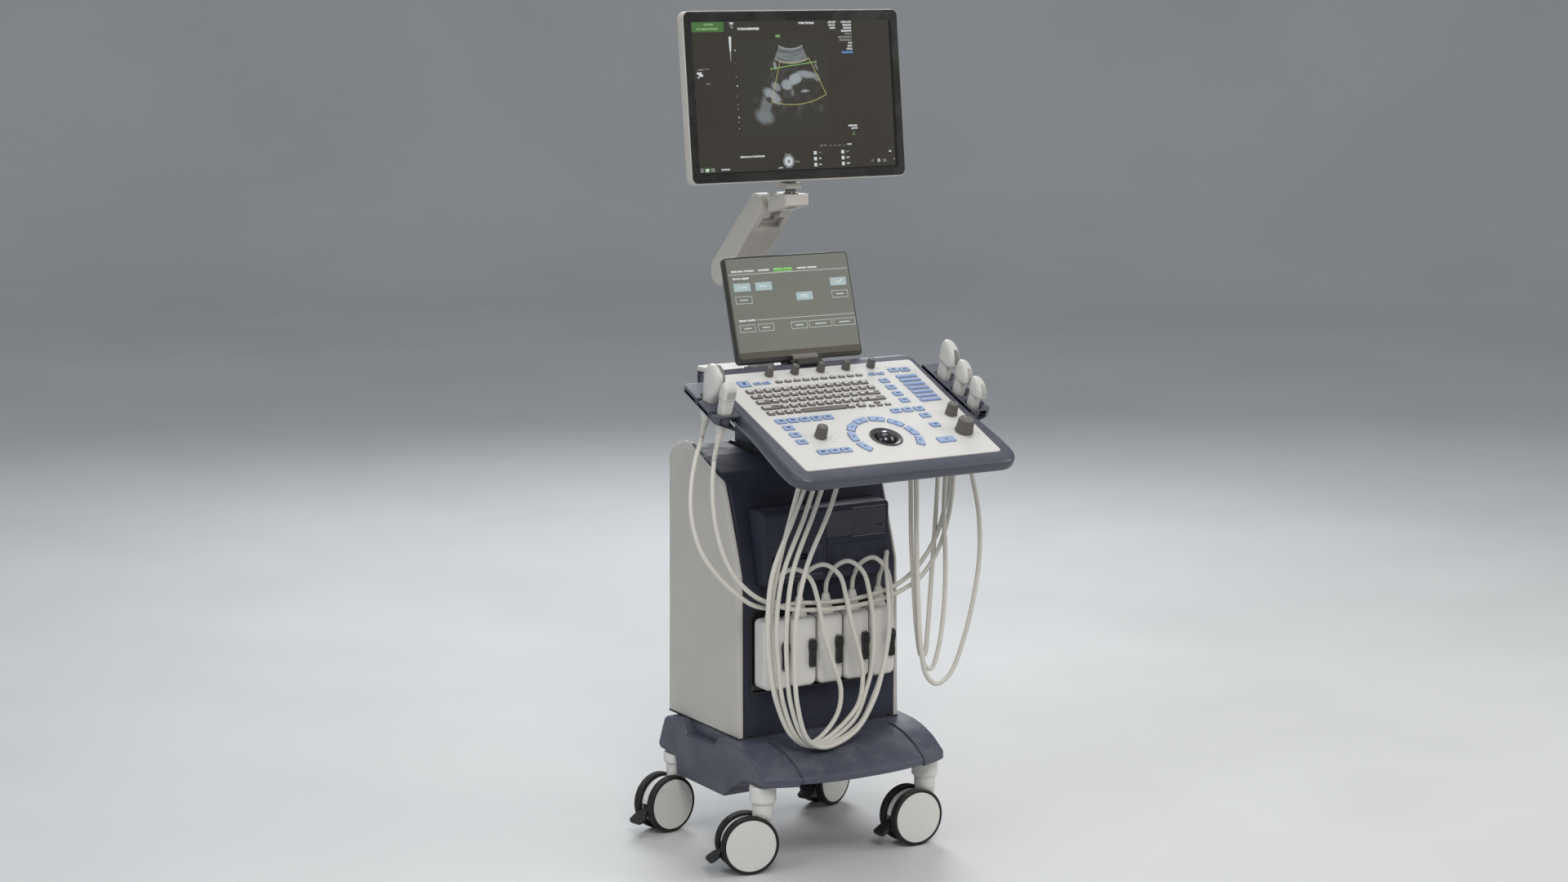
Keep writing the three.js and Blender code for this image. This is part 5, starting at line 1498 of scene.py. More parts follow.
# cavity, panel seat, then over the rim, round the nose and under to the belly
seat = match(panel_outline(-0.7, 8.5, 10))
cavity = match(panel_outline(6, 4, 10))
chamfer = match(panel_outline(-1.6, 9, 10))
rings = [ring_at(cavity, -30.0), ring_at(cavity, -4.6), ring_at(seat, -4.6), ring_at(seat, -1.9)]
rings.append(ring_at(chamfer, -1.2))
rim = tray_ring(11.5, lambda y: -1.3 - 0.5 * nose(y))
for share in (0.5, 0.85):
    rings.append([tuple(Vector(p).lerp(Vector(q), share)) for p, q in zip(rings[4], rim)])
for k in range(9):
    turn = QUARTER * k / 8
    drop = RIM_R * (1 - math.cos(turn))
    rings.append(tray_ring(RIM_R * (1 - math.sin(turn)), lambda y: -1.5 - nose(y) * 1.2 - drop))
for k in range(1, 8):
    turn = QUARTER * k / 7
    sin = math.sin(turn)
    rings.append(tray_ring(
        8.0 * (1 - math.cos(turn)),
        lambda y: -14.5 - nose(y) * 1.2 - (11.0 + 6.0 * (1 - nose(y))) * sin,
    ))
for inset, share in ((16, 0.35), (26, 0.72), (36, 0.93), (46, 1.0)):
    rings.append(tray_ring(
        inset, lambda y: (-26.7 - 5.0 * (1 - nose(y))) * (1 - share) + share * belly(y)
    ))
tray = Shape(loft(rings))
piece("console_shell", tray.moved(CONSOLE), "console", "console_rim",
      "console_tray")

# swivel arm reaching back under the lift head
tongue = [(-70, -40), (70, -40), (70, 100), (58, 168), (-58, 168), (-70, 100)]
swivel = boolean(
    slab(fillet(tongue, [10, 10, 40, 40, 40, 40], 8), 800, 842, 4, 4, "z", 4),
    [rod(34.9, 780, 870, 64, place(0, COLUMN_Y, 0))],
)
rise = [(-110, 812), (-60, 800), (-24, 800), (-20, 842), (-20, 876), (-30, 899), (-60, 880),
        (-110, 850)]
swivel.add(slab(fillet(rise, [6, 6, 3, 4, 8, 8, 4, 6], 5), -70, 70, 4, 4, "x", 4))
piece("console_swivel_arm", swivel, "console", "navy_moulding")

head = [(0, 0.8), (4.2, 0.8), (4.2, -0.6), (3.0, -1.1), (0, -1.2)]
screws = Shape()
for x in (-150, 0, 150):
    for y in (60, 285):
        at = place(x, y, belly(y))
        screws.add(lathe(soften(head, [0, 0.3, 0.4, 0.4, 0], 3), 26), 0, at)
piece("console_screws", screws.moved(CONSOLE), "console", "screw_steel", angle=34)

# ------------------------------------------------------------------ control panel
BALL_X, BALL_Y, BALL_R = 6.0, 82.0, 19.7
# Keys in a ring about the trackball: radius of the middle, width, length, turns.
ARC_R, ARC_WIDTH, ARC_LENGTH = 65, 15.5, 30.5
ARC_TURNS = [-20.6 + 31.8 * i for i in range(8)]
BARS = 7
# Buttons: x, y, width, depth, corner radius. The bars come first.
BUTTONS = [(173.5, 283 - 14.7 * i, 45, 10.2, 1.4) for i in range(BARS)]
BUTTONS += [(118.5, 274.0 - 24.6 * i, 19.5, 15, 2.2) for i in range(4)]
BUTTONS += [(x, 166.5, 21, 15.5, 2.0) for x in (-169.5, -144.5, -119.5, -94.5, -69.5)]
BUTTONS += [(-166.5, y, 21, 15.5, 2.0) for y in (142.8, 118, 93)]
BUTTONS += [(x, 53.5, 21, 15.5, 2.0) for x in (-145, -120.5, -96)]
BUTTONS += [(x, 166.5, 20.5, 15, 2.0) for x in (79, 104.5, 130)]
BUTTONS += [(128.5, 141.6, 20.5, 15, 2.0), (129, 107.3, 21, 15.5, 4.5), (120.5, 54.5, 37, 18, 2.2)]
POWER = (-171.5, 303.5, 24, 20, 2.2)
BUTTONS += [POWER, (-144, 301.5, 15.5, 7.6, 2), (-125, 301.5, 15.5, 7.6, 2),
            (106.5, 300.5, 15, 8, 2), (125.5, 300.5, 15, 8, 2), (159.5, 309, 21, 13.5, 2.0),
            (184.5, 308, 21, 13.5, 2.0)]
# Knobs: name, x, y, radius, height.
KNOBS = [
    ("knob_gain_1", -104.8, 328, 8.4, 18), ("knob_gain_2", -49.2, 328, 8.4, 18),
    ("knob_gain_3", 7.7, 328, 8.4, 18), ("knob_gain_4", 63.6, 328, 8.4, 18),
    ("knob_gain_5", 119.3, 328, 8.4, 18), ("knob_left", -121.5, 104, 12, 23),
    ("knob_right_rear", 183.5, 138, 12, 23), ("knob_right_front", 173, 76, 17.5, 27),
]
KEYS_X0, KEYS_X1, KEYS_Y0, KEYS_Y1 = -184.0, 108.0, 190.0, 290.0
# Keyboard keys from the back row to the front one: x, y, width, depth.
KEY_DEPTH = 12.6
KEYS = [(-174.5 + 18.95 * i, 274.6, 14.6 if i < 13 else 17.0, KEY_DEPTH) for i in range(14)]
KEYS.append((-170.5, 255.2, 22.0, KEY_DEPTH))
KEYS += [(-147.6 + 18.7 * i, 255.2, 14.4, KEY_DEPTH) for i in range(13)]
KEYS.append((-167.0, 235.6, 29.0, KEY_DEPTH))
KEYS += [(-142.8 + 18.95 * i, 235.6, 14.6, KEY_DEPTH) for i in range(11)]
KEYS += [(70.4, 235.6, 27.0, KEY_DEPTH), (-162.0, 215.4, 38.5, KEY_DEPTH)]
KEYS += [(-133.2 + 18.9 * i, 215.4, 14.6, KEY_DEPTH) for i in range(10)]
KEYS.append((65.0, 215.4, 38.0, KEY_DEPTH))
KEYS += [(x, 196.0, 14.8, KEY_DEPTH) for x in (-173.6, -154.6, -135.8, -117.0, -2.6)]
SPACE_BAR = (-59.4, 196.0, 94.0, KEY_DEPTH)
KEYS += [(20.4, 196.0, 17.5, KEY_DEPTH), SPACE_BAR]
KEYS += [(x, y, 12.0, 6.6) for x, y in ((40.9, 191.0), (58.0, 191.0), (76.0, 191.0), (58.0, 201.2))]
FUNCTION_KEYS = [(-97.6 + 19.5 * i, 301.0, 14.0, 7.0) for i in range(10)]


def centred(x, y, w, h, grow, radius, steps):
    x0, y0 = x - w / 2 - grow, y - h / 2 - grow
    return rect(x0, y0, x + w / 2 + grow, y + h / 2 + grow, radius, steps)


def arc_outline(turn, grow):
    """Slice of a ring about the trackball."""
    inner, outer = ARC_R - ARC_WIDTH / 2 - grow, ARC_R + ARC_WIDTH / 2 + grow
    half = (ARC_LENGTH / 2 + grow) / ARC_R / DEG
    turns = np.linspace(turn - half, turn + half, 7)
    points = [(outer * math.cos(q * DEG), outer * math.sin(q * DEG)) for q in turns]
    turns = np.linspace(turn + half, turn - half, 7)
    points += [(inner * math.cos(q * DEG), inner * math.sin(q * DEG)) for q in turns]
    radii = ([3.2] + [0] * 5 + [3.2]) * 2
    return [(BALL_X + a, BALL_Y + b) for a, b in fillet(points, radii, 4)]


def button_outline(button, grow):
    x, y, w, h, radius = button
    outline = rect(-w / 2 - grow, -h / 2 - grow, w / 2 + grow, h / 2 + grow, radius + grow * 0.5, 4)
    return [(x + a, y + b) for a, b in outline]


def all_buttons(grow):
    out = [arc_outline(turn, grow) for turn in ARC_TURNS]
    return out + [button_outline(button, grow) for button in BUTTONS]


outline = panel_outline(0, 8, 8)
rings = [ring_at(outline, -4.0), ring_at(outline, -1.6)]
rings += edge_rings(outline, 0, -1.6, 1.8, 4, "z")
holes = all_buttons(0.55)
holes += [disc(x, y, 4.4, 28) for _, x, y, _, _ in KNOBS]
holes += [centred(*key, 0.55, 2.2, 3) for key in KEYS]
holes += [centred(*key, 0.45, 1.6, 3) for key in FUNCTION_KEYS]
holes.append(disc(BALL_X, BALL_Y, 28.6, 96))
panel = boolean(loft(rings), [Shape(*[slab(hole, -10, 10) for hole in holes])])
piece("control_panel", panel.moved(CONSOLE), "console", "panel_white",
      "console_panel", angle=30, bevel=0.35)

profile = [(20.2, -6.0), (27.8, -6.0), (28.2, -1.0), (31.0, 0.2), (31.4, 0.9), (30.8, 1.9),
           (29.2, 2.3), (27.4, 1.9), (23.6, 0.2), (21.2, -1.2), (20.4, -2.4)]
ring = Shape(turned_ring(profile, 128, (BALL_X, BALL_Y)))
piece("trackball_ring", ring.moved(CONSOLE), "console", "ring_dark", angle=40)
profile = []
for i in range(41):
    turn = -math.pi / 2 + math.pi * i / 40
    profile.append((BALL_R * math.cos(turn) if 0 < i < 40 else 0.0, BALL_R * math.sin(turn)))
ball = Shape(lathe(profile, 80, place(BALL_X, BALL_Y, -9.2)))
piece("trackball_sphere", ball.moved(CONSOLE), "trackball", "ball_gloss",
      "trackball", angle=60, weighted=False)

# printed marks on the panel, small bars only: x, y, width, depth
marks = []
for _, x, y, _, _ in KNOBS[:5]:
    marks += [(x - 12.5, y - 8.0, 3.2, 0.9), (x + 12.0, y - 8.5, 4.2, 0.9)]
marks += [(-97.6 + 19.5 * i, 309.8, 5.5 if i % 3 else 8.0, 0.9) for i in range(10)]
around = ((14.5, 2), (19, -5), (15, -11), (23.5, -2.5), (24, -12), (18.5, -18.5))
for i, (x, y) in enumerate(around):
    marks.append((-121.5 + x, 104 + y, 3.4 if i % 2 else 2.2, 1.1))
marks += [(173 + x, 76 - 20.2, w, 1.1) for x, w in ((-9, 2.4), (-2, 8.5), (6.5, 4.0))]
marks += [(171, 52.6, 7.5, 1.0), (198.5, 66, 2.6, 1.5), (200.5, 61.8, 2.6, 1.5)]
marks += [(x, 183.6, 4.4, 0.9) for x in (20, 34, 48, 66, 82, 99)]
marks += [(150, 322, 3.6, 1.6), (-150, 322, 3.0, 1.0)]
ink = Shape()
for x, y, w, h in marks:
    bar = rect(-w / 2, -h / 2, w / 2, h / 2, min(w, h) * 0.3, 2)
    ink.add(slab([(x + a, y + b) for a, b in bar], -0.05, 0.06))
piece("panel_marks", ink.moved(CONSOLE), "console", "printed_mark", angle=30,
      weighted=False)


# ------------------------------------------------------------------ keys
def cap(outline, low, high, taper, mark=None, dish=0.0, lip=0.5):
    """Key cap: skirt, rounded shoulder, top with an inlaid mark (x, y, width, height)."""
    mid_x = sum(p[0] for p in outline) / len(outline)
    mid_y = sum(p[1] for p in outline) / len(outline)
    top = offset(outline, taper + lip + 0.9)
    rings = [
        ring_at(outline, low),
        ring_at(offset(outline, taper * 0.8), high - lip),
        ring_at(offset(outline, taper + lip * 0.35), high - lip * 0.3),
        ring_at(offset(outline, taper + lip), high),
        ring_at(top, high - dish),
    ]
    slots = [0] * 5
    if mark:
        mark_x, mark_y, w, h = mark
        half_x = max(abs(p[0] - mid_x) for p in top)
        half_y = max(abs(p[1] - mid_y) for p in top)
        inlay = []
        for x, y in top:
            dx, dy = x - mid_x, y - mid_y
            far = max(abs(dx) / half_x, abs(dy) / half_y)
            inlay.append((
                mid_x + mark_x + dx / half_x / far * w / 2,
                mid_y + mark_y + dy / half_y / far * h / 2,
            ))
        rings += [ring_at(inlay, high - dish), ring_at(inlay, high - dish - 0.04)]
        slots += [1, 1]
    return loft(rings, slots)


plates = rect(KEYS_X0 - 1, KEYS_Y0 - 1, KEYS_X1 + 1, KEYS_Y1 + 1, 2, 3), rect(-108, 296, 92, 308, 2, 3)
keyboard = Shape(*[slab(outline, -7.2, -5.0, 0.4, 0.4) for outline in plates])
keyboard.add(slab(rect(-80, 285, 60, 300, 0, 3), -7.0, -5.2))
rng = np.random.default_rng(7)
for key in KEYS:
    x, y, w, h = key
    if key == SPACE_BAR:
        keyboard.add(cap(centred(*key, 0, 1.8, 4), -5.2, 2.6, 0.9))
        continue
    jitter = rng.uniform(-0.3, 0.3)
    if h < 9:  # arrow keys
        outline = centred(*key, 0, 1.4, 4)
        keyboard.add(cap(outline, -5.2, 2.2, 0.5, (0, 0.3, 4.4, 2.4), dish=0.08))
        continue
    wide = w > 20
    mark_w = min(16.0, w * 0.42) if wide else min(w * 0.62, 7.4)
    mark_x = -w / 2 + mark_w / 2 + 3.2 if wide else 0.4
    mark = (mark_x + jitter * 0.5, 1.3, mark_w * (1 + 0.2 * jitter), 4.2 if wide else 5.0)
    keyboard.add(cap(centred(*key, 0, 1.8, 4), -5.2, 2.6, 0.7, mark, dish=0.12))
for key in FUNCTION_KEYS:
    outline = centred(*key, 0, 1.4, 4)
    keyboard.add(cap(outline, -5.2, 2.2, 0.5, (0, 0.8, 7.8, 2.6), dish=0.08))
piece("keyboard_caps", keyboard.moved(CONSOLE), "keyboard", "key_grey key_mark",
      "keyboard", angle=34)

keymat = Shape()
for turn in ARC_TURNS:
    outline = arc_outline(turn, -0.05)
    keymat.add(cap(outline, -6.0, 2.2, 0.35, (0, 0, 5.4, 4.2), dish=0.10, lip=0.6))
for i, button in enumerate(BUTTONS):
    outline = button_outline(button, -0.05)
    x, y, w, h, _ = button
    if i < BARS:
        keymat.add(cap(outline, -6.0, 2.0, 0.3, lip=0.6))
        # raised step along each bar's front edge, and a mark near its back edge
        left, front, back = x - w / 2 + 2.2, y - h / 2, y + h / 2
        step = rect(left, front + 1.0, x + w / 2 - 2.2, front + 2.6, 0.6, 3)
        keymat.add(slab(step, 1.8, 2.7, 0, 0.35, "z", 2), 3)
        mark = rect(left, back - 2.4, x - w / 2 + 6.5, back - 1.6, 0.3, 2)
        keymat.add(slab(mark, 1.9, 2.06), 1)
    elif button == POWER:
        keymat.add(cap(outline, -6.0, 2.4, 0.5, (0, 0.2, 5.6, 9.5), dish=0.15, lip=0.8))
    elif w > 30:
        keymat.add(cap(outline, -6.0, 2.2, 0.4, (0, 0, 6, 3.4), dish=0.12, lip=0.6))
    else:
        # marks vary in width: every third key, counting the ring keys too, has a wider one
        share = 0.46 if (i + len(ARC_TURNS)) % 3 else 0.56
        mark = (0, 0, min(w * share, 9), min(h * 0.36, 4.6))
        keymat.add(cap(outline, -6.0, 2.2, 0.4, mark, dish=0.10, lip=0.6))
# web below the panel that joins the buttons
cuts = [slab(disc(x, y, 6, 28), -30, 0) for _, x, y, _, _ in KNOBS if y < 300]
cuts.append(slab(rect(KEYS_X0 + 4, KEYS_Y0 + 4, KEYS_X1 - 4, KEYS_Y1 - 4, 4, 3), -30, 0))
cuts.append(slab(rect(-112, 280, 96, 332, 3, 3), -30, 0))
cuts.append(slab(disc(BALL_X, BALL_Y, 28.5, 64), -30, 0))
web = fillet([(-192, 36), (192, 36), (200, 322), (-194, 322)], 4, 4)
keymat.add(boolean(slab(web, -9.4, -7.9, 0.3, 0.3), cuts), 2)
for outline in all_buttons(-1.2):
    keymat.add(slab(outline, -8.6, -5.6), 2)
piece("control_buttons", keymat.moved(CONSOLE), "control_keys",
      "button_blue button_mark black_plastic button_blue_deep",
      "control_keymat", angle=34)


def knob(x, y, r, h):
    """Knob with a ribbed grip and a pointer line on top."""
    ribs = 22 if r < 10 else (28 if r < 14 else 38)
    depth = 0.45 if r < 14 else 0.6
    profile = [(0, -11.5), (3.5, -11.5), (3.5, 0.7), (r - 0.6, 0.7), (r, 1.2), (r, 2.4),
               (r * 0.955, 3.0), (r * 0.84, h - 2.2), (r * 0.815, h - 1.0), (r * 0.77, h - 0.3),
               (r * 0.70, h), (r * 0.62, h), (r * 0.58, h - 0.35), (0, h - 0.35)]
    ribbed = {6: 1, 7: 1, 8: 0.6}  # share of the rib depth, by profile row

    def ripple(row, i):
        phase = (i % 6) / 6 * 2 * math.pi
        return ribbed.get(row, 0) * depth * (0.5 + 0.5 * math.cos(phase)) ** 0.7

    out = Shape(lathe(profile, ribs * 6, centre=(x, y), ripple=ripple))
    pointer = box(x - 0.45, y + r * 0.12, h - 0.6, x + 0.45, y + r * 0.56, h - 0.1, 0.15)
    return out.add(pointer, 1)


for name, *size in KNOBS:
    piece(name + "_cap", knob(*size).moved(CONSOLE), name, "knob_grey key_mark",
          name, angle=38)


# ------------------------------------------------------------------ lit displays
def display(x0, z0, x1, z1, y, depth, marks):
    """Thin slab facing -Y; its face is cut into cells by the marks (x0, z0, x1, z1, slot),
    each cell taking the last mark that covers it."""
    cuts_x = {round(min(max(v, x0), x1), 3) for mark in marks for v in (mark[0], mark[2])}
    cuts_z = {round(min(max(v, z0), z1), 3) for mark in marks for v in (mark[1], mark[3])}
    xs, zs = sorted({x0, x1} | cuts_x), sorted({z0, z1} | cuts_z)
    nx, nz = len(xs), len(zs)
    out = Shape()
    out.verts = [(x, y, z) for z in zs for x in xs]
    for j in range(nz - 1):
        for i in range(nx - 1):
            mid_x, mid_z = (xs[i] + xs[i + 1]) / 2, (zs[j] + zs[j + 1]) / 2
            slot = 0
            for mark in marks:
                if mark[0] < mid_x < mark[2] and mark[1] < mid_z < mark[3]:
                    slot = mark[4]
            a = j * nx + i
            out.faces.append((a, a + 1, a + 1 + nx, a + nx))
            out.slots.append(slot)
    edge = list(range(nx)) + [j * nx + nx - 1 for j in range(1, nz)]
    edge += [(nz - 1) * nx + i for i in range(nx - 2, -1, -1)]
    edge += [j * nx for j in range(nz - 2, 0, -1)]
    first, count = len(out.verts), len(edge)
    out.verts += [(out.verts[i][0], y + depth, out.verts[i][2]) for i in edge]
    for i in range(count):
        j = (i + 1) % count
        out.faces.append((edge[j], edge[i], first + i, first + j))
    out.faces.append(tuple(range(first, first + count)))
    out.slots += [0] * (count + 1)
    return out


# ------------------------------------------------------------------ touch screen
TOUCH_HALF, TOUCH_H = 136.0, 197.0
TOUCH_HINGE = (14, 936)  # (y, z)
outline = rect(-TOUCH_HALF, -5.5, TOUCH_HALF, TOUCH_H, 8, 8)
rings = edge_rings(outline, 0, 2.2, 2.2, 5)[::-1]
rings += seam_rings(outline, (10.5, 10.8, 11.6, 11.9), 0.6)
rings += edge_rings(outline, 20, -5.0, 6.0, 5)
body = Shape(loft(rings), slab(rect(-90, 30, 90, 165, 16, 6), 19, 34, 0, 6, "y", 5))
hinge_y, hinge_z = tilted(TOUCH_HINGE, TOUCH_ORIGIN, TOUCH_TILT)
glass = rect(-TOUCH_HALF + 2.6, 3.4, TOUCH_HALF - 2.6, TOUCH_H - 2.6, 5, 6)
# room for the hinge, seat of the glass, notch below, vents
cuts = [
    slab(disc(hinge_y, hinge_z, 14.6, 48), -28.6, 28.6, axis="x"),
    box(-28.6, 2, -20, 28.6, 60, hinge_z),
    slab(glass, -5, 0.7, axis="y"),
    slab(rect(-28.6, -12, 28.6, 1.5), -5, 30, axis="y"),
]
for k in range(9):
    z = 70 + 9 * k
    cuts.append(slab(rect(-60, z, 60, z + 3.4, 1.6, 3), 32.4, 40, axis="y"))
body = boolean(body, cuts)
body.add(slab(disc(hinge_y, hinge_z, 8.6, 44), -12.4, 12.4, 0.8, 0.8, "x", 2))
lug = [(hinge_y - 6, hinge_z), (hinge_y + 6, hinge_z), (hinge_y + 8, 46), (hinge_y - 4, 46)]
body.add(slab(fillet(lug, [0, 0, 2, 2], 3), -12.4, 12.4, 0.8, 0.8, "x", 2))
body.add(rod(2.8, -25, 25, 24, place(0, hinge_y, hinge_z, 0, 90)))
piece("touch_screen_body", body.moved(TOUCH), "touch", "bezel_touch", "touch_screen")

# Material slots of the marks.
UI_BACK, UI_BAND, UI_LINE, UI_LABEL, UI_GREEN, UI_BUTTON, UI_OUTLINE = 0, 1, 2, 3, 4, 6, 7
marks = []


def ui_label(x, z, w, h=3.2, slot=UI_LABEL, parts=1):
    gap = 2.0
    part_w = (w - gap * (parts - 1)) / parts
    for i in range(parts):
        left = x + i * (part_w + gap)
        marks.append((left, z, left + part_w, z + h, slot))


def ui_outline(x0, z0, x1, z1):
    marks.append((x0, z0, x1, z1, UI_OUTLINE))
    marks.append((x0 + 1.0, z0 + 1.0, x1 - 1.0, z1 - 1.0, UI_BACK))
    ui_label(x0 + (x1 - x0) * 0.26, (z0 + z1) / 2 - 1.2, (x1 - x0) * 0.48, 2.4, UI_OUTLINE)


def ui_button(x, z, lines=1):
    w, h, line = 36, 15.5, 2.2
    marks.append((x, z, x + w, z + h, UI_BUTTON))
    for i in range(lines):
        middle = (z + z + h) / 2 + (i - (lines - 1) / 2) * -4.0
        ui_label(x + w * 0.25, middle - line / 2, w * 0.5, line)


marks.append((-131, 163.2, 131, 164.2, UI_LINE))
ui_label(-124, 168, 49, parts=2)
ui_label(-66, 168, 24)
ui_label(-32, 168.0, 40, 4.0, UI_GREEN, 2)
marks.append((-33, 164.8, 9, 166.2, UI_GREEN))
ui_label(20, 168, 43, parts=2)
ui_label(-124, 154, 35, parts=2)
ui_button(-124, 131.5)
ui_button(-77, 131.5)
ui_button(88, 131.5, lines=2)
ui_button(9, 108, lines=2)
ui_outline(-124, 108, -88, 122)
ui_outline(88, 108, 124, 122)
ui_label(-124, 74.5, 36, parts=2)
marks.append((-84, 75.4, 131, 76.3, UI_LINE))
for x0, x1 in ((-124, -90), (-84, -50), (-12, 24), (28, 78), (82, 131)):
    ui_outline(x0, 54, x1, 68)
marks.append((-133.6, 3.0, 133.6, 15.5, UI_BAND))
screen = display(-133.0, 3.8, 133.0, TOUCH_H - 3.0, 0.15, 0.5, marks)
piece("touch_screen_glass", screen.moved(TOUCH), "touch",
      "ui_background ui_lower_band ui_line ui_label ui_green ui_green_label ui_button ui_outline",
      angle=30, weighted=False)

# hinge bracket between console and touch screen
strap = [(-44, 922), (-30, 930.5), (-19, 923), (-9, 914), (26, 914), (20, 903.6), (-14, 900.6),
         (-24, 908), (-40, 917)]
strap = fillet(strap, [2, 5, 5, 5, 2, 1, 3, 5, 2], 5)
bracket = Shape(slab(strap, -27, 27, 1.4, 1.4, "x", 3))
cheek = fillet([(2, 912), (26.5, 912), (26.5, 936), (1.5, 936)], [0, 3, 0, 0], 4)
boss = soften([(0, -1), (6.5, -1), (6.5, 0.6), (5.6, 1.3), (0, 1.5)], [0, 0, 0.4, 0.4, 0], 3)
for x0, x1, side in ((-27, -14, -1), (14, 27, 1)):
    bracket.add(slab(cheek, x0, x1, 0.9, 0.9, "x", 3))
    bracket.add(slab(disc(*TOUCH_HINGE, 12.5, 52), x0, x1, 0.9, 0.9, "x", 3))
    bracket.add(lathe(boss, 36, place(side * 27, *TOUCH_HINGE, 0, 90 * side)))
bracket.add(slab(disc(-14.5, 928.6, 8.2, 56), -27, 27, 1.2, 1.2, "x", 3), 1)
bracket.add(slab(disc(-14.5, 928.6, 5.4, 40), -27.8, 27.8, 0.5, 0.5, "x", 2))
foot = [(-22, 914), (-8, 914), (-8, 926), (-21, 926)]
bracket.add(slab(fillet(foot, 0), -22, 22, 0.8, 0.8, "x", 2))
piece("touch_screen_hinge", bracket, "console", "bezel_touch hinge_cover",
      "touch_screen_bracket", angle=34)

# ------------------------------------------------------------------ monitor
MONITOR_HALF, MONITOR_H = 234.0, 316.0
MONITOR_HINGE = (51, 1335)  # (y, z)
outline = rect(-MONITOR_HALF, 0, MONITOR_HALF, MONITOR_H, 13, 10)
rings = [ring_at(offset(outline, 2.9), 4.4, "y"), ring_at(offset(outline, 2.7), 1.8, "y")]
for k in range(5):
    turn = QUARTER * k / 4
    level = 1.2 + 2.0 * (1 - math.sin(QUARTER - turn))
    rings.append(ring_at(offset(outline, 2.0 * (1 - math.sin(turn))), level, "y"))
rings += seam_rings(outline, (17.5, 17.8, 18.6, 18.9), 0.6)
rings += edge_rings(outline, 27, -7.0, 9.0, 6)
# domed back
dome = rect(-190, 40, 190, 285, 34, 8)
dome_rings = [ring_at(dome, 26.0, "y")]
for k in range(9):
    share = k / 8
    level = 27 + 22 * math.sin(QUARTER * share)
    narrow, low = 1 - 0.21 * share**1.6, 1 - 0.18 * share**1.6
    dome_rings.append([(x * narrow, level, 162.5 + (z - 162.5) * low) for x, z in dome])
hinge_y, hinge_z = tilted(MONITOR_HINGE, MONITOR_ORIGIN, MONITOR_TILT)
monitor = boolean(loft(rings), [loft(dome_rings)], "UNION")
# room for the neck, vents in the dome, slots along the bottom, a pocket
y0, z1 = hinge_y - 22, hinge_z + 20
cuts = [slab([(y0, z1), (y0, -10), (90, -10), (90, z1)], -34.5, 34.5, axis="x")]
for k in range(13):
    z = 176 + 6.6 * k
    for x0, x1 in ((-118, -44), (44, 118), (-38, 38)):
        cuts.append(slab(rect(x0, z, x1, z + 3.0, 1.4, 3), 46.6, 60, axis="y"))
for k in range(17):
    x = -96 + 12 * k
    cuts.append(slab(rect(x, 8.6, x + 8, 11.4, 1.3, 3), 24.5, 40, axis="y"))
cuts.append(slab(rect(-176, 52, -120, 70, 3, 4), 30, 60, axis="y"))
monitor = boolean(monitor, cuts)
cheek = [(23, hinge_z - 12), (hinge_y + 8, hinge_z - 10.5), (hinge_y + 10.5, hinge_z),
         (hinge_y + 10, hinge_z + 11), (23, hinge_z + 27)]
for x0, x1 in ((-34.4, -19), (19, 34.4)):
    monitor.add(slab(fillet(cheek, [0, 6, 6, 6, 0], 5), x0, x1, 1.2, 1.2, "x", 3))
boss = soften([(0, -1), (5.6, -1), (5.6, 0.6), (4.8, 1.2), (0, 1.3)], [0, 0, 0.4, 0.4, 0], 3)
for side in (-1, 1):
    monitor.add(lathe(boss, 36, place(side * 34.4, hinge_y, hinge_z, 0, 90 * side)))
piece("monitor_shell", monitor.moved(MONITOR), "monitor", "shell_paint",
      "monitor_housing", angle=30)
screws = Shape()
for x in (-205, 205):
    for z in (22, 294):
        screws.add(screw(3.6, place(x, 27.0, z, -90)))
for x in (-50, 50):
    for z in (130, 152):
        screws.add(screw(3.2, place(x, 49.2, z, -90)))
piece("monitor_screws", screws.moved(MONITOR), "monitor", "screw_steel", angle=35)

# black glass bezel with the active area let into it
ACTIVE_X0, ACTIVE_X1, ACTIVE_Z0, ACTIVE_Z1 = -217.0, 217.0, 18.5, 296.5
glass = rect(-MONITOR_HALF + 1.5, 2.4, MONITOR_HALF - 1.5, MONITOR_H - 1.2, 11.5, 8)
bezel = boolean(
    slab(glass, 0.0, 3.6, 1.1, 0, "y", 4),
    [slab(rect(ACTIVE_X0, ACTIVE_Z0, ACTIVE_X1, ACTIVE_Z1, 1.2, 3), -3, 0.9, axis="y")],
)
piece("monitor_bezel", bezel.moved(MONITOR), "monitor", "bezel_black")

# Screen marks: x from the left edge and z down from the top edge of the active area, width,
# height, slot. Slots: 0 background, 1 edge, 2 label, 3 dim label, 4 green, 5 green label,
# 6 white, 7 blue, 8 scan, 9 ring.
SCREEN_TOP = [
    (0, 1, 68, 18, 4), (26, 4, 20, 3.2, 5), (10, 12, 46, 3.4, 5), (80, 2, 9, 4, 2),
    (82, 7, 6, 6, 3), (97, 12, 46, 4.4, 2), (229, 3, 34, 3.8, 2),
    (294, 2, 17, 3.6, 2), (294, 2 + 5.4, 15, 3.6, 2), (297, 2 + 2 * 5.4, 13, 3.6, 2),
]
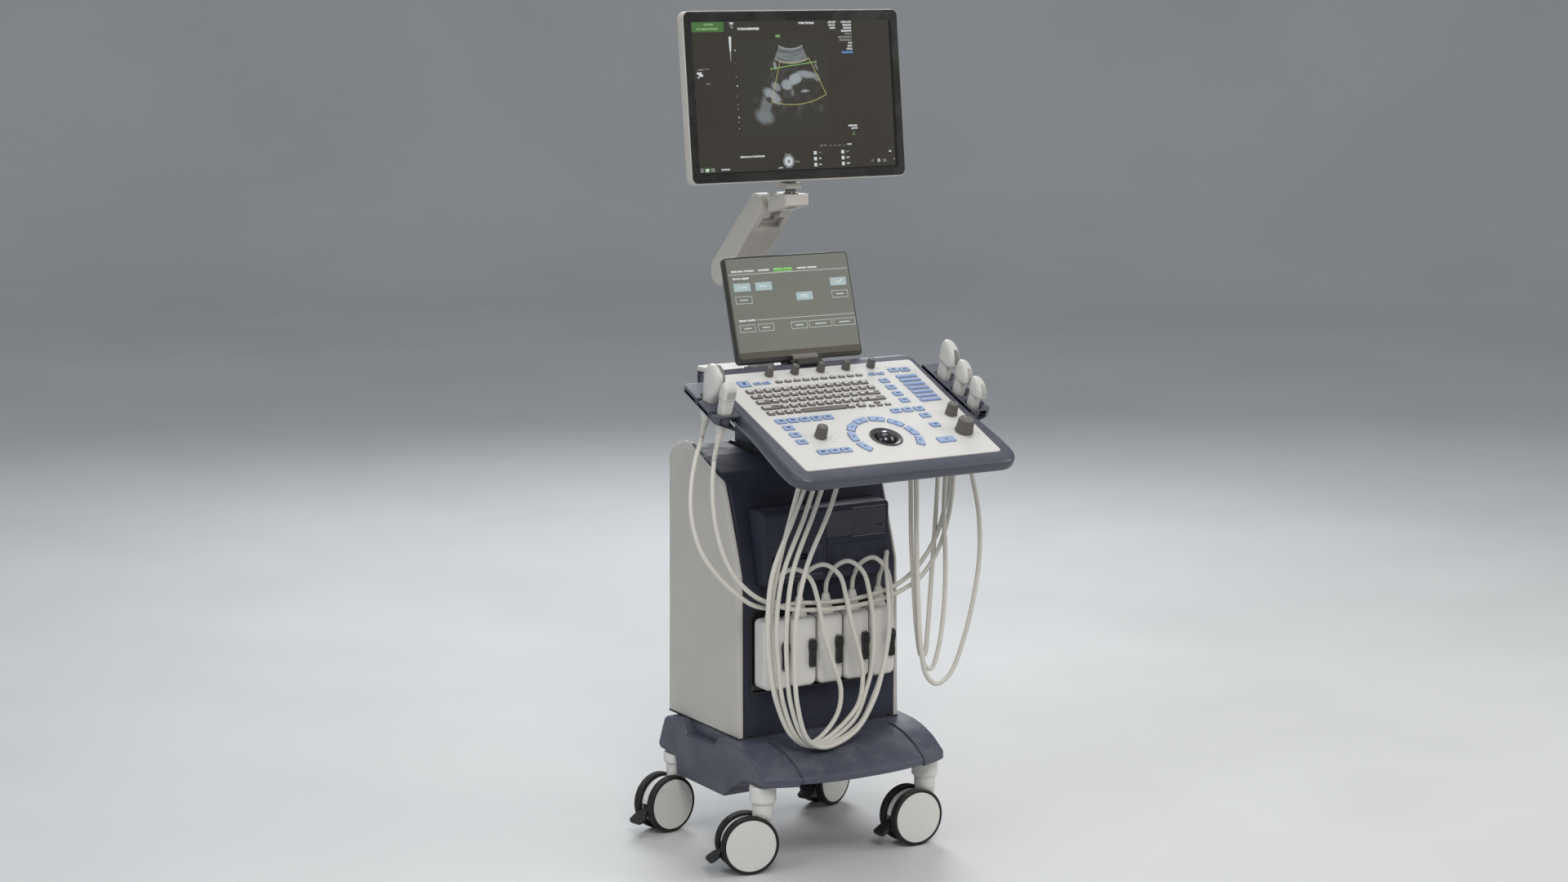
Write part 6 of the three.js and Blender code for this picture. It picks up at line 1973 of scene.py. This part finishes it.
# Width and slot of each line in the right-aligned column.
SCREEN_COLUMN = [(22, 2), (19, 2), (18, 2), (23, 2), (15, 3), (30, 3), (28, 3), (8, 2), (10, 2),
                 (13, 2)]
SCREEN_SIDES = [
    (8, 86, 12, 3, 3), (6, 92, 10, 4, 6), (10, 96, 9, 4, 6), (7, 100, 4, 3, 2),
    (24, 112, 9, 2.4, 3), (8, 86, 25, 1.2, 3), (178, 26, 10, 5, 5), (327, 196, 20, 3.4, 2),
    (333, 201, 14, 3.4, 2), (338, 208, 1.2, 7, 5), (335, 214, 7.5, 1.2, 5),
    (262, 232, 7, 2.6, 3), (271, 232, 5, 2.6, 3),
]
SCREEN_BOTTOM = [
    (206, 259.5, 9, 3, 3), (168, 270, 10, 2.6, 2), (88, 247, 52, 3.4, 2), (2, 267, 7, 7, 3),
    (11, 266, 11, 9, 4), (13, 268, 7, 5, 6), (24, 267, 8, 7, 3), (46, 269, 18, 3.0, 2),
    (374, 263, 5, 4, 3), (388, 262, 6, 6, 2), (401, 263, 7, 5, 3), (424, 262, 4, 3, 3),
    (415, 247, 5, 3, 6),
]
spots = list(SCREEN_TOP)
for i, (w, slot) in enumerate(SCREEN_COLUMN):
    spots.append((345 - w, 2 + i * 5.6, w, 3.6, slot))
spots.append((321, 58.5, 25, 4.0, 7))
# grey scale that narrows and darkens downwards
for i in range(12):
    slot = 6 if i < 7 else (9 if i < 10 else 3)
    spots.append((77.2 + 0.12 * i, 28 + i * 3.8, 5.4 - 0.35 * i, 3.8, slot))
# depth ticks
for i, z in enumerate((52, 76, 101, 117, 136, 152, 160, 175, 184, 196)):
    size = (2.6, 2.2, 6) if i in (0, 3, 7) else (1.5, 1.4, 2)
    spots.append((88.0 + (i % 2) * 0.6, z, *size))
spots += SCREEN_SIDES
spots += [(282 + i * 10, 233, 6, 1.4, 3) for i in range(5)]
spots.append((322, 231, 10, 2.8, 2))
for x, w in ((247, 5), (308, 7)):
    for i in range(3):
        spots.append((x, 243 + i * 11, 6.5, 6.5, 6))
        spots.append((x + 11, 244.5 + i * 11, w, 3, 2 if i else 3))
spots.append((183, 246, 14, 2.6, 3))
# round dial of three discs, each made of strips: radius, strips, height, slot
for radius, count, height, slot in ((12.2, 13, 24.0, 9), (8.2, 9, 16.0, 6), (3.6, 5, 6.8, 9)):
    for i in range(count):
        z = -height / 2 + height * (i + 0.5) / count
        half = math.sqrt(max(0.0, radius**2 - z * z))
        top = 260 + z - height / (2 * count)
        spots.append((191.5 - half, top, 2 * half, height / count, slot))
spots += SCREEN_BOTTOM
# the scan area lies under the labels
marks = [
    (-122, 84, 70, 262, 8),
    (ACTIVE_X0, ACTIVE_Z0, ACTIVE_X1, ACTIVE_Z0 + 2.2, 1),
    (ACTIVE_X1 - 5.5, ACTIVE_Z0, ACTIVE_X1, ACTIVE_Z1, 1),
]
for x, z, w, h, slot in spots:
    marks.append((ACTIVE_X0 + x, ACTIVE_Z1 - z - h, ACTIVE_X0 + x + w, ACTIVE_Z1 - z, slot))
screen = display(ACTIVE_X0, ACTIVE_Z0, ACTIVE_X1, ACTIVE_Z1, 0.45, 0.5, marks)
screen = piece(
    "monitor_display", screen.moved(MONITOR), "monitor",
    "screen_background screen_edge screen_label screen_label_dim screen_green "
    "screen_green_label screen_white screen_blue screen_scan screen_ring",
    angle=30, weighted=False,
)
layer = screen.data.uv_layers.new(name="screen_mm")
to_screen = MONITOR.inverted()
local = []
for vertex in screen.data.vertices:
    x, y, z = vertex.co
    local.append(to_screen @ Vector((x * 1000 - FRAME_X, y * 1000 - FRAME_Y, z * 1000)))
for loop in screen.data.loops:
    spot = local[loop.vertex_index]
    layer.data[loop.index].uv = (spot.x, spot.z)

# ------------------------------------------------------------------ monitor arm
low_y, low_z = LOW_HINGE
high_y, high_z = HIGH_HINGE
link_turn = math.degrees(math.atan2(high_z - low_z, high_y - low_y))
link_length = math.hypot(high_y - low_y, high_z - low_z)
link_cos, link_sin = math.cos(link_turn * DEG), math.sin(link_turn * DEG)


def link_box(along0, along1, off0, off1):
    """Corners (y, z) of a box given along the link from the lower pin, and off its line."""
    corners = ((along0, off0), (along1, off0), (along1, off1), (along0, off1))
    return [
        (low_y + s * link_cos - q * link_sin, low_z + s * link_sin + q * link_cos)
        for s, q in corners
    ]


outline = []
for y, z, radius, first in ((low_y, low_z, 28.5, 90), (high_y, high_z, 23.5, -90)):
    for i in range(23):
        turn = (link_turn + first + 180 * i / 22) * DEG
        outline.append((y + radius * math.cos(turn), z + radius * math.sin(turn)))
link = boolean(
    slab(outline, -37, 37, 5.0, 5.0, "x", 5),
    [
        slab(link_box(-45, 31, -45, 45), -20.8, 20.8, axis="x"),
        slab(link_box(link_length - 29, link_length + 45, -45, 45), -11, 11, axis="x"),
        slab(fillet(link_box(156, 186, 15, 40), 2, 3), -24, 24, 0, 0, "x"),
    ],
)
pins = Shape()
for hinge, r in ((LOW_HINGE, 7.8), (HIGH_HINGE, 6.8)):
    pins.add(rod(r, -36.2, 36.2, 36, place(0, *hinge, 0, 90)))
    head = [(0, -1.5), (r + 3.5, -1.5), (r + 3.5, 0.3), (r + 2.4, 1.0), (r * 0.5, 1.2), (0, 1.2)]
    head = soften(head, [0, 0, 0.5, 0.6, 0.6, 0], 3)
    for side in (-1, 1):
        pins.add(lathe(head, 44, place(side * 36.4, *hinge, 0, 90 * side)), 1)
piece("arm_link_shell", link, "arm", "arm_paint", "arm_link")
piece("arm_link_pins", pins, "arm", "dark_metal arm_paint", angle=34)

NECK_Y = 33
side_view = [(6, 1214.5), (8.2, 1234), (54, 1233.5), (68, 1223.6), (96, 1222.8), (96, 1198),
             (66, 1199), (34, 1206.5)]
side_view = fillet(side_view, [4, 2.4, 10, 10, 0, 0, 14, 24], 8)
head = boolean(
    slab(rect(-26, 8, 26, 92, 6, 6), 1190, 1250),
    [slab(side_view, -40, 40, axis="x")],
    "INTERSECT",
)
cheeks = [slab(disc(*HIGH_HINGE, 31, 64), x0, x1, axis="x") for x0, x1 in ((11, 45), (-45, -11))]
head = boolean(head, cheeks)
head = boolean(head, [slab(disc(*HIGH_HINGE, 15.5, 64), -10.2, 10.2, 0, 0, "x")], "UNION")
head = boolean(
    head,
    [
        rod(7.6, -40, 40, 36, place(0, *HIGH_HINGE, 0, 90)),
        rod(10.5, 1180, 1250, 44, place(0, NECK_Y, 0)),
    ],
)
piece("arm_head_shell", head, "arm_head", "arm_paint", "arm_head", bevel=1.4)

pivot = [(0, 1213), (10, 1213), (10, 1233.6), (13.6, 1233.6), (14, 1234.2), (14, 1235.6),
         (13.4, 1236.2), (10.4, 1236.4), (10, 1237.5), (10, 1240.2), (9.4, 1240.8),
         (9.4, 1242.2), (10, 1242.8), (10, 1247), (0, 1247)]
neck = Shape().add(lathe(soften(pivot, 0.4, 2), 52, place(0, NECK_Y, 0)), 1)
neck.add(slab(rect(-17, 18, 17, 59, 5, 5), 1243.6, 1254.4, 1.4, 1.4, "z", 4))
blade = [(40, 1246.5), (58, 1246.5), (60, 1330), (60, 1335), (42, 1335), (43, 1330)]
neck.add(slab(fillet(blade, [2, 4, 0, 0, 0, 0], 4), -18, 18, 1.4, 1.4, "x", 3))
neck.add(slab(disc(*MONITOR_HINGE, 9, 48), -18, 18, 1.0, 1.0, "x", 3))
neck.add(rod(3.6, -30, 30, 28, place(0, *MONITOR_HINGE, 0, 90)), 1)
piece("monitor_neck_shell", neck, "neck", "arm_paint dark_metal", "monitor_neck",
      angle=34)

# ------------------------------------------------------------------ probe holders
# Probes: name, console x and y, kind, and for the headed ones half width of the head along
# y, along x, and height.
PROBES = [
    ("probe_left_1", -262, 268, "egg"),
    ("probe_left_2", -259, 218, "slim"),
    ("probe_right_1", 254, 274, "head", 26, 10, 70),
    ("probe_right_2", 252, 216, "head", 22, 9.2, 60),
    ("probe_right_3", 252, 165, "head", 21, 9.2, 53),
]


def holder(name, profile, radii, corners, corner_radii, probes, arm_y):
    """Wedge plate with a slotted hole per probe, and two arms to the console.

    profile is (x, z) and corners is the plan (x, y).
    """
    side = 1 if profile[0][0] > 0 else -1
    (_, y0), _, (_, y1), _ = corners
    plate = boolean(
        slab(fillet(profile, radii, 5), y0, y1, 2.5, 2.5, "y", 4),
        [slab(fillet(corners, corner_radii, 8), -60, 10)],
        "INTERSECT",
    )
    cuts = []
    for _, x, y, kind, *_ in probes:
        half_x, half_y = (12.6, 12.2) if kind == "slim" else (12.8, 16.8)
        hole = [(p[0], p[1]) for p in oval_ring(half_x, half_y, 3, 0, 44, x, y)]
        cuts.append(slab(hole, -60, 10))
        x0, x1 = sorted((x, side * 300))
        cuts.append(slab(rect(x0, y - 5, x1, y + 5), -60, 10))
        # shallow seat round each hole
        seat = [(p[0], p[1]) for p in oval_ring(half_x + 2.6, half_y + 2.6, 3, 0, 44, x, y)]
        cuts.append(slab(seat, -2.2, 10))
    piece(name + "_plate", boolean(plate, cuts).moved(CONSOLE), "console", "console_rim",
          name, angle=34, bevel=0.7)
    x0, x1 = sorted((side * 226, side * 236))
    arms = Shape(*[slab(rect(x0, y - 9, x1, y + 9, 2, 3), -25, -15, 0.8, 0.8) for y in arm_y])
    piece(name + "_arms", arms.moved(CONSOLE), "console", "black_plastic",
          angle=34)


holder(
    "left_probe_holder",
    [(-289, -1), (-289, -12), (-283, -16.5), (-234.6, -36), (-234.6, -1)], [4, 5, 6, 3, 0.8],
    [(-289, 201), (-234.6, 201), (-234.6, 326), (-289, 326)], [14, 2, 2, 14],
    PROBES[:2], (228, 300),
)
holder(
    "right_probe_holder",
    [(282, -1), (234.6, -1), (234.6, -36), (277, -16.5), (282, -12)], [4, 0.8, 3, 6, 5],
    [(234.6, 143), (282, 143), (282, 325), (234.6, 325)], [2, 14, 14, 2],
    PROBES[2:], (172, 296),
)

# ------------------------------------------------------------------ probes
# Stations up each probe: half width x, half width y, exponent, z, shift in y.
EGG = [
    (7, 7, 2.2, -44, 0), (9.2, 10, 2.4, -38, 0), (10.8, 13, 2.6, -28, 0), (11.5, 15, 2.6, -16, 0),
    (11.8, 15.6, 2.6, 0, 0), (12, 18.5, 2.6, 9, 0), (12.2, 23, 2.5, 19, 0),
    (12.2, 26.5, 2.4, 30, 0), (12.0, 28, 2.4, 41, 0), (11.2, 26.2, 2.3, 51, 0),
    (9.6, 21, 2.3, 59, 0), (7.2, 13, 2.2, 64, 0), (3.6, 6, 2.1, 66.2, 0), (0.6, 1.0, 2.0, 66.6, 0),
]
SLIM = [
    (7, 7, 2.2, -44, 0), (9.6, 8.4, 2.5, -34, 0), (11.2, 10.2, 3.2, -18, 0),
    (11.6, 10.8, 4, -4, 0), (11.8, 11.0, 4.4, 6, 0), (12.0, 11.2, 4.6, 22, 0.6),
    (12.1, 11.4, 4.6, 26, 0.8), (13.2, 12.6, 4.6, 28.5, 0.8), (13.4, 12.8, 4.4, 34, 0.9),
    (13.2, 12.5, 4.0, 43, 1.4), (12.4, 11.4, 3.6, 50, 2.2), (10.2, 8.8, 3.2, 54.5, 3.0),
    (6.0, 5.0, 2.6, 56.4, 3.6), (0.8, 0.8, 2.2, 56.8, 3.8),
]
# Neck of a headed probe: half width x, share of neck width y, exponent, z, share of the
# height to add to z, shift in y.
HEAD_NECK = [(9.9, 1, 3.0, -4, 0, 2.0), (9.8, 1, 3.0, 0, 0.14, 2.4), (9.4, 0.97, 3.0, 0, 0.30, 2.6),
             (9.3, 0.98, 3.0, 0, 0.38, 2.2)]
# Head: shares of its half widths x and y, exponent, share of the height, shift in y.
HEAD_CROWN = [
    (1.12, 0.80, 3.0, 0.415, -3.0), (1.20, 0.92, 2.9, 0.455, -3.4), (1.22, 1.0, 2.8, 0.54, -3.0),
    (1.20, 1.0, 2.7, 0.64, -2.0), (1.15, 0.93, 2.7, 0.75, 0.2), (1.06, 0.78, 2.6, 0.86, 3.0),
    (0.90, 0.57, 2.5, 0.94, 5.6), (0.62, 0.35, 2.3, 0.985, 7.4),
]


def probe_body(stations, x, y):
    return loft([oval_ring(a, b, e, z, 56, x, y + shift) for a, b, e, z, shift in stations])


def lens_section(x, y, z, normal, half, thick):
    """Flattened oval across the lens band, standing on the (y, z) normal."""
    out = []
    for j in range(14):
        turn = 2 * math.pi * j / 14
        across, rise = half * signed_power(math.cos(turn), 0.7), thick * math.sin(turn)
        out.append((x + across, y + normal[0] * rise, z + normal[1] * rise))
    return out


def egg_probe(x, y):
    lens = []
    for i in range(33):
        turn = (-78 + 84 * i / 32) * DEG
        sin, cos = math.sin(turn), math.cos(turn)
        full = math.sin(math.pi * min(1, max(0, i / 32))) ** 0.35
        half, thick = 4.2 * (0.55 + 0.45 * full), 1.7 * (0.35 + 0.65 * full)
        lens.append(lens_section(x + 3.6, y + 27.4 * sin, 38.2 + 28.0 * cos, (sin, cos), half, thick))
    return probe_body(resample(EGG, 40), x, y), loft(lens)


def slim_probe(x, y):
    lens = slab(rect(x - 8.5, 33, x + 8.5, 46, 2.6, 5), y - 13.0, y - 10.6, 0.9, 0, "y", 3)
    return probe_body(resample(SLIM, 52), x, y), lens


def headed_probe(x, y, half_y, half_x, top):
    """Neck, then a head that stands out over it towards the user and rounds over."""
    neck = half_y * 0.56
    stations = [(7, 7, 2.2, -44, 0), (8.4, 9, 2.4, -34, 0.5), (9.6, neck * 0.92, 2.8, -18, 1.5)]
    for a, share, e, z, rise, shift in HEAD_NECK:
        stations.append((a, neck * share, e, z + top * rise, shift))
    for share_x, share_y, e, rise, shift in HEAD_CROWN:
        stations.append((half_x * share_x, half_y * share_y, e, top * rise, shift))
    stations.append((0.6, 0.6, 2.0, top * 1.0, 7.0))
    stations = resample(stations, 60)
    heights = [row[3] for row in stations]
    widths, shifts = [row[1] for row in stations], [row[4] for row in stations]

    def front(z):
        return y + float(np.interp(z, heights, shifts)) - float(np.interp(z, heights, widths))

    # lens down the sloping crown on the user's side
    lens = []
    for i in range(31):
        z = top * (0.90 - 0.34 * i / 30)
        slope = Vector((front(z - 0.6) - front(z), -0.6)).normalized()
        normal = Vector((slope.y, -slope.x))
        if normal.x > 0:
            normal = -normal
        full = max(0.0, math.sin(math.pi * i / 30)) ** 0.35
        half, thick = half_x * 0.50 * (0.5 + 0.5 * full), 1.3 * (0.3 + 0.7 * full)
        lens.append(lens_section(x, front(z), z, normal, half, thick))
    return probe_body(stations, x, y), loft(lens)


# ribbed strain relief below the holder
relief = [(0, -66), (4.1, -66), (4.5, -65)]
for k in range(6):
    z = -64 + 3.2 * k
    r = 4.7 + 0.42 * k
    relief += [(r, z), (r + 0.55, z + 0.6), (r + 0.55, z + 1.9), (r, z + 2.5)]
relief += [(7.2, -44), (0, -44)]
PROBE_KINDS = {"egg": egg_probe, "slim": slim_probe, "head": headed_probe}
for name, x, y, kind, *size in PROBES:
    body, lens = PROBE_KINDS[kind](x, y, *size)
    tail = Shape(lathe(relief, 30, place(x, y, 0)))
    piece(name + "_shell", Shape(body).moved(CONSOLE), name, "probe_shell",
          name, angle=50)
    paint = "probe_lens" if name.endswith("1") else "probe_lens_light"
    piece(name + "_lens", Shape(lens).moved(CONSOLE), name, paint, angle=45)
    piece(name + "_relief", tail.moved(CONSOLE), name, "cable_jacket", angle=45)

# ------------------------------------------------------------------ cables
CABLE_R = 4.4
# Lower cables, one row each: from the connector forwards and down to the bundle,
LOWER_DOWN = [
    [(-117.6, -93, 490), (-116.5, -95, 512), (-106, -106, 540), (-84, -121, 551),
     (-62, -136, 534), (-50, -146, 490), (-41, -151, 430), (-20, -156, 362), (-8, -160, 318),
     (-22, -166, 272)],
    [(-58.8, -93, 490), (-58, -95, 514), (-46, -106, 541), (-22, -121, 553), (2, -137, 534),
     (12, -147, 488), (20, -152, 440), (36, -156, 382), (40, -161, 340), (22, -168, 284)],
    [(0, -93, 490), (1, -95, 514), (12, -106, 542), (33, -121, 554), (55, -137, 534),
     (64, -148, 486), (68, -154, 430), (62, -160, 360), (46, -165, 316), (14, -172, 262)],
    [(58.8, -93, 490), (60, -95, 515), (69, -106, 543), (89, -121, 555), (108, -135, 534),
     (112, -148, 488), (104, -156, 432), (86, -164, 362), (62, -170, 308), (20, -178, 252)],
    [(117.6, -93, 490), (120, -95, 516), (127, -104, 546), (121, -117, 561), (109, -133, 547),
     (103, -148, 508), (99, -160, 460), (93, -166, 410), (80, -172, 360), (54, -179, 298),
     (8, -186, 244)],
]
# then out to the left and up,
LOWER_UP = [
    [(-82, -174, 231), (-134, -180, 262), (-164, -185, 330), (-178, -190, 404), (-184, -198, 482),
     (-175, -206, 570), (-153, -216, 670)],
    [(-80, -179, 227), (-130, -186, 252), (-166, -191, 318), (-186, -197, 396), (-194, -204, 474),
     (-188, -210, 566), (-148, -220, 672)],
    [(-74, -182, 225), (-122, -190, 250), (-156, -196, 320), (-170, -201, 398), (-178, -208, 474),
     (-168, -214, 566), (-126, -221, 672)],
    [(-66, -187, 224.5), (-112, -196, 249), (-144, -202, 320), (-156, -208, 402),
     (-160, -215, 480), (-150, -220, 572), (-108, -223, 676)],
    [(-62, -192, 223.5), (-106, -202, 246), (-134, -210, 316), (-144, -216, 404),
     (-144, -222, 484), (-124, -224, 576), (-74, -223, 678)],
]
# to the point under the console where the upper cable takes over.
TOPS = [(-134, -225, 748), (-118, -226, 750), (-100, -226, 750), (-79, -224, 750), (-47, -222, 750)]
# Upper cables: the first two hang across the front from the right-hand hook to the left
# probes, the others loop under the right-hand end.
UPPER = [
    [(-128, -226, 764), (-100, -222, 773), (-40, -214, 776), (60, -196, 777), (150, -172, 776),
     (214, -152, 770), (240, -143, 748), (245, -140, 690), (236, -139, 630), (213, -136, 572),
     (176, -131, 524), (134, -127, 497), (76, -122.5, 483), (20, -121.5, 479.5),
     (-26, -121.5, 481), (-80, -123, 486), (-120, -132, 487), (-160, -150, 491),
     (-196, -154, 502), (-232, -152, 528), (-268, -146, 566), (-296, -138, 612),
     (-308, -128, 668), (-303, -117, 724), (-287, -106, 775), (-270, -97, 806)],
    [(-112, -228, 765), (-84, -226, 774), (-30, -220, 777), (60, -204, 777), (150, -181, 776),
     (222, -160, 770), (247, -151, 748), (250, -149, 690), (241, -147, 622), (219, -144, 558),
     (182, -140, 510), (136, -136, 486), (80, -131.8, 472.5), (20, -130.6, 468.5),
     (-30, -130.8, 470), (-84, -134, 476), (-126, -148, 488), (-166, -163, 503),
     (-204, -168, 524), (-238, -167, 558), (-262, -164, 602), (-277, -160, 660),
     (-280, -154, 724), (-272, -146, 774)],
    [(-94, -229, 766), (-64, -228, 774), (0, -222, 777), (70, -209, 776), (112, -190, 771),
     (132, -176, 752), (139, -170, 700), (143, -167, 600), (150, -166, 500), (157, -168, 410),
     (166, -169, 366), (178, -164, 366), (188, -158, 410), (202, -148, 500), (222, -130, 600),
     (240, -112, 690), (252, -97, 770)],
    [(-73, -229, 766), (-44, -229, 774), (14, -225, 776), (80, -213, 775), (118, -196, 770),
     (136, -186, 750), (143, -182, 700), (146, -180, 600), (151, -179, 490), (158, -180, 390),
     (168, -181, 346), (182, -181, 341), (198, -179, 374), (214, -174, 450), (221, -168, 540),
     (222, -160, 640), (233, -150, 720), (245, -143, 764)],
    [(-42, -227, 766), (-14, -228, 773), (40, -226, 775), (92, -217, 774), (120, -206, 769),
     (132, -197, 748), (137, -193, 700), (140, -190, 600), (146, -188, 480), (154, -187, 380),
     (168, -187, 328), (190, -187, 311), (220, -187, 326), (252, -187, 392), (276, -187, 480),
     (287, -186, 552), (284, -186, 630), (268, -186, 704), (257, -186.5, 748)],
]


def cable(name, path, body, toward, replaces=None):
    piece(name, Shape(tube(path, CABLE_R, 16)), body, "cable_jacket", replaces,
          angle=60, weighted=False, toward=toward)


for i, (down, up, top) in enumerate(zip(LOWER_DOWN, LOWER_UP, TOPS)):
    path = spline([(down[0][0], -93, 484)] + down + up + [top], 4.0)
    cable("cable_lower_%d" % (i + 1), path, "base", "lift",
          replaces=None if i else "cable_loom")

for i, (name, x, y, *_) in enumerate(PROBES):
    top = TOPS[i]
    ending = [tuple(CONSOLE @ Vector((x, y, z))) for z in (-88, -66)]
    path = spline([top] + UPPER[i] + ending, 4.0)
    # the tail piece takes the last stretch of the path
    tail = len(path) - 1
    length = 0.0
    while length < 46 and tail > 2:
        length += (path[tail] - path[tail - 1]).length
        tail -= 1
    # The two left cables hang low across the front; each is made in two pieces, split at the hook.
    hook = next(j for j, p in enumerate(path) if p[0] >= 200) if i < 2 else tail
    cable("cable_upper_%d" % (i + 1), path[: hook + 1], "lift", "console")
    if hook < tail:
        cable("cable_sag_%d" % (i + 1), path[hook : tail + 1], "lift", "console")
    beyond = path[-1] + (path[-1] - path[-2]).normalized() * 3
    cable(name + "_tail_cable", path[tail:] + [beyond], "console", name)

# hooks under the console that carry the loops
hooks = Shape()
for x, y, half, top in ((128, -182, 24, 800), (236, -150, 20, 812)):
    corners = [(x - half, top), (x - half, 760), (x + half, 760), (x + half, top)]
    hooks.add(tube(ring_at(fillet(corners, [0, 9, 9, 0], 8), y, "y"), 3.2, 14))
piece("cable_hooks", hooks, "console", "black_plastic", angle=50)

# ------------------------------------------------------------------ CAD pieces still showing
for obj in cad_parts.values():
    if not obj.hide_render:
        obj.data.materials.clear()
        obj.data.materials.append(MATERIALS["black_plastic"])

# ------------------------------------------------------------------ stage
# pale floor that sweeps up into the backdrop: radius, z in metres
FLOOR_Z = -0.0005
profile = [(r, FLOOR_Z) for r in (0.0, 1.0, 3.0, 6.0, 9.0)]
for k in range(1, 17):
    turn = QUARTER * k / 16
    profile.append((9.0 + 3.0 * math.sin(turn), FLOOR_Z + 3.0 * (1 - math.cos(turn))))
profile.append((12.0, 9.0))
verts, faces = lathe(profile, 96)
mesh = bpy.data.meshes.new("studio_floor")
# faces are turned over so that they look inwards and up
mesh.from_pydata(verts, [], [face[:1] + face[:0:-1] for face in faces])
for polygon in mesh.polygons:
    polygon.use_smooth = True
floor = bpy.data.objects.new("studio_floor", mesh)
bpy.context.scene.collection.objects.link(floor)
paint = Paint("floor_paint")
co = paint.place()
cloud = paint.ramp(paint.noise(co, scale=0.8), span=(0.3, 0.7))
gloss = paint.noise(co, scale=3.0, detail=4.0)
paint.surface({
    "Base Color": paint.mix(cloud, (0.60, 0.60, 0.59), (0.64, 0.64, 0.63)),
    "Roughness": paint.ramp(gloss, span=(0.3, 0.7), to=(0.50, 0.62)),
    "Specular IOR Level": 0.25,
})
floor.data.materials.append(paint.material)

world = bpy.data.worlds.new("studio")
bpy.context.scene.world = world
world.use_nodes = True
sky = world.node_tree.nodes["Background"]
sky.inputs["Color"].default_value = (0.80, 0.86, 0.95, 1)
sky.inputs["Strength"].default_value = 0.48


def lamp(name, location, aim, size, power, colour=(1, 1, 1)):
    """Square area light pointed at a place; metres and watts."""
    data = bpy.data.lights.new(name, "AREA")
    data.shape = "SQUARE"
    data.size = size
    data.energy, data.color = power, colour
    obj = bpy.data.objects.new(name, data)
    bpy.context.scene.collection.objects.link(obj)
    obj.location = location
    obj.rotation_euler = (Vector(aim) - Vector(location)).to_track_quat("-Z", "Y").to_euler()


lamp("key", location=(-1.4, -3.6, 3.6), aim=(0, 0, 0.8), size=1.9, power=92,
     colour=(1.0, 0.97, 0.93))
lamp("fill", location=(-4.2, -0.6, 2.2), aim=(0, 0, 0.9), size=2.6, power=40,
     colour=(0.90, 0.95, 1.0))
lamp("right", location=(3.4, -2.0, 2.4), aim=(0, 0, 0.8), size=2.0, power=44,
     colour=(1.0, 0.98, 0.95))
lamp("rim", location=(1.6, 3.2, 3.0), aim=(0, 0, 1.0), size=1.8, power=90,
     colour=(0.95, 0.97, 1.0))
lamp("top", location=(0, 0.2, 4.6), aim=(0, 0, 0), size=2.6, power=42)

lens = bpy.data.cameras.new("camera")
camera = bpy.data.objects.new("camera", lens)
bpy.context.scene.collection.objects.link(camera)
lens.sensor_width, lens.lens = 36.0, 67.53
camera.location = (-2.88055, -4.62005, 1.6715)
camera.rotation_euler = (math.radians(90 - 9.339), 0, math.radians(-31.356))
lens.clip_start, lens.clip_end = 0.05, 60
bpy.context.scene.camera = camera
bpy.context.scene.view_settings.view_transform = "Standard"
